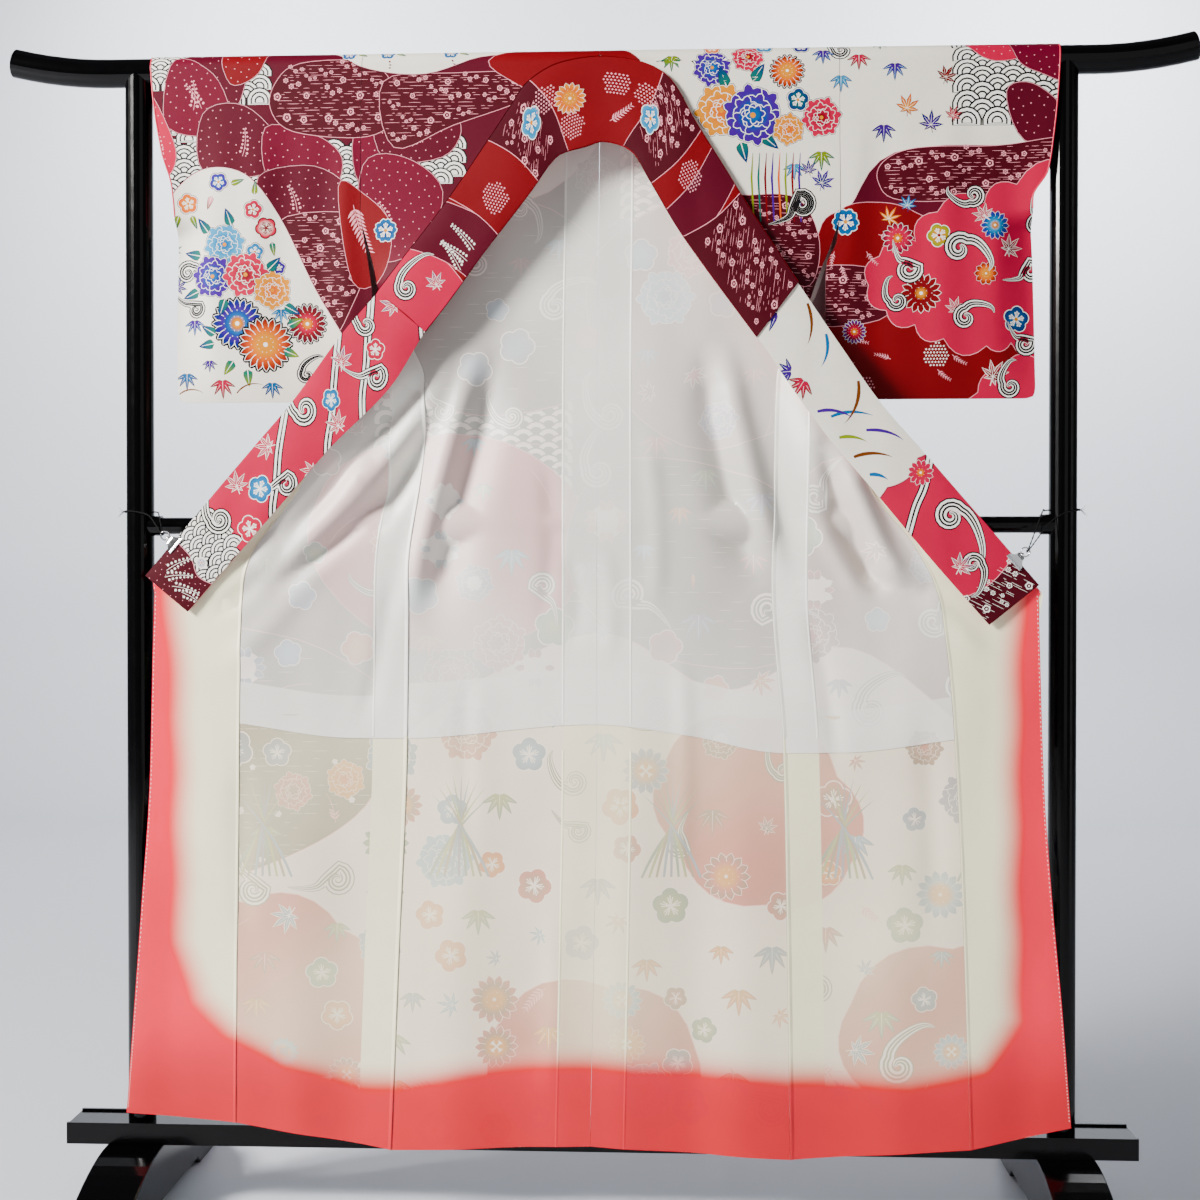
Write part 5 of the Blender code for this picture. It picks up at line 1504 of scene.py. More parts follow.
def right_flowers(art):
    """The flowers on the right front and sleeve."""
    swirl(art, (0.345, -0.02), 2.6, 0.024, 1.2, 1.2, 1)
    draw(art, peony, [
        (165, -45, 26, VIOLET, BLUE, WHITE, 0.3), (215, -30, 22, PINK, RED, WHITE, 0.8),
    ], rim=BLACK)
    draw(art, plum, [
        (165, -12, 12, GOLD, ORANGE), (238, -10, 13, BLUE_PALE, BLUE), (290, -12, 12, VIOLET, NAVY),
    ], rim=BLACK)
    chrysanthemum(art, (0.27, -0.052), 0.024, GOLD, ORANGE, RED, rim=BLACK)
    for x, y, angle in (
        (0.125, -0.095, 2.6), (0.128, -0.115, 3.4), (0.15, -0.142, -2.2), (0.205, -0.15, -1.3),
        (0.235, -0.14, -0.7), (0.185, -0.072, 1.9), (0.222, -0.066, 1.0),
    ):
        leaf(art, (x, y), angle, 0.03, 0.016, GREEN, NAVY)
    draw(art, peony, [
        (178, -105, 37, GOLD, ORANGE, WHITE, 0.1), (222, -112, 41, VIOLET, BLUE, WHITE, 0.7),
    ], rim=BLACK)
    plum(art, (0.285, -0.092), 0.015, GREEN, NAVY, turn=0.2, rim=BLACK)
    draw(art, peony, [
        (272, -132, 22, GOLD, ORANGE, WHITE, 0.4), (318, -116, 27, PINK, RED, WHITE, 1.2),
    ], rim=BLACK)
    draw(art, bamboo, [
        (108, -28, 22, OLIVE, GREEN), (95, -80, 22, VIOLET, NAVY, -1.0), (320, -22, 22, VIOLET, BLUE),
        (370, -30, 24, PINK, RED), (420, -45, 24, VIOLET, BLUE), (345, -62, 22, BLUE_PALE, BLUE),
        (400, 0, 20, OLIVE, GREEN), (405, -128, 24, VIOLET, NAVY), (318, -165, 26, OLIVE, GREEN),
        (280, -182, 22, BLUE_PALE, BLUE),
    ])
    draw(art, maple, [
        (437, -105, 20, GOLD, ORANGE, 1.3, RED, IVORY), (470, -128, 21, VIOLET, NAVY, 1.5, BLACK, IVORY),
        (500, -116, 15, PINK, RED, 1.1, RED, IVORY), (490, -65, 18, RED, RED, 1.0, BLACK, IVORY),
        (318, -208, 20, NAVY, VIOLET, 1.1, VIOLET, IVORY),
        (300, -190, 15, VIOLET, NAVY, 1.6, BLACK, IVORY),
    ])
    for index, colour in enumerate((OLIVE, GREEN, RED, VIOLET, ORANGE, OLIVE, RED, VIOLET)):
        x = 0.222 + 0.0095 * index
        art.add(ribbon([(x, -0.165), (x - 0.002, -0.2), (x + 0.001, -0.262)], 0.0032, 0.3, 0.6), colour)
    swirl(art, (0.29, -0.238), 2.2, 0.034, 1.1, 0.9, -1, 5)
    plum(art, (0.352, -0.262), 0.019, NAVY, BLUE, notch=0.15, turn=0.9)
    draw(art, maple, [
        (412, -258, 20, GOLD, ORANGE, 1.0, RED, IVORY), (438, -240, 16, BLUE_PALE, BLUE, 1.4, NAVY, IVORY),
    ])
    for x, y, angle in (
        (0.38, -0.3, -1.1), (0.338, -0.3, -2.0), (0.395, -0.278, -0.4), (0.345, -0.318, -1.4),
        (0.5, -0.445, -0.8), (0.48, -0.465, -0.9), (0.42, -0.455, 2.6), (0.36, -0.42, -0.6),
        (0.345, -0.44, -1.0), (0.59, -0.445, 0.4),
    ):
        spray(art, (x, y), angle, 0.026, PINK_PALE, 0.4, 5)
    chrysanthemum(art, (0.365, -0.415), 0.017, PINK, RED, VIOLET)
    draw(art, kanoko, [
        (480, -448, 19, WHITE, 6, 0.2), (380, -490, 16, PINK_PALE, 5),
    ])
    chrysanthemum(art, (0.425, -0.285), 0.022, PINK, PINK, WINE_LIGHT, 14)
    plum(art, (0.482, -0.282), 0.016, GOLD, OLIVE, turn=0.7, heart=RED)
    draw(art, chrysanthemum, [
        (458, -362, 28, RED, RED, RED, 16), (560, -268, 20, BLUE_PALE, BLUE, VIOLET, 14),
    ])
    draw(art, maple, [
        (580, -300, 21, RED, PINK, 0.8), (505, -385, 18, PINK, PINK, 1.3),
        (545, -255, 18, PINK, WINE_LIGHT, 2.2),
    ])
    plum(art, (0.592, -0.398), 0.018, BLUE, NAVY, turn=0.2)
    chrysanthemum(art, (0.548, -0.335), 0.016, GOLD, ORANGE, RED, 10)
    maple(art, (0.56, -0.478), 0.024, RED, PINK, 1.0)
    for x, y, angle, size, hand in (
        (0.53, -0.226, -2.4, 0.026, 1), (0.44, -0.328, 0.6, 0.032, -1), (0.51, -0.3, 0.4, 0.036, 1),
        (0.612, -0.33, 2.0, 0.03, -1), (0.52, -0.396, 1.2, 0.028, 1), (0.605, -0.432, 0.8, 0.028, -1),
        (0.585, -0.492, 2.4, 0.026, 1), (0.425, -0.372, 2.8, 0.024, 1), (0.618, -0.262, 0.3, 0.024, -1),
    ):
        swirl(art, (x, y), angle, size, 1.15, 0.8, hand)


def collar_art(length, width):
    """The pattern of the long collar band, left end first."""
    art = Art()
    rng = np.random.default_rng(11)
    art.add([
        (-0.01, -width - 0.02), (length + 0.01, -width - 0.02), (length + 0.01, 0.01), (-0.01, 0.01),
    ], PINK)

    def stretch(first, last, colour, bow=0.012):
        outline = smooth_path([(first, 0.012), (first + bow, -width / 2), (first, -width - 0.012)], 5)
        other = smooth_path([(last, -width - 0.012), (last + bow, -width / 2), (last, 0.012)], 5)
        outline = np.concatenate([outline, other])
        field(art, outline, colour, 0.001)
        return outline

    stretch(-0.02, 0.098, WINE)
    waves(art, (0.065, -0.07), (0.1, 0.01), 0.017, rings=3)
    waves(art, (0.05, -0.11), (0.1, -0.07), 0.017, rings=3)
    lobe = blob(mm(-10, 10, 55, 10, 62, -30, 48, -60, 55, -105, -10, -110))
    field(art, lobe, MAROON, 0.0009, 0.0006)
    for x, y, angle in (
        (0.012, -0.02, -0.6), (0.01, -0.035, -0.9), (0.014, -0.05, -1.2), (0.02, -0.018, -0.2),
    ):
        raceme(art, (x, y), angle, 0.045, WHITE, -0.4)
    plum(art, (0.066, -0.05), 0.008, VIOLET, WHITE)
    specks(art, rng, lobe, 0.007, 0.0007)
    for x in (0.168, 0.292, 0.372, 0.5):
        flow(art, [
            (x, -0.104), (x + 0.026, -0.078), (x + 0.058, -0.056), (x + 0.09, -0.03), (x + 0.14, 0.006),
        ])
    for x, y, angle, size, turns, hand in (
        (0.128, -0.03, 2.0, 0.032, 1.3, 1), (0.232, -0.07, 0.9, 0.03, 1.1, -1),
        (0.322, -0.022, 2.3, 0.034, 1.2, 1), (0.43, -0.078, 0.6, 0.03, 1.2, -1),
        (0.47, -0.018, 2.0, 0.028, 1.0, 1), (0.575, -0.06, 1.0, 0.03, 1.2, -1),
    ):
        swirl(art, (x, y), angle, size, turns, 1.1, hand)
    for x, y, turn_by, tip in (
        (0.178, -0.018, 0.9, (176, 36, 66)), (0.248, -0.016, 2.3, (176, 36, 66)),
        (0.345, -0.074, 1.4, (176, 36, 66)), (0.405, -0.024, 0.5, NAVY), (0.52, -0.03, 2.0, NAVY),
        (0.275, -0.088, 3.0, (196, 20, 22)),
    ):
        maple(art, (x, y), 0.021, PINK, tip, turn_by)
    draw(art, plum, [
        (200, -46, 18, BLUE_PALE, BLUE, WHITE, 0.4), (150, -72, 18, (206, 50, 74), PINK, WHITE, 1.0),
        (360, -44, 14, BLUE_PALE, BLUE, WHITE, 0.2), (455, -52, 14, PINK, (190, 36, 66), WHITE, 0.7),
    ], heart=WHITE)
    stretch(0.64, length - 0.72, RED)
    right = length - 0.055
    stretch(right, length + 0.05, MAROON)
    tail = np.array([(right, 0.0), (right, -width), (length, -width), (length, 0.0)])
    streams(art, rng, tail, WHITE, angle=0.4)
    ivory_last = length - 0.235
    ivory_first = length - 0.56
    ivory = cloud([
        (ivory_first, 0.02), (ivory_first, -width - 0.02), (ivory_last, -width - 0.02),
        (ivory_last - 0.004, -0.07), (ivory_last + 0.006, -0.04), (ivory_last - 0.006, -0.012),
        (ivory_last, 0.02),
    ], 0.06)
    field(art, ivory, IVORY, 0.0009, 0.0009)
    x = ivory_first
    bamboo(art, (x + 0.036, -0.05), 0.034, VIOLET, NAVY, angle=-2.4)
    bamboo(art, (x + 0.112, -0.078), 0.026, VIOLET, NAVY, angle=-2.2)
    bamboo(art, (x + 0.136, -0.07), 0.03, PINK, RED, angle=-1.2)
    blades = [
        (0.055, -0.004, -0.2, 0.058, BROWN), (0.1, -0.006, -0.3, 0.05, BLUE),
        (0.2, -0.074, 1.5, 0.066, BLUE), (0.172, -0.004, -0.4, 0.074, BROWN),
        (0.182, -0.084, 1.3, 0.056, VIOLET), (0.23, -0.08, 1.3, 0.042, OLIVE),
        (0.262, -0.084, 1.4, 0.06, BROWN), (0.24, -0.046, 1.1, 0.062, VIOLET),
        (0.292, -0.08, 1.1, 0.03, BLUE),
    ]
    for dx, y, angle, reach, colour in blades:
        grass(art, (x + dx, y), angle, reach, 0.0052, colour, -0.9)
    flow(art, [
        (length - 0.232, 0.006), (length - 0.205, -0.03), (length - 0.19, -0.06), (length - 0.16, -0.104),
    ])
    swirl(art, (length - 0.15, -0.03), 1.0, 0.038, 1.3, 1.2, 1)
    swirl(art, (length - 0.08, -0.05), 0.4, 0.026, 1.2, 1.0, 1)
    chrysanthemum(art, (length - 0.222, -0.022), 0.018, PINK, PINK, (196, 50, 84), 12)
    maple(art, (length - 0.088, -0.066), 0.021, PINK, NAVY, 1.7)
    return art


def over_collar_art(length, width):
    """The pattern of the second band round the neck, left end first."""
    art = Art()
    rng = np.random.default_rng(5)
    art.add([
        (-0.01, -width - 0.03), (length + 0.01, -width - 0.03), (length + 0.01, 0.02), (-0.01, 0.02),
    ], RED)

    def stretch(first, last, colour, bow=0.01, slant=0.0):
        one = smooth_path([
            (first - slant, 0.02), (first + bow, -width / 2), (first + slant, -width - 0.02),
        ], 5)
        two = smooth_path([
            (last + slant, -width - 0.02), (last + bow, -width / 2), (last - slant, 0.02),
        ], 5)
        outline = np.concatenate([one, two])
        field(art, outline, colour, 0.0009)
        return outline

    stretch(-0.05, 0.085, PINK)
    stretch(0.085, 0.165, WINE, slant=0.02)
    stretch(0.165, 0.265, RED, slant=0.01)
    one = stretch(0.262, 0.345, MAROON, slant=0.008)
    streams(art, rng, np.array(mm(268, -6, 268, -92, 338, -92, 338, -6)), angle=0.5)
    two = stretch(length - 0.345, length - 0.262, MAROON, slant=-0.008)
    streams(art, rng, np.array([
        (length - 0.338, -0.006), (length - 0.338, -0.092), (length - 0.268, -0.092),
        (length - 0.268, -0.006),
    ]), angle=-0.5)
    stretch(length - 0.225, length - 0.165, WINE)
    stretch(length - 0.165, length + 0.05, MAROON, slant=-0.02)
    streams(art, rng, np.array([
        (length - 0.15, -0.004), (length - 0.15, -0.09), (length, -0.09), (length, -0.004),
    ]), angle=-0.9)
    swirl(art, (0.03, -0.03), 1.2, 0.028, 1.2, 1.2, 1)
    maple(art, (0.062, -0.06), 0.018, PINK, NAVY, 1.0)
    for x, y, angle in ((0.1, -0.08, 1.2), (0.118, -0.08, 1.6), (0.136, -0.078, 1.4)):
        raceme(art, (x, y), angle, 0.052, WHITE, 0.3)
    middle = length / 2
    chrysanthemum(art, (middle - 0.032, -0.052), 0.022, GOLD, ORANGE, GOLD, 16)
    plum(art, (middle - 0.095, -0.042), 0.018, BLUE, BLUE_PALE)
    plum(art, (middle + 0.088, -0.062), 0.018, BLUE, BLUE_PALE)
    for x, y, size, number in (
        (-0.064, -0.036, 0.02, 5), (-0.04, -0.088, 0.022, 5), (0.03, -0.036, 0.02, 4),
        (0.07, -0.04, 0.018, 5), (0.19, -0.05, 0.022, 5), (-0.205, -0.055, 0.022, 5),
    ):
        kanoko(art, (middle + x, y), size, PINK_PALE, number, x * 30)
    spray(art, (middle + 0.02, -0.092), 0.5, 0.045, PINK_PALE, 0.4, 7)
    return art


def back_art():
    """The pattern of the back and of the skirt's outer side, drawn as if seen through from the front."""
    art = Art()
    rng = np.random.default_rng(3)
    art.add(mm(-720, -1620, 720, -1620, 720, 20, -720, 20), WINE)
    for low, high in (
        ((-0.6, -0.2), (-0.4, -0.05)), ((0.05, -0.3), (0.3, -0.15)), ((-0.3, -0.62), (-0.05, -0.5)),
        ((0.3, -0.45), (0.6, -0.3)), ((-0.1, -0.78), (0.15, -0.66)),
    ):
        waves(art, low, high, 0.018, rings=2)
    fields = [
        (mm(-400, 30, -50, 30, 20, -100, -100, -220, -300, -160), IVORY),
        (mm(50, 30, 450, 30, 400, -120, 220, -200, 80, -120), RED),
        (mm(400, 30, 700, 30, 700, -200, 520, -240, 420, -120), IVORY),
        (mm(-700, -200, -500, -160, -360, -280, -400, -500, -560, -560, -700, -500), PINK),
        (mm(-300, -260, -100, -220, 40, -340, -20, -500, -220, -520, -340, -400), MAROON),
        (mm(0, -300, 200, -200, 360, -300, 360, -480, 160, -580, 20, -480), WINE_LIGHT),
        (mm(400, -260, 600, -220, 700, -360, 700, -540, 480, -540, 380, -420), RED),
        (mm(-360, -600, -160, -560, -20, -660, -60, -820, -260, -860, -400, -740), PINK),
        (mm(20, -600, 220, -620, 340, -740, 260, -880, 60, -860, -40, -740), MAROON),
        (mm(-700, -860, -460, -840, -300, -920, -240, -1040, -260, -1200, -700, -1240), MAROON),
        (mm(320, -600, 600, -620, 700, -800, 600, -980, 380, -940, 280, -780), RED),
    ]
    for points, colour in fields:
        outline = blob(points)
        field(art, outline, colour, 0.0012, 0.0008)
        if colour == MAROON:
            streams(art, rng, outline, WHITE, gap=0.017, blossoms=0.034)
    ground = blob(mm(-720, -1240, -500, -1180, -340, -1100, -240, -960, 0, -840, 180, -920, 360, -860, 560,
        -1000, 720, -1040, 720, -1660, -720, -1660), 8)
    field(art, ground, IVORY, 0.0012, 0.001)
    for points in (
        mm(-620, -1300, -500, -1220, -360, -1260, -300, -1380, -420, -1480, -580, -1460),
        mm(100, -1020, 220, -960, 340, -1040, 360, -1160, 240, -1220, 120, -1140),
        mm(360, -1360, 500, -1280, 660, -1340, 700, -1500, 500, -1560, 380, -1480),
        mm(-140, -1400, 20, -1340, 140, -1420, 100, -1540, -80, -1560),
    ):
        field(art, cloud(points, -0.22), PINK, 0.0012, 0.0)
    blossoms = scattered(rng, np.array(mm(-660, -1560, 660, -1560, 660, -20, -660, -20)), 0.058, 3000)
    pairs = (
        (BLUE, NAVY), (RED, PINK), (GOLD, ORANGE), (VIOLET, BLUE), (PINK, RED), (BLUE_PALE, BLUE),
        (OLIVE, GREEN),
    )
    for index, place in enumerate(blossoms):
        one, two = pairs[index % len(pairs)]
        kind = int(rng.integers(0, 9))
        size = 0.016 + 0.012 * rng.random()
        if kind == 0:
            peony(art, place, size * 1.5, one, two, turn=index)
        elif kind == 1:
            chrysanthemum(art, place, size * 1.25, GOLD, one, two, 14, WHITE if size > 0.0195 else two)
        elif kind in (2, 3):
            plum(art, place, size, one, two, turn=index)
        elif kind == 4:
            maple(art, place, size, one, two, index)
        elif kind in (5, 6):
            bamboo(art, place, size * 1.4, one, two)
        elif kind == 7:
            swirl(art, place, index, size * 1.5, 1.2, 1.0, 1 if index % 2 else -1)
        else:
            spray(art, place, index, size * 2.6, PINK_PALE, 0.5, 8)
    for base_x in (-0.52, -0.24, 0.06, 0.3, 0.5):
        for index in range(9):
            colour = (GREEN, OLIVE, BROWN, BLUE, VIOLET)[index % 5]
            grass(art, (base_x + 0.012 * index, -1.2), 1.2 + 0.09 * index, 0.16, 0.0042, colour,
                -0.5 + 0.12 * index)
    art.drop_hidden()
    return art


def swept(path, radius, sides, closed=False):
    """A round tube along a path: its points, its faces and each point's outward direction."""
    path = np.asarray(path, float)
    count = len(path)
    radius = np.broadcast_to(radius, (count,))
    if closed:
        steps = np.roll(path, -1, axis=0) - np.roll(path, 1, axis=0)
    else:
        steps = np.gradient(path, axis=0)
    steps = unit_rows(steps, 1e-12)
    start = np.array([0.0, 0.0, 1.0]) if abs(steps[0, 2]) < 0.9 else np.array([1.0, 0.0, 0.0])
    normal = np.cross(steps[0], start)
    angle = 2 * math.pi * np.arange(sides) / sides
    points, outwards = [], []
    for index in range(count):
        normal = normal - steps[index] * (normal @ steps[index])
        normal /= np.linalg.norm(normal)
        other = np.cross(steps[index], normal)
        spokes = normal * np.cos(angle)[:, None] + other * np.sin(angle)[:, None]
        points.append(path[index] + spokes * radius[index])
        outwards.append(spokes)
    faces = []
    for index in range(count if closed else count - 1):
        after = (index + 1) % count
        for side in range(sides):
            beside = (side + 1) % sides
            faces.append(
                (index * sides + side, index * sides + beside, after * sides + beside, after * sides + side)
            )
    if not closed:
        faces.append(tuple(reversed(range(sides))))
        faces.append(tuple(range((count - 1) * sides, count * sides)))
    return np.concatenate(points), faces, np.concatenate(outwards)


def ball(centre, radius, rings=8, sides=14):
    """A round bead."""
    t = np.linspace(0.05, math.pi - 0.05, rings)
    path = np.asarray(centre) + np.stack([np.zeros(rings), np.zeros(rings), radius * np.cos(t)], axis=1)
    return swept(path, radius * np.sin(t), sides)[:2]


def bent_plate(rows, thickness, place):
    """A thin plate from rows of (outwards, depth, half width), closed all round."""
    points, faces = [], []
    for u, v, half in rows:
        for depth in (v - thickness / 2, v + thickness / 2):
            for d in (-half, half):
                points.append(place(u, depth, d))
    for row in range(len(rows) - 1):
        a, b = row * 4, row * 4 + 4
        for one, two in ((0, 1), (1, 3), (3, 2), (2, 0)):
            faces.append((a + one, a + two, b + two, b + one))
    last = (len(rows) - 1) * 4
    faces.append((0, 2, 3, 1))
    faces.append((last, last + 1, last + 3, last + 2))
    return np.array(points), faces


def solid_piece(name, shapes, materials, node_name):
    """One mesh from several closed shapes, each with its material's number."""
    points, faces, slots = [], [], []
    for shape_points, shape_faces, slot in shapes:
        faces += [tuple(int(index) + len(points) for index in face) for face in shape_faces]
        slots += [slot] * len(shape_faces)
        points += [tuple(point) for point in shape_points]
    mesh = bpy.data.meshes.new(name)
    mesh.from_pydata(points, [], faces)
    for material in materials:
        mesh.materials.append(material)
    mesh.polygons.foreach_set("material_index", slots)
    work = bmesh.new()
    work.from_mesh(mesh)
    bmesh.ops.recalc_face_normals(work, faces=work.faces)
    work.to_mesh(mesh)
    work.free()
    mesh.shade_smooth()
    mesh.set_sharp_from_angle(angle=math.radians(40))
    obj = linked(name, mesh)
    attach(obj, "root")
    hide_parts(node_name)
    return obj


def node(tree, kind, place, **values):
    """A shader node with its settings and constant inputs."""
    made = tree.nodes.new(kind)
    made.location = place
    for name, value in values.items():
        if name in made.inputs:
            made.inputs[name].default_value = value
        else:
            setattr(made, name, value)
    return made


def new_material(name):
    made = bpy.data.materials.new(name)
    made.use_nodes = True
    tree = made.node_tree
    tree.nodes.clear()
    shader = node(tree, "ShaderNodeBsdfPrincipled", (300, 0))
    output = node(tree, "ShaderNodeOutputMaterial", (600, 0))
    tree.links.new(shader.outputs[0], output.inputs[0])
    return made, tree, shader


def set_inputs(made, **values):
    """Constant inputs of a node, with underscores for the spaces in their names."""
    for name, value in values.items():
        made.inputs[name.replace("_", " ")].default_value = value


def spread(tree, source, place, low, high, first=0.0, last=1.0):
    """A noise whose values from first to last are spread from low to high."""
    made = node(tree, "ShaderNodeMapRange", place)
    set_inputs(made, From_Min=first, From_Max=last, To_Min=low, To_Max=high)
    tree.links.new(source.outputs[0], made.inputs["Value"])
    return made


def wave(tree, place, direction, scale, distortion):
    return node(
        tree, "ShaderNodeTexWave", place, wave_type="BANDS", bands_direction=direction, Scale=scale,
        Distortion=distortion,
    )


def silk(name, roughness, gloss, sheen, weave, slub, saturation):
    """Plain-woven silk crepe that takes its dye from the cloth's own colours."""
    made, tree, shader = new_material(name)
    link = tree.links.new
    place = node(tree, "ShaderNodeTexCoord", (-1200, 0))
    dyed = node(tree, "ShaderNodeVertexColor", (-700, 300), layer_name="dye")
    cloudy = node(tree, "ShaderNodeTexNoise", (-900, 100), Scale=7.0, Detail=3.0)
    grain = node(tree, "ShaderNodeTexNoise", (-900, -150), Scale=900.0, Detail=2.0)
    link(place.outputs["Object"], cloudy.inputs["Vector"])
    link(place.outputs["Object"], grain.inputs["Vector"])
    shade = spread(tree, cloudy, (-700, 80), 0.93, 1.05, 0.3, 0.7)
    thread = spread(tree, grain, (-700, -150), 1.0 - slub, 1.0 + slub, 0.3, 0.7)
    both = node(tree, "ShaderNodeMath", (-500, 0), operation="MULTIPLY")
    link(shade.outputs[0], both.inputs[0])
    link(thread.outputs[0], both.inputs[1])
    tinted = node(tree, "ShaderNodeVectorMath", (-300, 200), operation="SCALE")
    deep = node(tree, "ShaderNodeHueSaturation", (-500, 300), Saturation=saturation)
    link(dyed.outputs["Color"], deep.inputs["Color"])
    link(deep.outputs[0], tinted.inputs[0])
    link(both.outputs[0], tinted.inputs["Scale"])
    link(tinted.outputs[0], shader.inputs["Base Color"])
    warp = wave(tree, (-900, -400), "X", 320.0, 1.5)
    weft = wave(tree, (-900, -650), "Z", 260.0, 2.0)
    link(place.outputs["Object"], warp.inputs["Vector"])
    link(place.outputs["Object"], weft.inputs["Vector"])
    woven = node(tree, "ShaderNodeMath", (-650, -500), operation="MULTIPLY")
    link(warp.outputs["Fac"], woven.inputs[0])
    link(weft.outputs["Fac"], woven.inputs[1])
    crepe = node(tree, "ShaderNodeTexNoise", (-900, -900), Scale=160.0, Detail=3.0)
    link(place.outputs["Object"], crepe.inputs["Vector"])
    height = node(tree, "ShaderNodeMath", (-450, -600), operation="ADD")
    link(woven.outputs[0], height.inputs[0])
    link(crepe.outputs[0], height.inputs[1])
    bump = node(tree, "ShaderNodeBump", (0, -400), Strength=weave, Distance=0.0004)
    link(height.outputs[0], bump.inputs["Height"])
    link(bump.outputs[0], shader.inputs["Normal"])
    set_inputs(
        shader, Roughness=roughness, Specular_IOR_Level=gloss, Sheen_Weight=sheen, Sheen_Roughness=0.4
    )
    return made


def lacquer(name):
    """Black lacquer over turned wood: a clear gloss with the faintest swell under it."""
    made, tree, shader = new_material(name)
    link = tree.links.new
    place = node(tree, "ShaderNodeTexCoord", (-900, 0))
    swell = node(tree, "ShaderNodeTexNoise", (-650, -200), Scale=22.0, Detail=2.0)
    link(place.outputs["Object"], swell.inputs["Vector"])
    bump = node(tree, "ShaderNodeBump", (-200, -200), Strength=0.05, Distance=0.002)
    link(swell.outputs[0], bump.inputs["Height"])
    link(bump.outputs[0], shader.inputs["Normal"])
    dust = node(tree, "ShaderNodeTexNoise", (-650, 100), Scale=60.0, Detail=4.0)
    link(place.outputs["Object"], dust.inputs["Vector"])
    rough = spread(tree, dust, (-400, 100), 0.1, 0.2)
    link(rough.outputs[0], shader.inputs["Roughness"])
    set_inputs(shader, Base_Color=(0.0006, 0.0006, 0.0008, 1.0), Specular_IOR_Level=0.18)
    set_inputs(shader, Coat_Weight=0.05, Coat_Roughness=0.04)
    return made


def metal(name, colour, roughness):
    """Plated steel with fine handling marks."""
    made, tree, shader = new_material(name)
    link = tree.links.new
    place = node(tree, "ShaderNodeTexCoord", (-900, 0))
    marks = node(tree, "ShaderNodeTexNoise", (-650, 0), Scale=240.0, Detail=4.0)
    link(place.outputs["Object"], marks.inputs["Vector"])
    rough = spread(tree, marks, (-400, 0), roughness * 0.7, roughness * 1.5)
    link(rough.outputs[0], shader.inputs["Roughness"])
    set_inputs(shader, Base_Color=(*colour, 1.0), Metallic=1.0)
    return made


def twisted_cord(name):
    """Black cotton cord, its plies as a fine slanted bump."""
    made, tree, shader = new_material(name)
    link = tree.links.new
    place = node(tree, "ShaderNodeTexCoord", (-900, 0))
    plies = wave(tree, (-650, 0), "DIAGONAL", 700.0, 0.5)
    link(place.outputs["Object"], plies.inputs["Vector"])
    bump = node(tree, "ShaderNodeBump", (-200, 0), Strength=0.6, Distance=0.0004)
    link(plies.outputs["Fac"], bump.inputs["Height"])
    link(bump.outputs[0], shader.inputs["Normal"])
    set_inputs(shader, Base_Color=(0.004, 0.004, 0.005, 1.0), Roughness=0.85, Specular_IOR_Level=0.15)
    return made


print_silk = silk("print_silk", 0.55, 0.1, 0.0, 0.35, 0.05, 1.25)
inner_silk = silk("inner_silk", 0.36, 0.5, 0.06, 0.25, 0.02, 1.2)
black_lacquer = lacquer("black_lacquer")
steel = metal("plated_steel", (0.76, 0.76, 0.78), 0.18)
cord_cotton = twisted_cord("cord_cotton")

# The inner edge of the coral shading on the lining
CORAL_EDGE = metres([
    (-6000, -7000), (-5830, -9340), (-5830, -12750), (-5600, -13600), (-5130, -14170), (-4400, -14580),
    (-3300, -14740), (-1820, -14510), (-100, -14420), (1330, -14400), (2760, -14560), (4400, -14620),
    (5390, -14450), (5830, -13770), (5790, -12180), (5790, -9340), (5850, -7500),
])
DOURA_WHITE = (242, 241, 233)
CREAM = (247, 242, 212)
CORAL = (240, 92, 104)
# Painted shade: the coral's darker colour at the hem
CORAL_HEM_SHADE = (206, 60, 68)
BACK_OF_PRINT = (188, 150, 154)
PIPING = (214, 74, 92)
STITCH = (246, 240, 232)


def edge_distance(points, outline):
    """Distance from points to an outline's nearest side."""
    nearest = np.full(points.shape[:-1], 9.0)
    outline = np.asarray(outline, float)
    for start, end in zip(outline[:-1], outline[1:]):
        side = end - start
        t = np.clip(((points - start) @ side) / (side @ side), 0.0, 1.0)
        nearest = np.minimum(nearest, np.linalg.norm(points - start - t[..., None] * side, axis=-1))
    return nearest


def coral_share(points):
    """How much of the coral shading a place on the lining has."""
    closed = np.array(CORAL_EDGE + [(0.54, 0.2), (-0.54, 0.2)])
    flat = points.reshape(-1, 2)
    within = inside(flat, closed).reshape(points.shape[:-1])
    distance = edge_distance(points, CORAL_EDGE)
    signed = np.where(within, -distance, distance)
    uneven = 0.004 * np.sin(17.0 * points[..., 0] + 3.0) + 0.002 * np.sin(41.0 * points[..., 1])
    return smooth_step(-0.027, 0.025, signed + uneven)


def hakkake_colour(places):
    share = coral_share(places)[..., None]
    # Painted shade: the coral darkens towards the hem, from 1.36 m to 1.53 m down
    deep = smooth_step(1.36, 1.53, -places[..., 1])[..., None]
    coral = linear(CORAL) * (1 - deep) + linear(CORAL_HEM_SHADE) * deep
    return linear(CREAM) * (1 - share) + coral * share


def doura_colour(places):
    return np.broadcast_to(linear(DOURA_WHITE), places.shape[:-1] + (3,))


def contact(places):
    """How closely the lining lies on the printed silk behind it, from 0 to 1."""
    x, y = places[..., 0], places[..., 1]
    slow = np.sin(9.0 * x + 4.0 * np.sin(2.6 * y)) * np.sin(7.0 * y + 3.0 * np.sin(5.0 * x) + 1.0)
    return 0.5 + 0.5 * slow


GHOST_WARMTH = np.array([1.12, 0.97, 0.97])


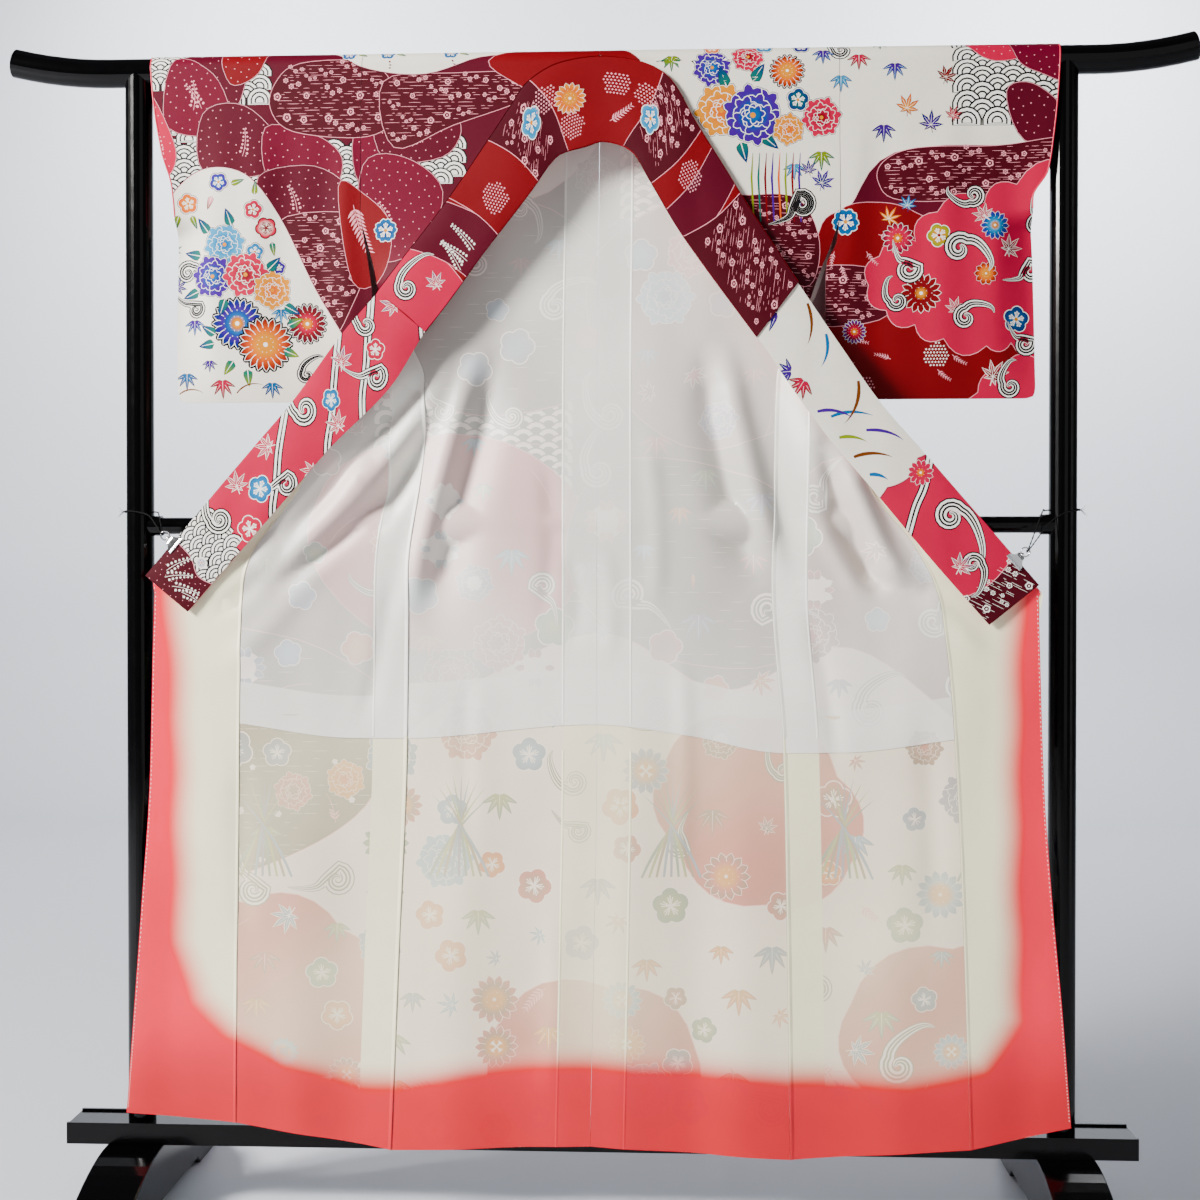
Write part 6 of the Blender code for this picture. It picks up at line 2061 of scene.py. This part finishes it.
def lining_tint(colour_of, low, high):
    """A tint that shows the print faintly through a lining, more where the two silks touch."""

    def tint(colours, places, veil):
        base = colour_of(places)
        ghost = (low + (high - low) * contact(places))[..., None] * veil[..., None]
        if colour_of is hakkake_colour:
            ghost = ghost * (1 - 0.95 * coral_share(places)[..., None])
        behind = colours * GHOST_WARMTH * 0.85 + base * 0.15
        return base * (1 - ghost) + behind * ghost

    return tint


# How far down the upper lining's free hem hangs: (x, distance measured along the body)
DOURA_HEM = mm(-510, 967, -345, 988, -270, 988, 0, 968, 130, 983, 262, 1007, 345, 1006, 510, 985)


def hem_edge(panel, turn):
    """The free hem's distance down as a function of the panel's share."""

    def edge(share):
        share = np.atleast_1d(np.asarray(share, float))
        x = panel.to_canvas(np.full(len(share), LINING_SPLIT), share, turn)[:, 0]
        found = along(DOURA_HEM, x)[:, 0]
        return found if len(found) > 1 else found[0]

    return edge


def edge_veil(panel, turn, first, last, width, factor, from_end=False):
    """A veil over the seam allowance along one edge of a panel."""
    count = 60
    rows = np.linspace(first, last, count)
    inner = panel.to_canvas(rows, np.full(count, 1.0 if from_end else 0.0), turn)
    outer = inner.copy()
    outer[:, 0] += width * (-turn if from_end else turn)
    return np.concatenate([inner, outer[::-1]]), factor


def hem_veil(panel, turn, height, factor):
    """A veil over the doubled silk just above the upper lining's hem."""
    count = 30
    shares = np.linspace(-0.01, 1.01, count)
    downs = hem_edge(panel, turn)(shares)
    low = panel.to_canvas(np.full(count, LINING_SPLIT), shares, turn)
    low[:, 1] = -downs - 0.01
    high = low.copy()
    high[:, 1] = -downs + height
    return np.concatenate([low, high[::-1]]), factor


front_print = front_art()
back_print = back_art()
okumi_lining_art = Art()
okumi_lining_art.add(mm(-720, -1620, 720, -1620, 720, 20, -720, 20), IVORY)

# The sheets stay this share of their width off their seams
GAP_SHARE = 0.0008
SHARES = (GAP_SHARE, 1.0 - GAP_SHARE)
SLEEVE_SHARES = (0.0015, 1.0)
BAND_SHARES = (-0.012, 1.012)
# The cloth bends over the bar down to here, with rows this far apart
BEND_END = 0.06
BEND_ROW = 0.0042
# Pattern shapes smaller than these are left out where only the back view or a lining shows them
BACK_SMALLEST = 0.0155
FAR_SMALLEST = 0.026
UPPER_SMALLEST = 0.017
LOWER_SMALLEST = 0.008
FAR_STEPS = (0.012, 0.012)
LINING_STEPS = (0.008, 0.008)
UPPER_OUT = LINING_OUT - 0.0007
# The upper lining's sheet reaches down to here, and the lower lining starts behind it
UPPER_LAST = 1.01
LOWER_FIRST = 0.955
# How strongly the print shows through each lining, from loose to touching
UPPER_GHOST = (0.22, 0.52)
LOWER_GHOST = (0.4, 0.74)
# Veils over the seam allowances end below the upper lining, or start above the lower one
VEIL_LAST = 1.03
VEIL_FIRST = 0.9
BACK_ALLOWANCE = 0.048
FRONT_ALLOWANCE = 0.049
# The material slots of a printed sheet
PRINTED, PLAIN = 0, 1

# Raised seams: (distance from the seam, height, shade). The shade is painted light: below 1 it is painted
# shade in the groove at the seam, above 1 a painted highlight on a ridge's crest.
SIDE_STRIP = [
    (0.0, -0.0004, 0.35), (0.0007, 0.0009, 0.62), (0.0016, 0.0012, 1.0), (0.0034, 0.0008, 1.0),
    (0.0062, 0.0, 1.0),
]
OKUMI_STRIP = [
    (0.0, -0.0004, 0.35), (0.0006, 0.0007, 0.62), (0.0014, 0.001, 1.0), (0.003, 0.0006, 1.0),
    (0.0052, 0.0, 1.0),
]
# RIDGE lightens its crest as a painted highlight and darkens just past it as painted shade
RIDGE = [(-0.002, 0.0, 1.0), (-0.0006, 0.0004, 1.04), (0.0004, 0.0005, 1.05), (0.0016, 0.0, 0.97)]

# Each sheet's materials, its slot, and the cut of what shows of it: width, length and area in metres
SHEET, LINING, BAND = [print_silk, inner_silk], [inner_silk], [print_silk]
CUTS = {
    "back": (SHEET, "silk_print", 0.335, 1.57, 0.46),
    "front": (SHEET, "silk_print", 0.335, 1.57, 0.315),
    "okumi": (SHEET, "silk_print", 0.15, 1.18, 0.14),
    "doura_back": (LINING, "white_silk", 0.335, 0.913, 0.27),
    "hakkake_back": (LINING, "lower_lining", 0.29, 0.595, 0.167),
    "doura_front": (LINING, "white_silk", 0.2, 0.545, 0.107),
    "hakkake_front": (LINING, "lower_lining", 0.26, 0.595, 0.142),
    "hakkake_okumi": (LINING, "lower_lining", 0.15, 1.18, 0.137),
    "sleeve": (SHEET, "silk_print", 0.32, 1.017, 0.3),
    "collar": (BAND, "silk_print", 0.087, 2.08, 0.178),
    "over_collar": (BAND, "silk_print", 0.092, 0.93, 0.084),
}


def back_panel(side):
    return Panel(
        lambda down: seam(SIDE_BACK[side], down, 1), lambda down: seam(CENTRE_BACK, down, 1),
        0.0, HEM_DOWN, 1.0, 0.2,
    )


def front_panel(side):
    return Panel(
        lambda down: front_side(side, down), lambda down: front_inner(side, down),
        0.0, HEM_DOWN, -1.0, 0.2,
    )


def okumi_panel(side):
    return Panel(
        lambda down: seam(OKUMI_SEAM[side], down, -1), lambda down: okumi_outer(side, down),
        OKUMI_TOP, HEM_DOWN, 1.0, 1.0,
    )


def raised(table, at):
    """A strip's table moved to a distance from the seam."""
    return [(at + distance, height, shade) for distance, height, shade in table]


def piping(cloth, panel):
    """A thin cord of coral silk along the cuff."""
    rows = np.linspace(0.012, CUFF_DOWN, 48)
    path = panel.place(rows, np.full(len(rows), 0.998))
    points, faces, outwards = swept(path, 0.0012, 7)
    faces = faces_towards(points, np.array(faces[:-2]), outwards)[0]
    shade = np.broadcast_to(linear(PIPING), (len(faces) * 4, 3))
    flat = np.stack([points[:, 0], points[:, 2]], axis=1)
    cloth.extend(points, outwards, faces, shade, flat[faces], PLAIN)


def edge_stitches(cloth, panel):
    """Small pale stitches just inside the free edge, on the lining side."""
    ends = [abs(panel.place(np.array([1.2]), np.array([share]))[0, 0]) for share in (0.0, 1.0)]
    outer = 1.0 if ends[1] > ends[0] else 0.0
    inwards = -1.0 if outer else 1.0
    middles = np.arange(0.62, HEM_DOWN - 0.01, 0.0062)
    across = 0.0012 / np.maximum(panel.width(middles), 1e-3)
    for middle, step in zip(middles, across):
        down = np.array([middle - 0.0011, middle + 0.0011] * 3)
        share = np.repeat(outer + inwards * step * np.array([1.2, 1.6, 2.0]), 2)
        height = np.repeat([LINING_OUT - 0.0001, LINING_OUT - 0.0005, LINING_OUT - 0.0001], 2)
        normals = panel.normals(down, share)
        points = panel.place(down, share) + normals * height[:, None]
        faces = faces_towards(points, np.array([(0, 1, 3, 2), (2, 3, 5, 4)]), -normals)[0]
        shade = np.broadcast_to(linear(STITCH), (8, 3))
        flat = panel.to_canvas(down, share, 1.0)
        cloth.extend(points, -normals, faces, shade, flat[faces], 0)


def finish_cloth(cloth, kind, rests_on):
    """Builds a cloth piece with its cut's materials, puts it under the root and hides the solid it stands
    for. What it hangs from is given but not used.
    """
    materials, slot_name, width, length, area = CUTS[kind]
    made = cloth.build(materials)
    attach(made, "root")
    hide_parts(cloth.name.replace("cloth_", ""))
    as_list(rests_on)


def bent_print(cloth, panel, art, turn, last, bend_column, steps, small, shares=SHARES):
    """The printed side from the bar down, with finer rows where it bends over the bar."""
    bend_steps = (BEND_ROW, bend_column)
    cloth.painted(panel, art, turn, 0.0, BEND_END, SILK / 2, bend_steps, PRINTED, small, shares=shares)
    cloth.painted(panel, art, turn, BEND_END, last, SILK / 2, steps, PRINTED, small, shares=shares)


def far_print(cloth, panel, turn):
    """The printed side below the okumi's top, where it faces away from the viewer."""
    cloth.painted(
        panel, back_print, turn, OKUMI_TOP, HEM_DOWN, SILK / 2, FAR_STEPS, PRINTED, FAR_SMALLEST,
        shares=SHARES,
    )


def plain_back(cloth, panel, first, last, row_step, columns, shares=SHARES):
    """The undyed side of a printed sheet, with the rim that closes it."""
    half = SILK / 2
    cloth.plain(
        panel, first, last, -half, row_step, columns, BACK_OF_PRINT, PLAIN, rim_to=half, shares=shares
    )


def upper_lining(name, panel, turn, first, columns, veils):
    """White silk with the print faint behind it, and its free hem."""
    cloth = Cloth(name)
    tint = lining_tint(doura_colour, *UPPER_GHOST)
    cloth.painted(
        panel, back_print, turn, first, UPPER_LAST, UPPER_OUT, LINING_STEPS, 0, UPPER_SMALLEST, tint,
        SHARES, veils, hem_edge(panel, turn),
    )
    cloth.plain(panel, first, LINING_SPLIT, LINING_IN, 0.012, columns, DOURA_WHITE, 0, shares=SHARES)
    return cloth


def lower_lining(name, panel, turn, veils):
    """Silk shaded from cream to coral, with the print faint behind it."""
    cloth = Cloth(name)
    tint = lining_tint(hakkake_colour, *LOWER_GHOST)
    cloth.painted(
        panel, back_print, turn, LOWER_FIRST, HEM_DOWN, LINING_OUT, LINING_STEPS, 0, LOWER_SMALLEST, tint,
        SHARES, veils,
    )
    cloth.plain(
        panel, LINING_SPLIT, HEM_DOWN, LINING_IN, 0.02, 16, CREAM, 0, rim_to=LINING_OUT, shares=SHARES
    )
    return cloth


for side, hand in (("left", 1.0), ("right", -1.0)):
    back, front, okumi = back_panel(side), front_panel(side), okumi_panel(side)
    on_back, on_front = [f"cloth_back_{side}"], [f"cloth_front_{side}"]

    cloth = Cloth(f"cloth_back_{side}")
    bent_print(cloth, back, back_print, hand, HEM_DOWN, 0.012, (0.012, 0.012), BACK_SMALLEST)
    plain_back(cloth, back, 0.0, HEM_DOWN, 0.008, 30)
    finish_cloth(cloth, "back", ["top_bar"])

    cloth = Cloth(f"cloth_front_{side}")
    bent_print(cloth, front, front_print, hand, OKUMI_TOP, 0.01, (0.007, 0.01), 0.0)
    far_print(cloth, front, -hand)
    plain_back(cloth, front, 0.0, HEM_DOWN, 0.007, 22)
    finish_cloth(cloth, "front", ["top_bar"])

    cloth = Cloth(f"cloth_okumi_{side}")
    far_print(cloth, okumi, -hand)
    plain_back(cloth, okumi, OKUMI_TOP, HEM_DOWN, 0.01, 12)
    finish_cloth(cloth, "okumi", on_front)

    veils = [
        edge_veil(back, hand, LINING_TOP, VEIL_LAST, BACK_ALLOWANCE, 0.45, from_end=True),
        hem_veil(back, hand, 0.078, 0.3),
    ]
    cloth = upper_lining(f"cloth_doura_back_{side}", back, hand, LINING_TOP, 36, veils)
    ridge = raised(RIDGE, BACK_ALLOWANCE)
    cloth.strip(back, hand, LINING_TOP, 0.966, ridge, UPPER_OUT, doura_colour, from_end=True)
    finish_cloth(cloth, "doura_back", on_back)

    veils = [edge_veil(back, hand, VEIL_FIRST, HEM_DOWN + 0.01, BACK_ALLOWANCE, 0.55, from_end=True)]
    cloth = lower_lining(f"cloth_hakkake_back_{side}", back, hand, veils)
    cloth.strip(back, hand, 1.005, HEM_DOWN, ridge, LINING_OUT, hakkake_colour, from_end=True)
    finish_cloth(cloth, "hakkake_back", on_back)

    veils = [
        edge_veil(front, -hand, 0.42, VEIL_LAST, FRONT_ALLOWANCE, 0.12),
        hem_veil(front, -hand, 0.06, 0.35),
    ]
    cloth = upper_lining(f"cloth_doura_front_{side}", front, -hand, SIDE_SEAM_DOWN, 30, veils)
    for strip in (SIDE_STRIP, raised(RIDGE, FRONT_ALLOWANCE)):
        cloth.strip(front, -hand, SIDE_SEAM_DOWN, 0.985, strip, UPPER_OUT, doura_colour)
    finish_cloth(cloth, "doura_front", on_front)

    veils = [edge_veil(front, -hand, VEIL_FIRST, HEM_DOWN + 0.01, 0.05, 0.05)]
    cloth = lower_lining(f"cloth_hakkake_front_{side}", front, -hand, veils)
    cloth.strip(front, -hand, 0.985, HEM_DOWN, SIDE_STRIP, LINING_OUT, hakkake_colour)
    finish_cloth(cloth, "hakkake_front", on_front)

    cloth = Cloth(f"cloth_hakkake_okumi_{side}")
    tint = lining_tint(hakkake_colour, 0.0, 0.0)
    cloth.painted(
        okumi, okumi_lining_art, -hand, OKUMI_TOP, HEM_DOWN, LINING_OUT, (0.009, 0.006), 0, 0.02, tint,
        SHARES,
    )
    cloth.plain(
        okumi, OKUMI_TOP, HEM_DOWN, LINING_IN, 0.03, 8, CREAM, 0, rim_to=LINING_OUT, shares=SHARES
    )
    cloth.strip(okumi, -hand, OKUMI_TOP + 0.02, HEM_DOWN, OKUMI_STRIP, LINING_OUT, hakkake_colour)
    edge_stitches(cloth, okumi)
    finish_cloth(cloth, "hakkake_okumi", [f"cloth_okumi_{side}"])

    cloth = Cloth(f"cloth_sleeve_{side}")
    for sign_y, art, small in ((-1.0, front_print, 0.0), (1.0, back_print, BACK_SMALLEST)):
        half_sleeve = Sleeve(side, sign_y)
        steps = (0.008, 0.008)
        bent_print(
            cloth, half_sleeve, art, -hand, SLEEVE_BOTTOM_DOWN, 0.01, steps, small, SLEEVE_SHARES
        )
        plain_back(cloth, half_sleeve, 0.0, SLEEVE_BOTTOM_DOWN, 0.008, 26, SLEEVE_SHARES)
        piping(cloth, half_sleeve)
    finish_cloth(cloth, "sleeve", ["top_bar"])

band = Band(0, len(COLLAR_STATIONS) - 1)
half_band = COLLAR_THICKNESS / 2
cloth = Cloth("cloth_collar")
cloth.painted(
    band, collar_art(band.length, band.mean_width), 1.0, 0.0, band.length, half_band, (0.012, 0.006)
)
cloth.plain(band, 0.0, band.length, -half_band, 0.012, 8, PINK, 0, rim_to=half_band)
finish_cloth(cloth, "collar", ["clip_left", "clip_right"])

neck = Band(OVER_COLLAR_FIRST, OVER_COLLAR_LAST)
lift = COLLAR_THICKNESS / 2 + LAYER_GAP + SILK
cloth = Cloth("cloth_over_collar")
cloth.painted(
    neck, over_collar_art(neck.length, neck.mean_width), 1.0, 0.0, neck.length, lift, (0.006, 0.006),
    shares=BAND_SHARES,
)
cloth.plain(neck, 0.0, neck.length, lift - SILK, 0.012, 8, RED, 0, rim_to=lift, shares=BAND_SHARES)
finish_cloth(cloth, "over_collar", ["cloth_collar"])

for name in ("top_bar", "post_left", "post_right", "mid_bar", "base_beam", "foot_left", "foot_right"):
    for place in bpy.data.objects[name].material_slots:
        place.material = black_lacquer


# Clips and ties, from the same values as their solids
CLIP_BACK = 0.009
CLIP_FRONT_Y = 0.0016
CLIP_BACK_Y = 0.0062
RING_RADIUS = 0.0062
RING_WIRE = 0.0011
CORD_RADIUS = 0.0009
SPRING_OUT = 0.0046
COIL_RADIUS = 0.0019
COIL_LENGTH = 0.0068
PLY_OFFSET = 0.00042
PLY_RADIUS = 0.00062
PLY_TURN = 0.0052
POST_X = 0.659
CLIPS = {
    "left": ((-0.5974, 0.9523), (-0.6367, 0.9059), (-0.5317, 1.0299), -0.0449),
    "right": ((0.5855, 0.9279), (0.6157, 0.8927), (0.5351, 0.9868), -0.0452),
}
TIE_ROUTES = metres({
    "left": [
        (-210, 0, 9985), (-180, -130, 9990), (-80, -206, 9985), (60, -235, 9965), (230, -300, 9905),
    ],
    "right": [
        (-210, 0, 9985), (-180, -130, 9975), (-80, -206, 9955), (60, -235, 9915), (260, -300, 9780),
    ],
})
TIE_RETURN = metres([
    (340, -225, 9935), (270, -60, 9970), (180, 100, 9985), (80, 206, 9990), (-90, 206, 9992),
    (-180, 130, 9990),
])


def clip_frame(side):
    """The clip's centre, the band edge's direction and the way outwards from the band."""
    (x, z), low_end, high_end, y = CLIPS[side]
    edge = np.array([high_end[0] - low_end[0], 0.0, high_end[1] - low_end[1]])
    edge = edge / np.linalg.norm(edge)
    outwards = np.array([-edge[2], 0.0, edge[0]])
    if outwards[2] < 0:
        outwards = -outwards
    return np.array([x, y, z]), edge, outwards


def build_clip(side):
    """Two sprung jaws with rolled lips, a coil spring on its pin, a bead and a ring."""
    centre, edge, outwards = clip_frame(side)
    middle_v = (CLIP_BACK_Y - CLIP_FRONT_Y) / 2

    def place(u, v, d):
        return centre + outwards * u + np.array([0.0, v, 0.0]) + edge * d

    front_rows = [
        (-0.0066, -CLIP_FRONT_Y - 0.0009, 0.0133), (-0.0044, -CLIP_FRONT_Y - 0.0013, 0.0133),
        (-0.002, -CLIP_FRONT_Y - 0.0014, 0.0126), (0.0006, -CLIP_FRONT_Y - 0.0013, 0.0096),
        (0.0034, -CLIP_FRONT_Y - 0.0012, 0.0066), (0.0062, -CLIP_FRONT_Y - 0.0002, 0.0057),
        (0.0092, 0.0008, 0.0054),
    ]
    back_rows = [(u, 2 * middle_v - v, half) for u, v, half in front_rows]
    shapes = [(*bent_plate(front_rows, 0.0008, place), 0), (*bent_plate(back_rows, 0.0008, place), 1)]
    for v in (-CLIP_FRONT_Y - 0.001, CLIP_BACK_Y + 0.001):
        lip = [place(-0.007, v, d) for d in np.linspace(-0.0135, 0.0135, 5)]
        shapes.append((*swept(lip, 0.0013, 10)[:2], 0))
    shadow_line = [place(-0.005, -CLIP_FRONT_Y - 0.0018, d) for d in np.linspace(-0.0122, 0.0122, 5)]
    shapes.append((*swept(shadow_line, 0.0006, 8)[:2], 0))
    for d in (-0.0057, 0.0057):
        ear = [place(0.004, v, d) for v in np.linspace(-CLIP_FRONT_Y - 0.0014, CLIP_BACK_Y + 0.0014, 5)]
        shapes.append((*swept(ear, [0.0012, 0.0017, 0.0018, 0.0017, 0.0012], 10)[:2], 0))
    pin = [place(SPRING_OUT, middle_v, d) for d in np.linspace(-0.0066, 0.0066, 5)]
    shapes.append((*swept(pin, 0.0007, 8)[:2], 0))
    coil = []
    coil_steps = 89
    for index, angle in enumerate(np.linspace(0.0, 2 * math.pi * 5, coil_steps + 1)):
        u = SPRING_OUT + COIL_RADIUS * math.cos(angle)
        v = middle_v + COIL_RADIUS * math.sin(angle)
        coil.append(place(u, v, COIL_LENGTH * index / coil_steps - COIL_LENGTH / 2))
    shapes.append((*swept(coil, 0.00045, 6)[:2], 0))
    shapes.append((*ball(place(CLIP_BACK + 0.0012, middle_v, 0.0), 0.003), 0))
    ring = centre + outwards * (CLIP_BACK + RING_RADIUS + 0.0006) + np.array([0.0, middle_v, 0.0])
    angles = np.linspace(0.0, 2 * math.pi, 40, endpoint=False)
    loop = [ring + (outwards * math.cos(a) + edge * math.sin(a)) * RING_RADIUS for a in angles]
    shapes.append((*swept(loop, RING_WIRE, 10, closed=True)[:2], 0))
    solid_piece(f"sprung_clip_{side}", shapes, [steel, brass], f"clip_{side}")
    return ring, outwards


def build_tie(side, ring, outwards):
    """Two-ply cord through the ring and round the post, with a knot on its far side and frayed ends."""
    sign = -1.0 if side == "left" else 1.0
    inwards = np.array([-sign, 0.0, 0.0])
    post = np.array([sign * POST_X, 0.0, 0.0])
    through = ring + outwards * (RING_RADIUS - RING_WIRE - CORD_RADIUS - 0.0005)
    near = [
        ring + outwards * (RING_RADIUS + 0.001) + np.array([0.0, -0.0042, 0.0]),
        through + np.array([0.0, -0.0012, 0.0]) - outwards * 0.0004,
        through + np.array([0.0, 0.0012, 0.0]) - outwards * 0.0004,
        ring + outwards * (RING_RADIUS + 0.001) + np.array([0.0, 0.0042, 0.0]),
    ]
    front = [post + inwards * share + np.array([0.0, y, z]) for share, y, z in TIE_ROUTES[side]]
    back = [post + inwards * share + np.array([0.0, y, z]) for share, y, z in TIE_RETURN]
    path = smooth_path(front + near + back, 26, closed=True)
    steps = np.roll(path, -1, axis=0) - np.roll(path, 1, axis=0)
    steps /= np.linalg.norm(steps, axis=1)[:, None]
    normal = np.cross(steps, np.array([0.0, 0.0, 1.0]))
    normal = unit_rows(normal, 1e-9)
    other = np.cross(steps, normal)
    length = np.linalg.norm(np.diff(path, axis=0, append=path[:1]), axis=1).sum()
    twist = 2 * math.pi * round(length / PLY_TURN) * np.arange(len(path)) / len(path)
    shapes = []
    for phase in (0.0, math.pi):
        angle = (twist + phase)[:, None]
        ply = path + (normal * np.cos(angle) + other * np.sin(angle)) * PLY_OFFSET
        shapes.append((*swept(ply, PLY_RADIUS, 6, closed=True)[:2], 0))
    knot = post - inwards * 0.0216 + np.array([0.0, -0.0006, 0.9985])
    a = np.linspace(0.0, 2 * math.pi, 60, endpoint=False)
    loops = [np.sin(a) + 2 * np.sin(2 * a), np.cos(a) - 2 * np.cos(2 * a), -np.sin(3 * a)]
    trefoil = knot + np.stack(loops, axis=1) * np.array([0.0007, 0.0011, 0.0011])
    shapes.append((*swept(trefoil, 0.0008, 6, closed=True)[:2], 0))
    for number, (rise, forward, reach) in enumerate(
        (
            (0.9, -0.4, 0.0085), (0.5, -0.9, 0.007), (-0.2, -0.5, 0.008), (-1.1, -0.3, 0.01),
            (0.1, 0.3, 0.006), (-0.7, -0.8, 0.0065),
        )
    ):
        t = np.linspace(0.0, 1.0, 7)[:, None]
        tail = knot - inwards * (0.0012 + reach * t) + np.array([0.0, forward, rise]) * reach * t**1.4 * 0.8
        tail[:, 2] -= 0.002 * t[:, 0] ** 2 * (number % 3)
        shapes.append((*swept(tail, 0.00034 * (1 - 0.5 * t[:, 0]), 5)[:2], 0))
    solid_piece(f"twisted_tie_{side}", shapes, [cord_cotton], f"tie_{side}")


brass = metal("brass", (0.8, 0.6, 0.28), 0.2)
for side in ("left", "right"):
    ring, outwards = build_clip(side)
    build_tie(side, ring, outwards)


def stage_surface(name, points, faces, colour, roughness, low_share=None):
    """A surface that only stands round the object. low_share darkens it towards the floor as painted shade:
    from 1 m high down to the floor its colour falls to that share.
    """
    mesh = bpy.data.meshes.new(name)
    mesh.from_pydata(points, [], faces)
    made, tree, shader = new_material(name)
    set_inputs(shader, Base_Color=(*colour, 1.0), Roughness=roughness)
    if low_share is not None:
        # Painted shade: a ramp on height that darkens the colour below 1 m
        place = tree.nodes.new("ShaderNodeNewGeometry")
        parts = tree.nodes.new("ShaderNodeSeparateXYZ")
        painted_shade_ramp = tree.nodes.new("ShaderNodeValToRGB")
        painted_shade_ramp.color_ramp.elements[0].position = 0.0
        painted_shade_ramp.color_ramp.elements[0].color = (*(value * low_share for value in colour), 1.0)
        painted_shade_ramp.color_ramp.elements[1].position = 1.0
        painted_shade_ramp.color_ramp.elements[1].color = (*colour, 1.0)
        tree.links.new(place.outputs["Position"], parts.inputs["Vector"])
        tree.links.new(parts.outputs["Z"], painted_shade_ramp.inputs["Fac"])
        tree.links.new(painted_shade_ramp.outputs["Color"], shader.inputs["Base Color"])
    mesh.materials.append(made)
    mesh.shade_smooth()
    linked(name, mesh)


# The studio, in metres
STUDIO_HALF = 6.0
FLOOR_FRONT = -5.0
CURVE_START = 3.6
CURVE_RADIUS = 0.8
CURVE_STEPS = 12
BACKDROP_TOP = 5.0
FLOOR_COLOUR, FLOOR_ROUGHNESS = (0.47, 0.485, 0.53), 0.6
BACKDROP_COLOUR, BACKDROP_ROUGHNESS = (0.62, 0.65, 0.71), 0.7
# The backdrop's painted shade: its colour at the floor, as a share of its colour from 1 m up
BACKDROP_PAINTED_SHADE_SHARE = 0.755
WORLD_COLOUR, WORLD_STRENGTH = (0.9, 0.9, 0.93, 1.0), 0.11
# Each light's name, place, target, width, height, watts and colour
LIGHTS = (
    ("key_light", (-3.5, -2.0, 2.9), (0.1, 0.0, 0.9), 1.0, 1.2, 680.0, (1.0, 0.98, 0.945)),
    ("fill_light", (1.6, -3.6, 1.6), (0.0, 0.0, 0.8), 2.4, 3.0, 14.0, (0.97, 0.98, 1.0)),
    ("wall_light_left", (-1.7, 2.9, 3.3), (-0.9, 4.4, 2.2), 1.2, 1.5, 110.0, (0.97, 0.99, 1.0)),
    ("wall_light_right", (1.9, 2.9, 3.3), (0.8, 4.4, 2.2), 1.2, 1.5, 150.0, (0.97, 0.99, 1.0)),
    ("strip_light_left", (-2.7, -1.5, 1.1), (-0.66, 0.0, 0.9), 0.1, 2.2, 12.0, (1.0, 1.0, 1.0)),
    ("strip_light_right", (2.9, -1.3, 1.1), (0.66, 0.0, 0.9), 0.1, 2.2, 14.0, (1.0, 1.0, 1.0)),
)


def aimed(direction):
    """The turn that points a light or camera along a direction."""
    return direction.to_track_quat("-Z", "Y").to_euler()


def studio():
    """A pale floor that curves up into a pale backdrop, soft lights and a pale world."""
    corners = [(-1, FLOOR_FRONT), (1, FLOOR_FRONT), (1, CURVE_START), (-1, CURVE_START)]
    floor_points = [(side * STUDIO_HALF, y, 0.0) for side, y in corners]
    stage_surface("floor", floor_points, [(0, 1, 2, 3)], FLOOR_COLOUR, FLOOR_ROUGHNESS)
    profile = [(CURVE_START, 0.0)]
    for step in range(1, CURVE_STEPS + 1):
        angle = math.pi / 2 * step / CURVE_STEPS
        y = CURVE_START + CURVE_RADIUS * math.sin(angle)
        profile.append((y, CURVE_RADIUS * (1 - math.cos(angle))))
    profile.append((CURVE_START + CURVE_RADIUS, BACKDROP_TOP))
    points = [(x, y, z) for y, z in profile for x in (-STUDIO_HALF, STUDIO_HALF)]
    faces = [(2 * i, 2 * i + 1, 2 * i + 3, 2 * i + 2) for i in range(len(profile) - 1)]
    stage_surface("backdrop", points, faces, BACKDROP_COLOUR, BACKDROP_ROUGHNESS, BACKDROP_PAINTED_SHADE_SHARE)
    for name, place, target, size, tall, power, colour in LIGHTS:
        light = bpy.data.lights.new(name, "AREA")
        light.shape = "RECTANGLE"
        light.size = size
        light.size_y = tall
        light.energy = power
        light.color = colour
        obj = linked(name, light)
        obj.location = place
        obj.rotation_euler = aimed(Vector(target) - Vector(place))
    world = bpy.data.worlds.new("studio_world")
    bpy.context.scene.world = world
    world.use_nodes = True
    background = world.node_tree.nodes["Background"]
    set_inputs(background, Color=WORLD_COLOUR, Strength=WORLD_STRENGTH)


CAMERA_PLACE = (0.1104, -2.2651, 0.897)
CAMERA_YAW, CAMERA_PITCH = math.radians(-2.631), math.radians(-0.6538)
CAMERA_LENS = 47.62


def camera():
    data = bpy.data.cameras.new("camera")
    data.lens = CAMERA_LENS
    data.sensor_width = 36.0
    obj = linked("camera", data)
    obj.location = CAMERA_PLACE
    level = math.cos(CAMERA_PITCH)
    forward = Vector((math.sin(CAMERA_YAW) * level, math.cos(CAMERA_YAW) * level, math.sin(CAMERA_PITCH)))
    obj.rotation_euler = aimed(forward)
    bpy.context.scene.camera = obj


studio()
camera()
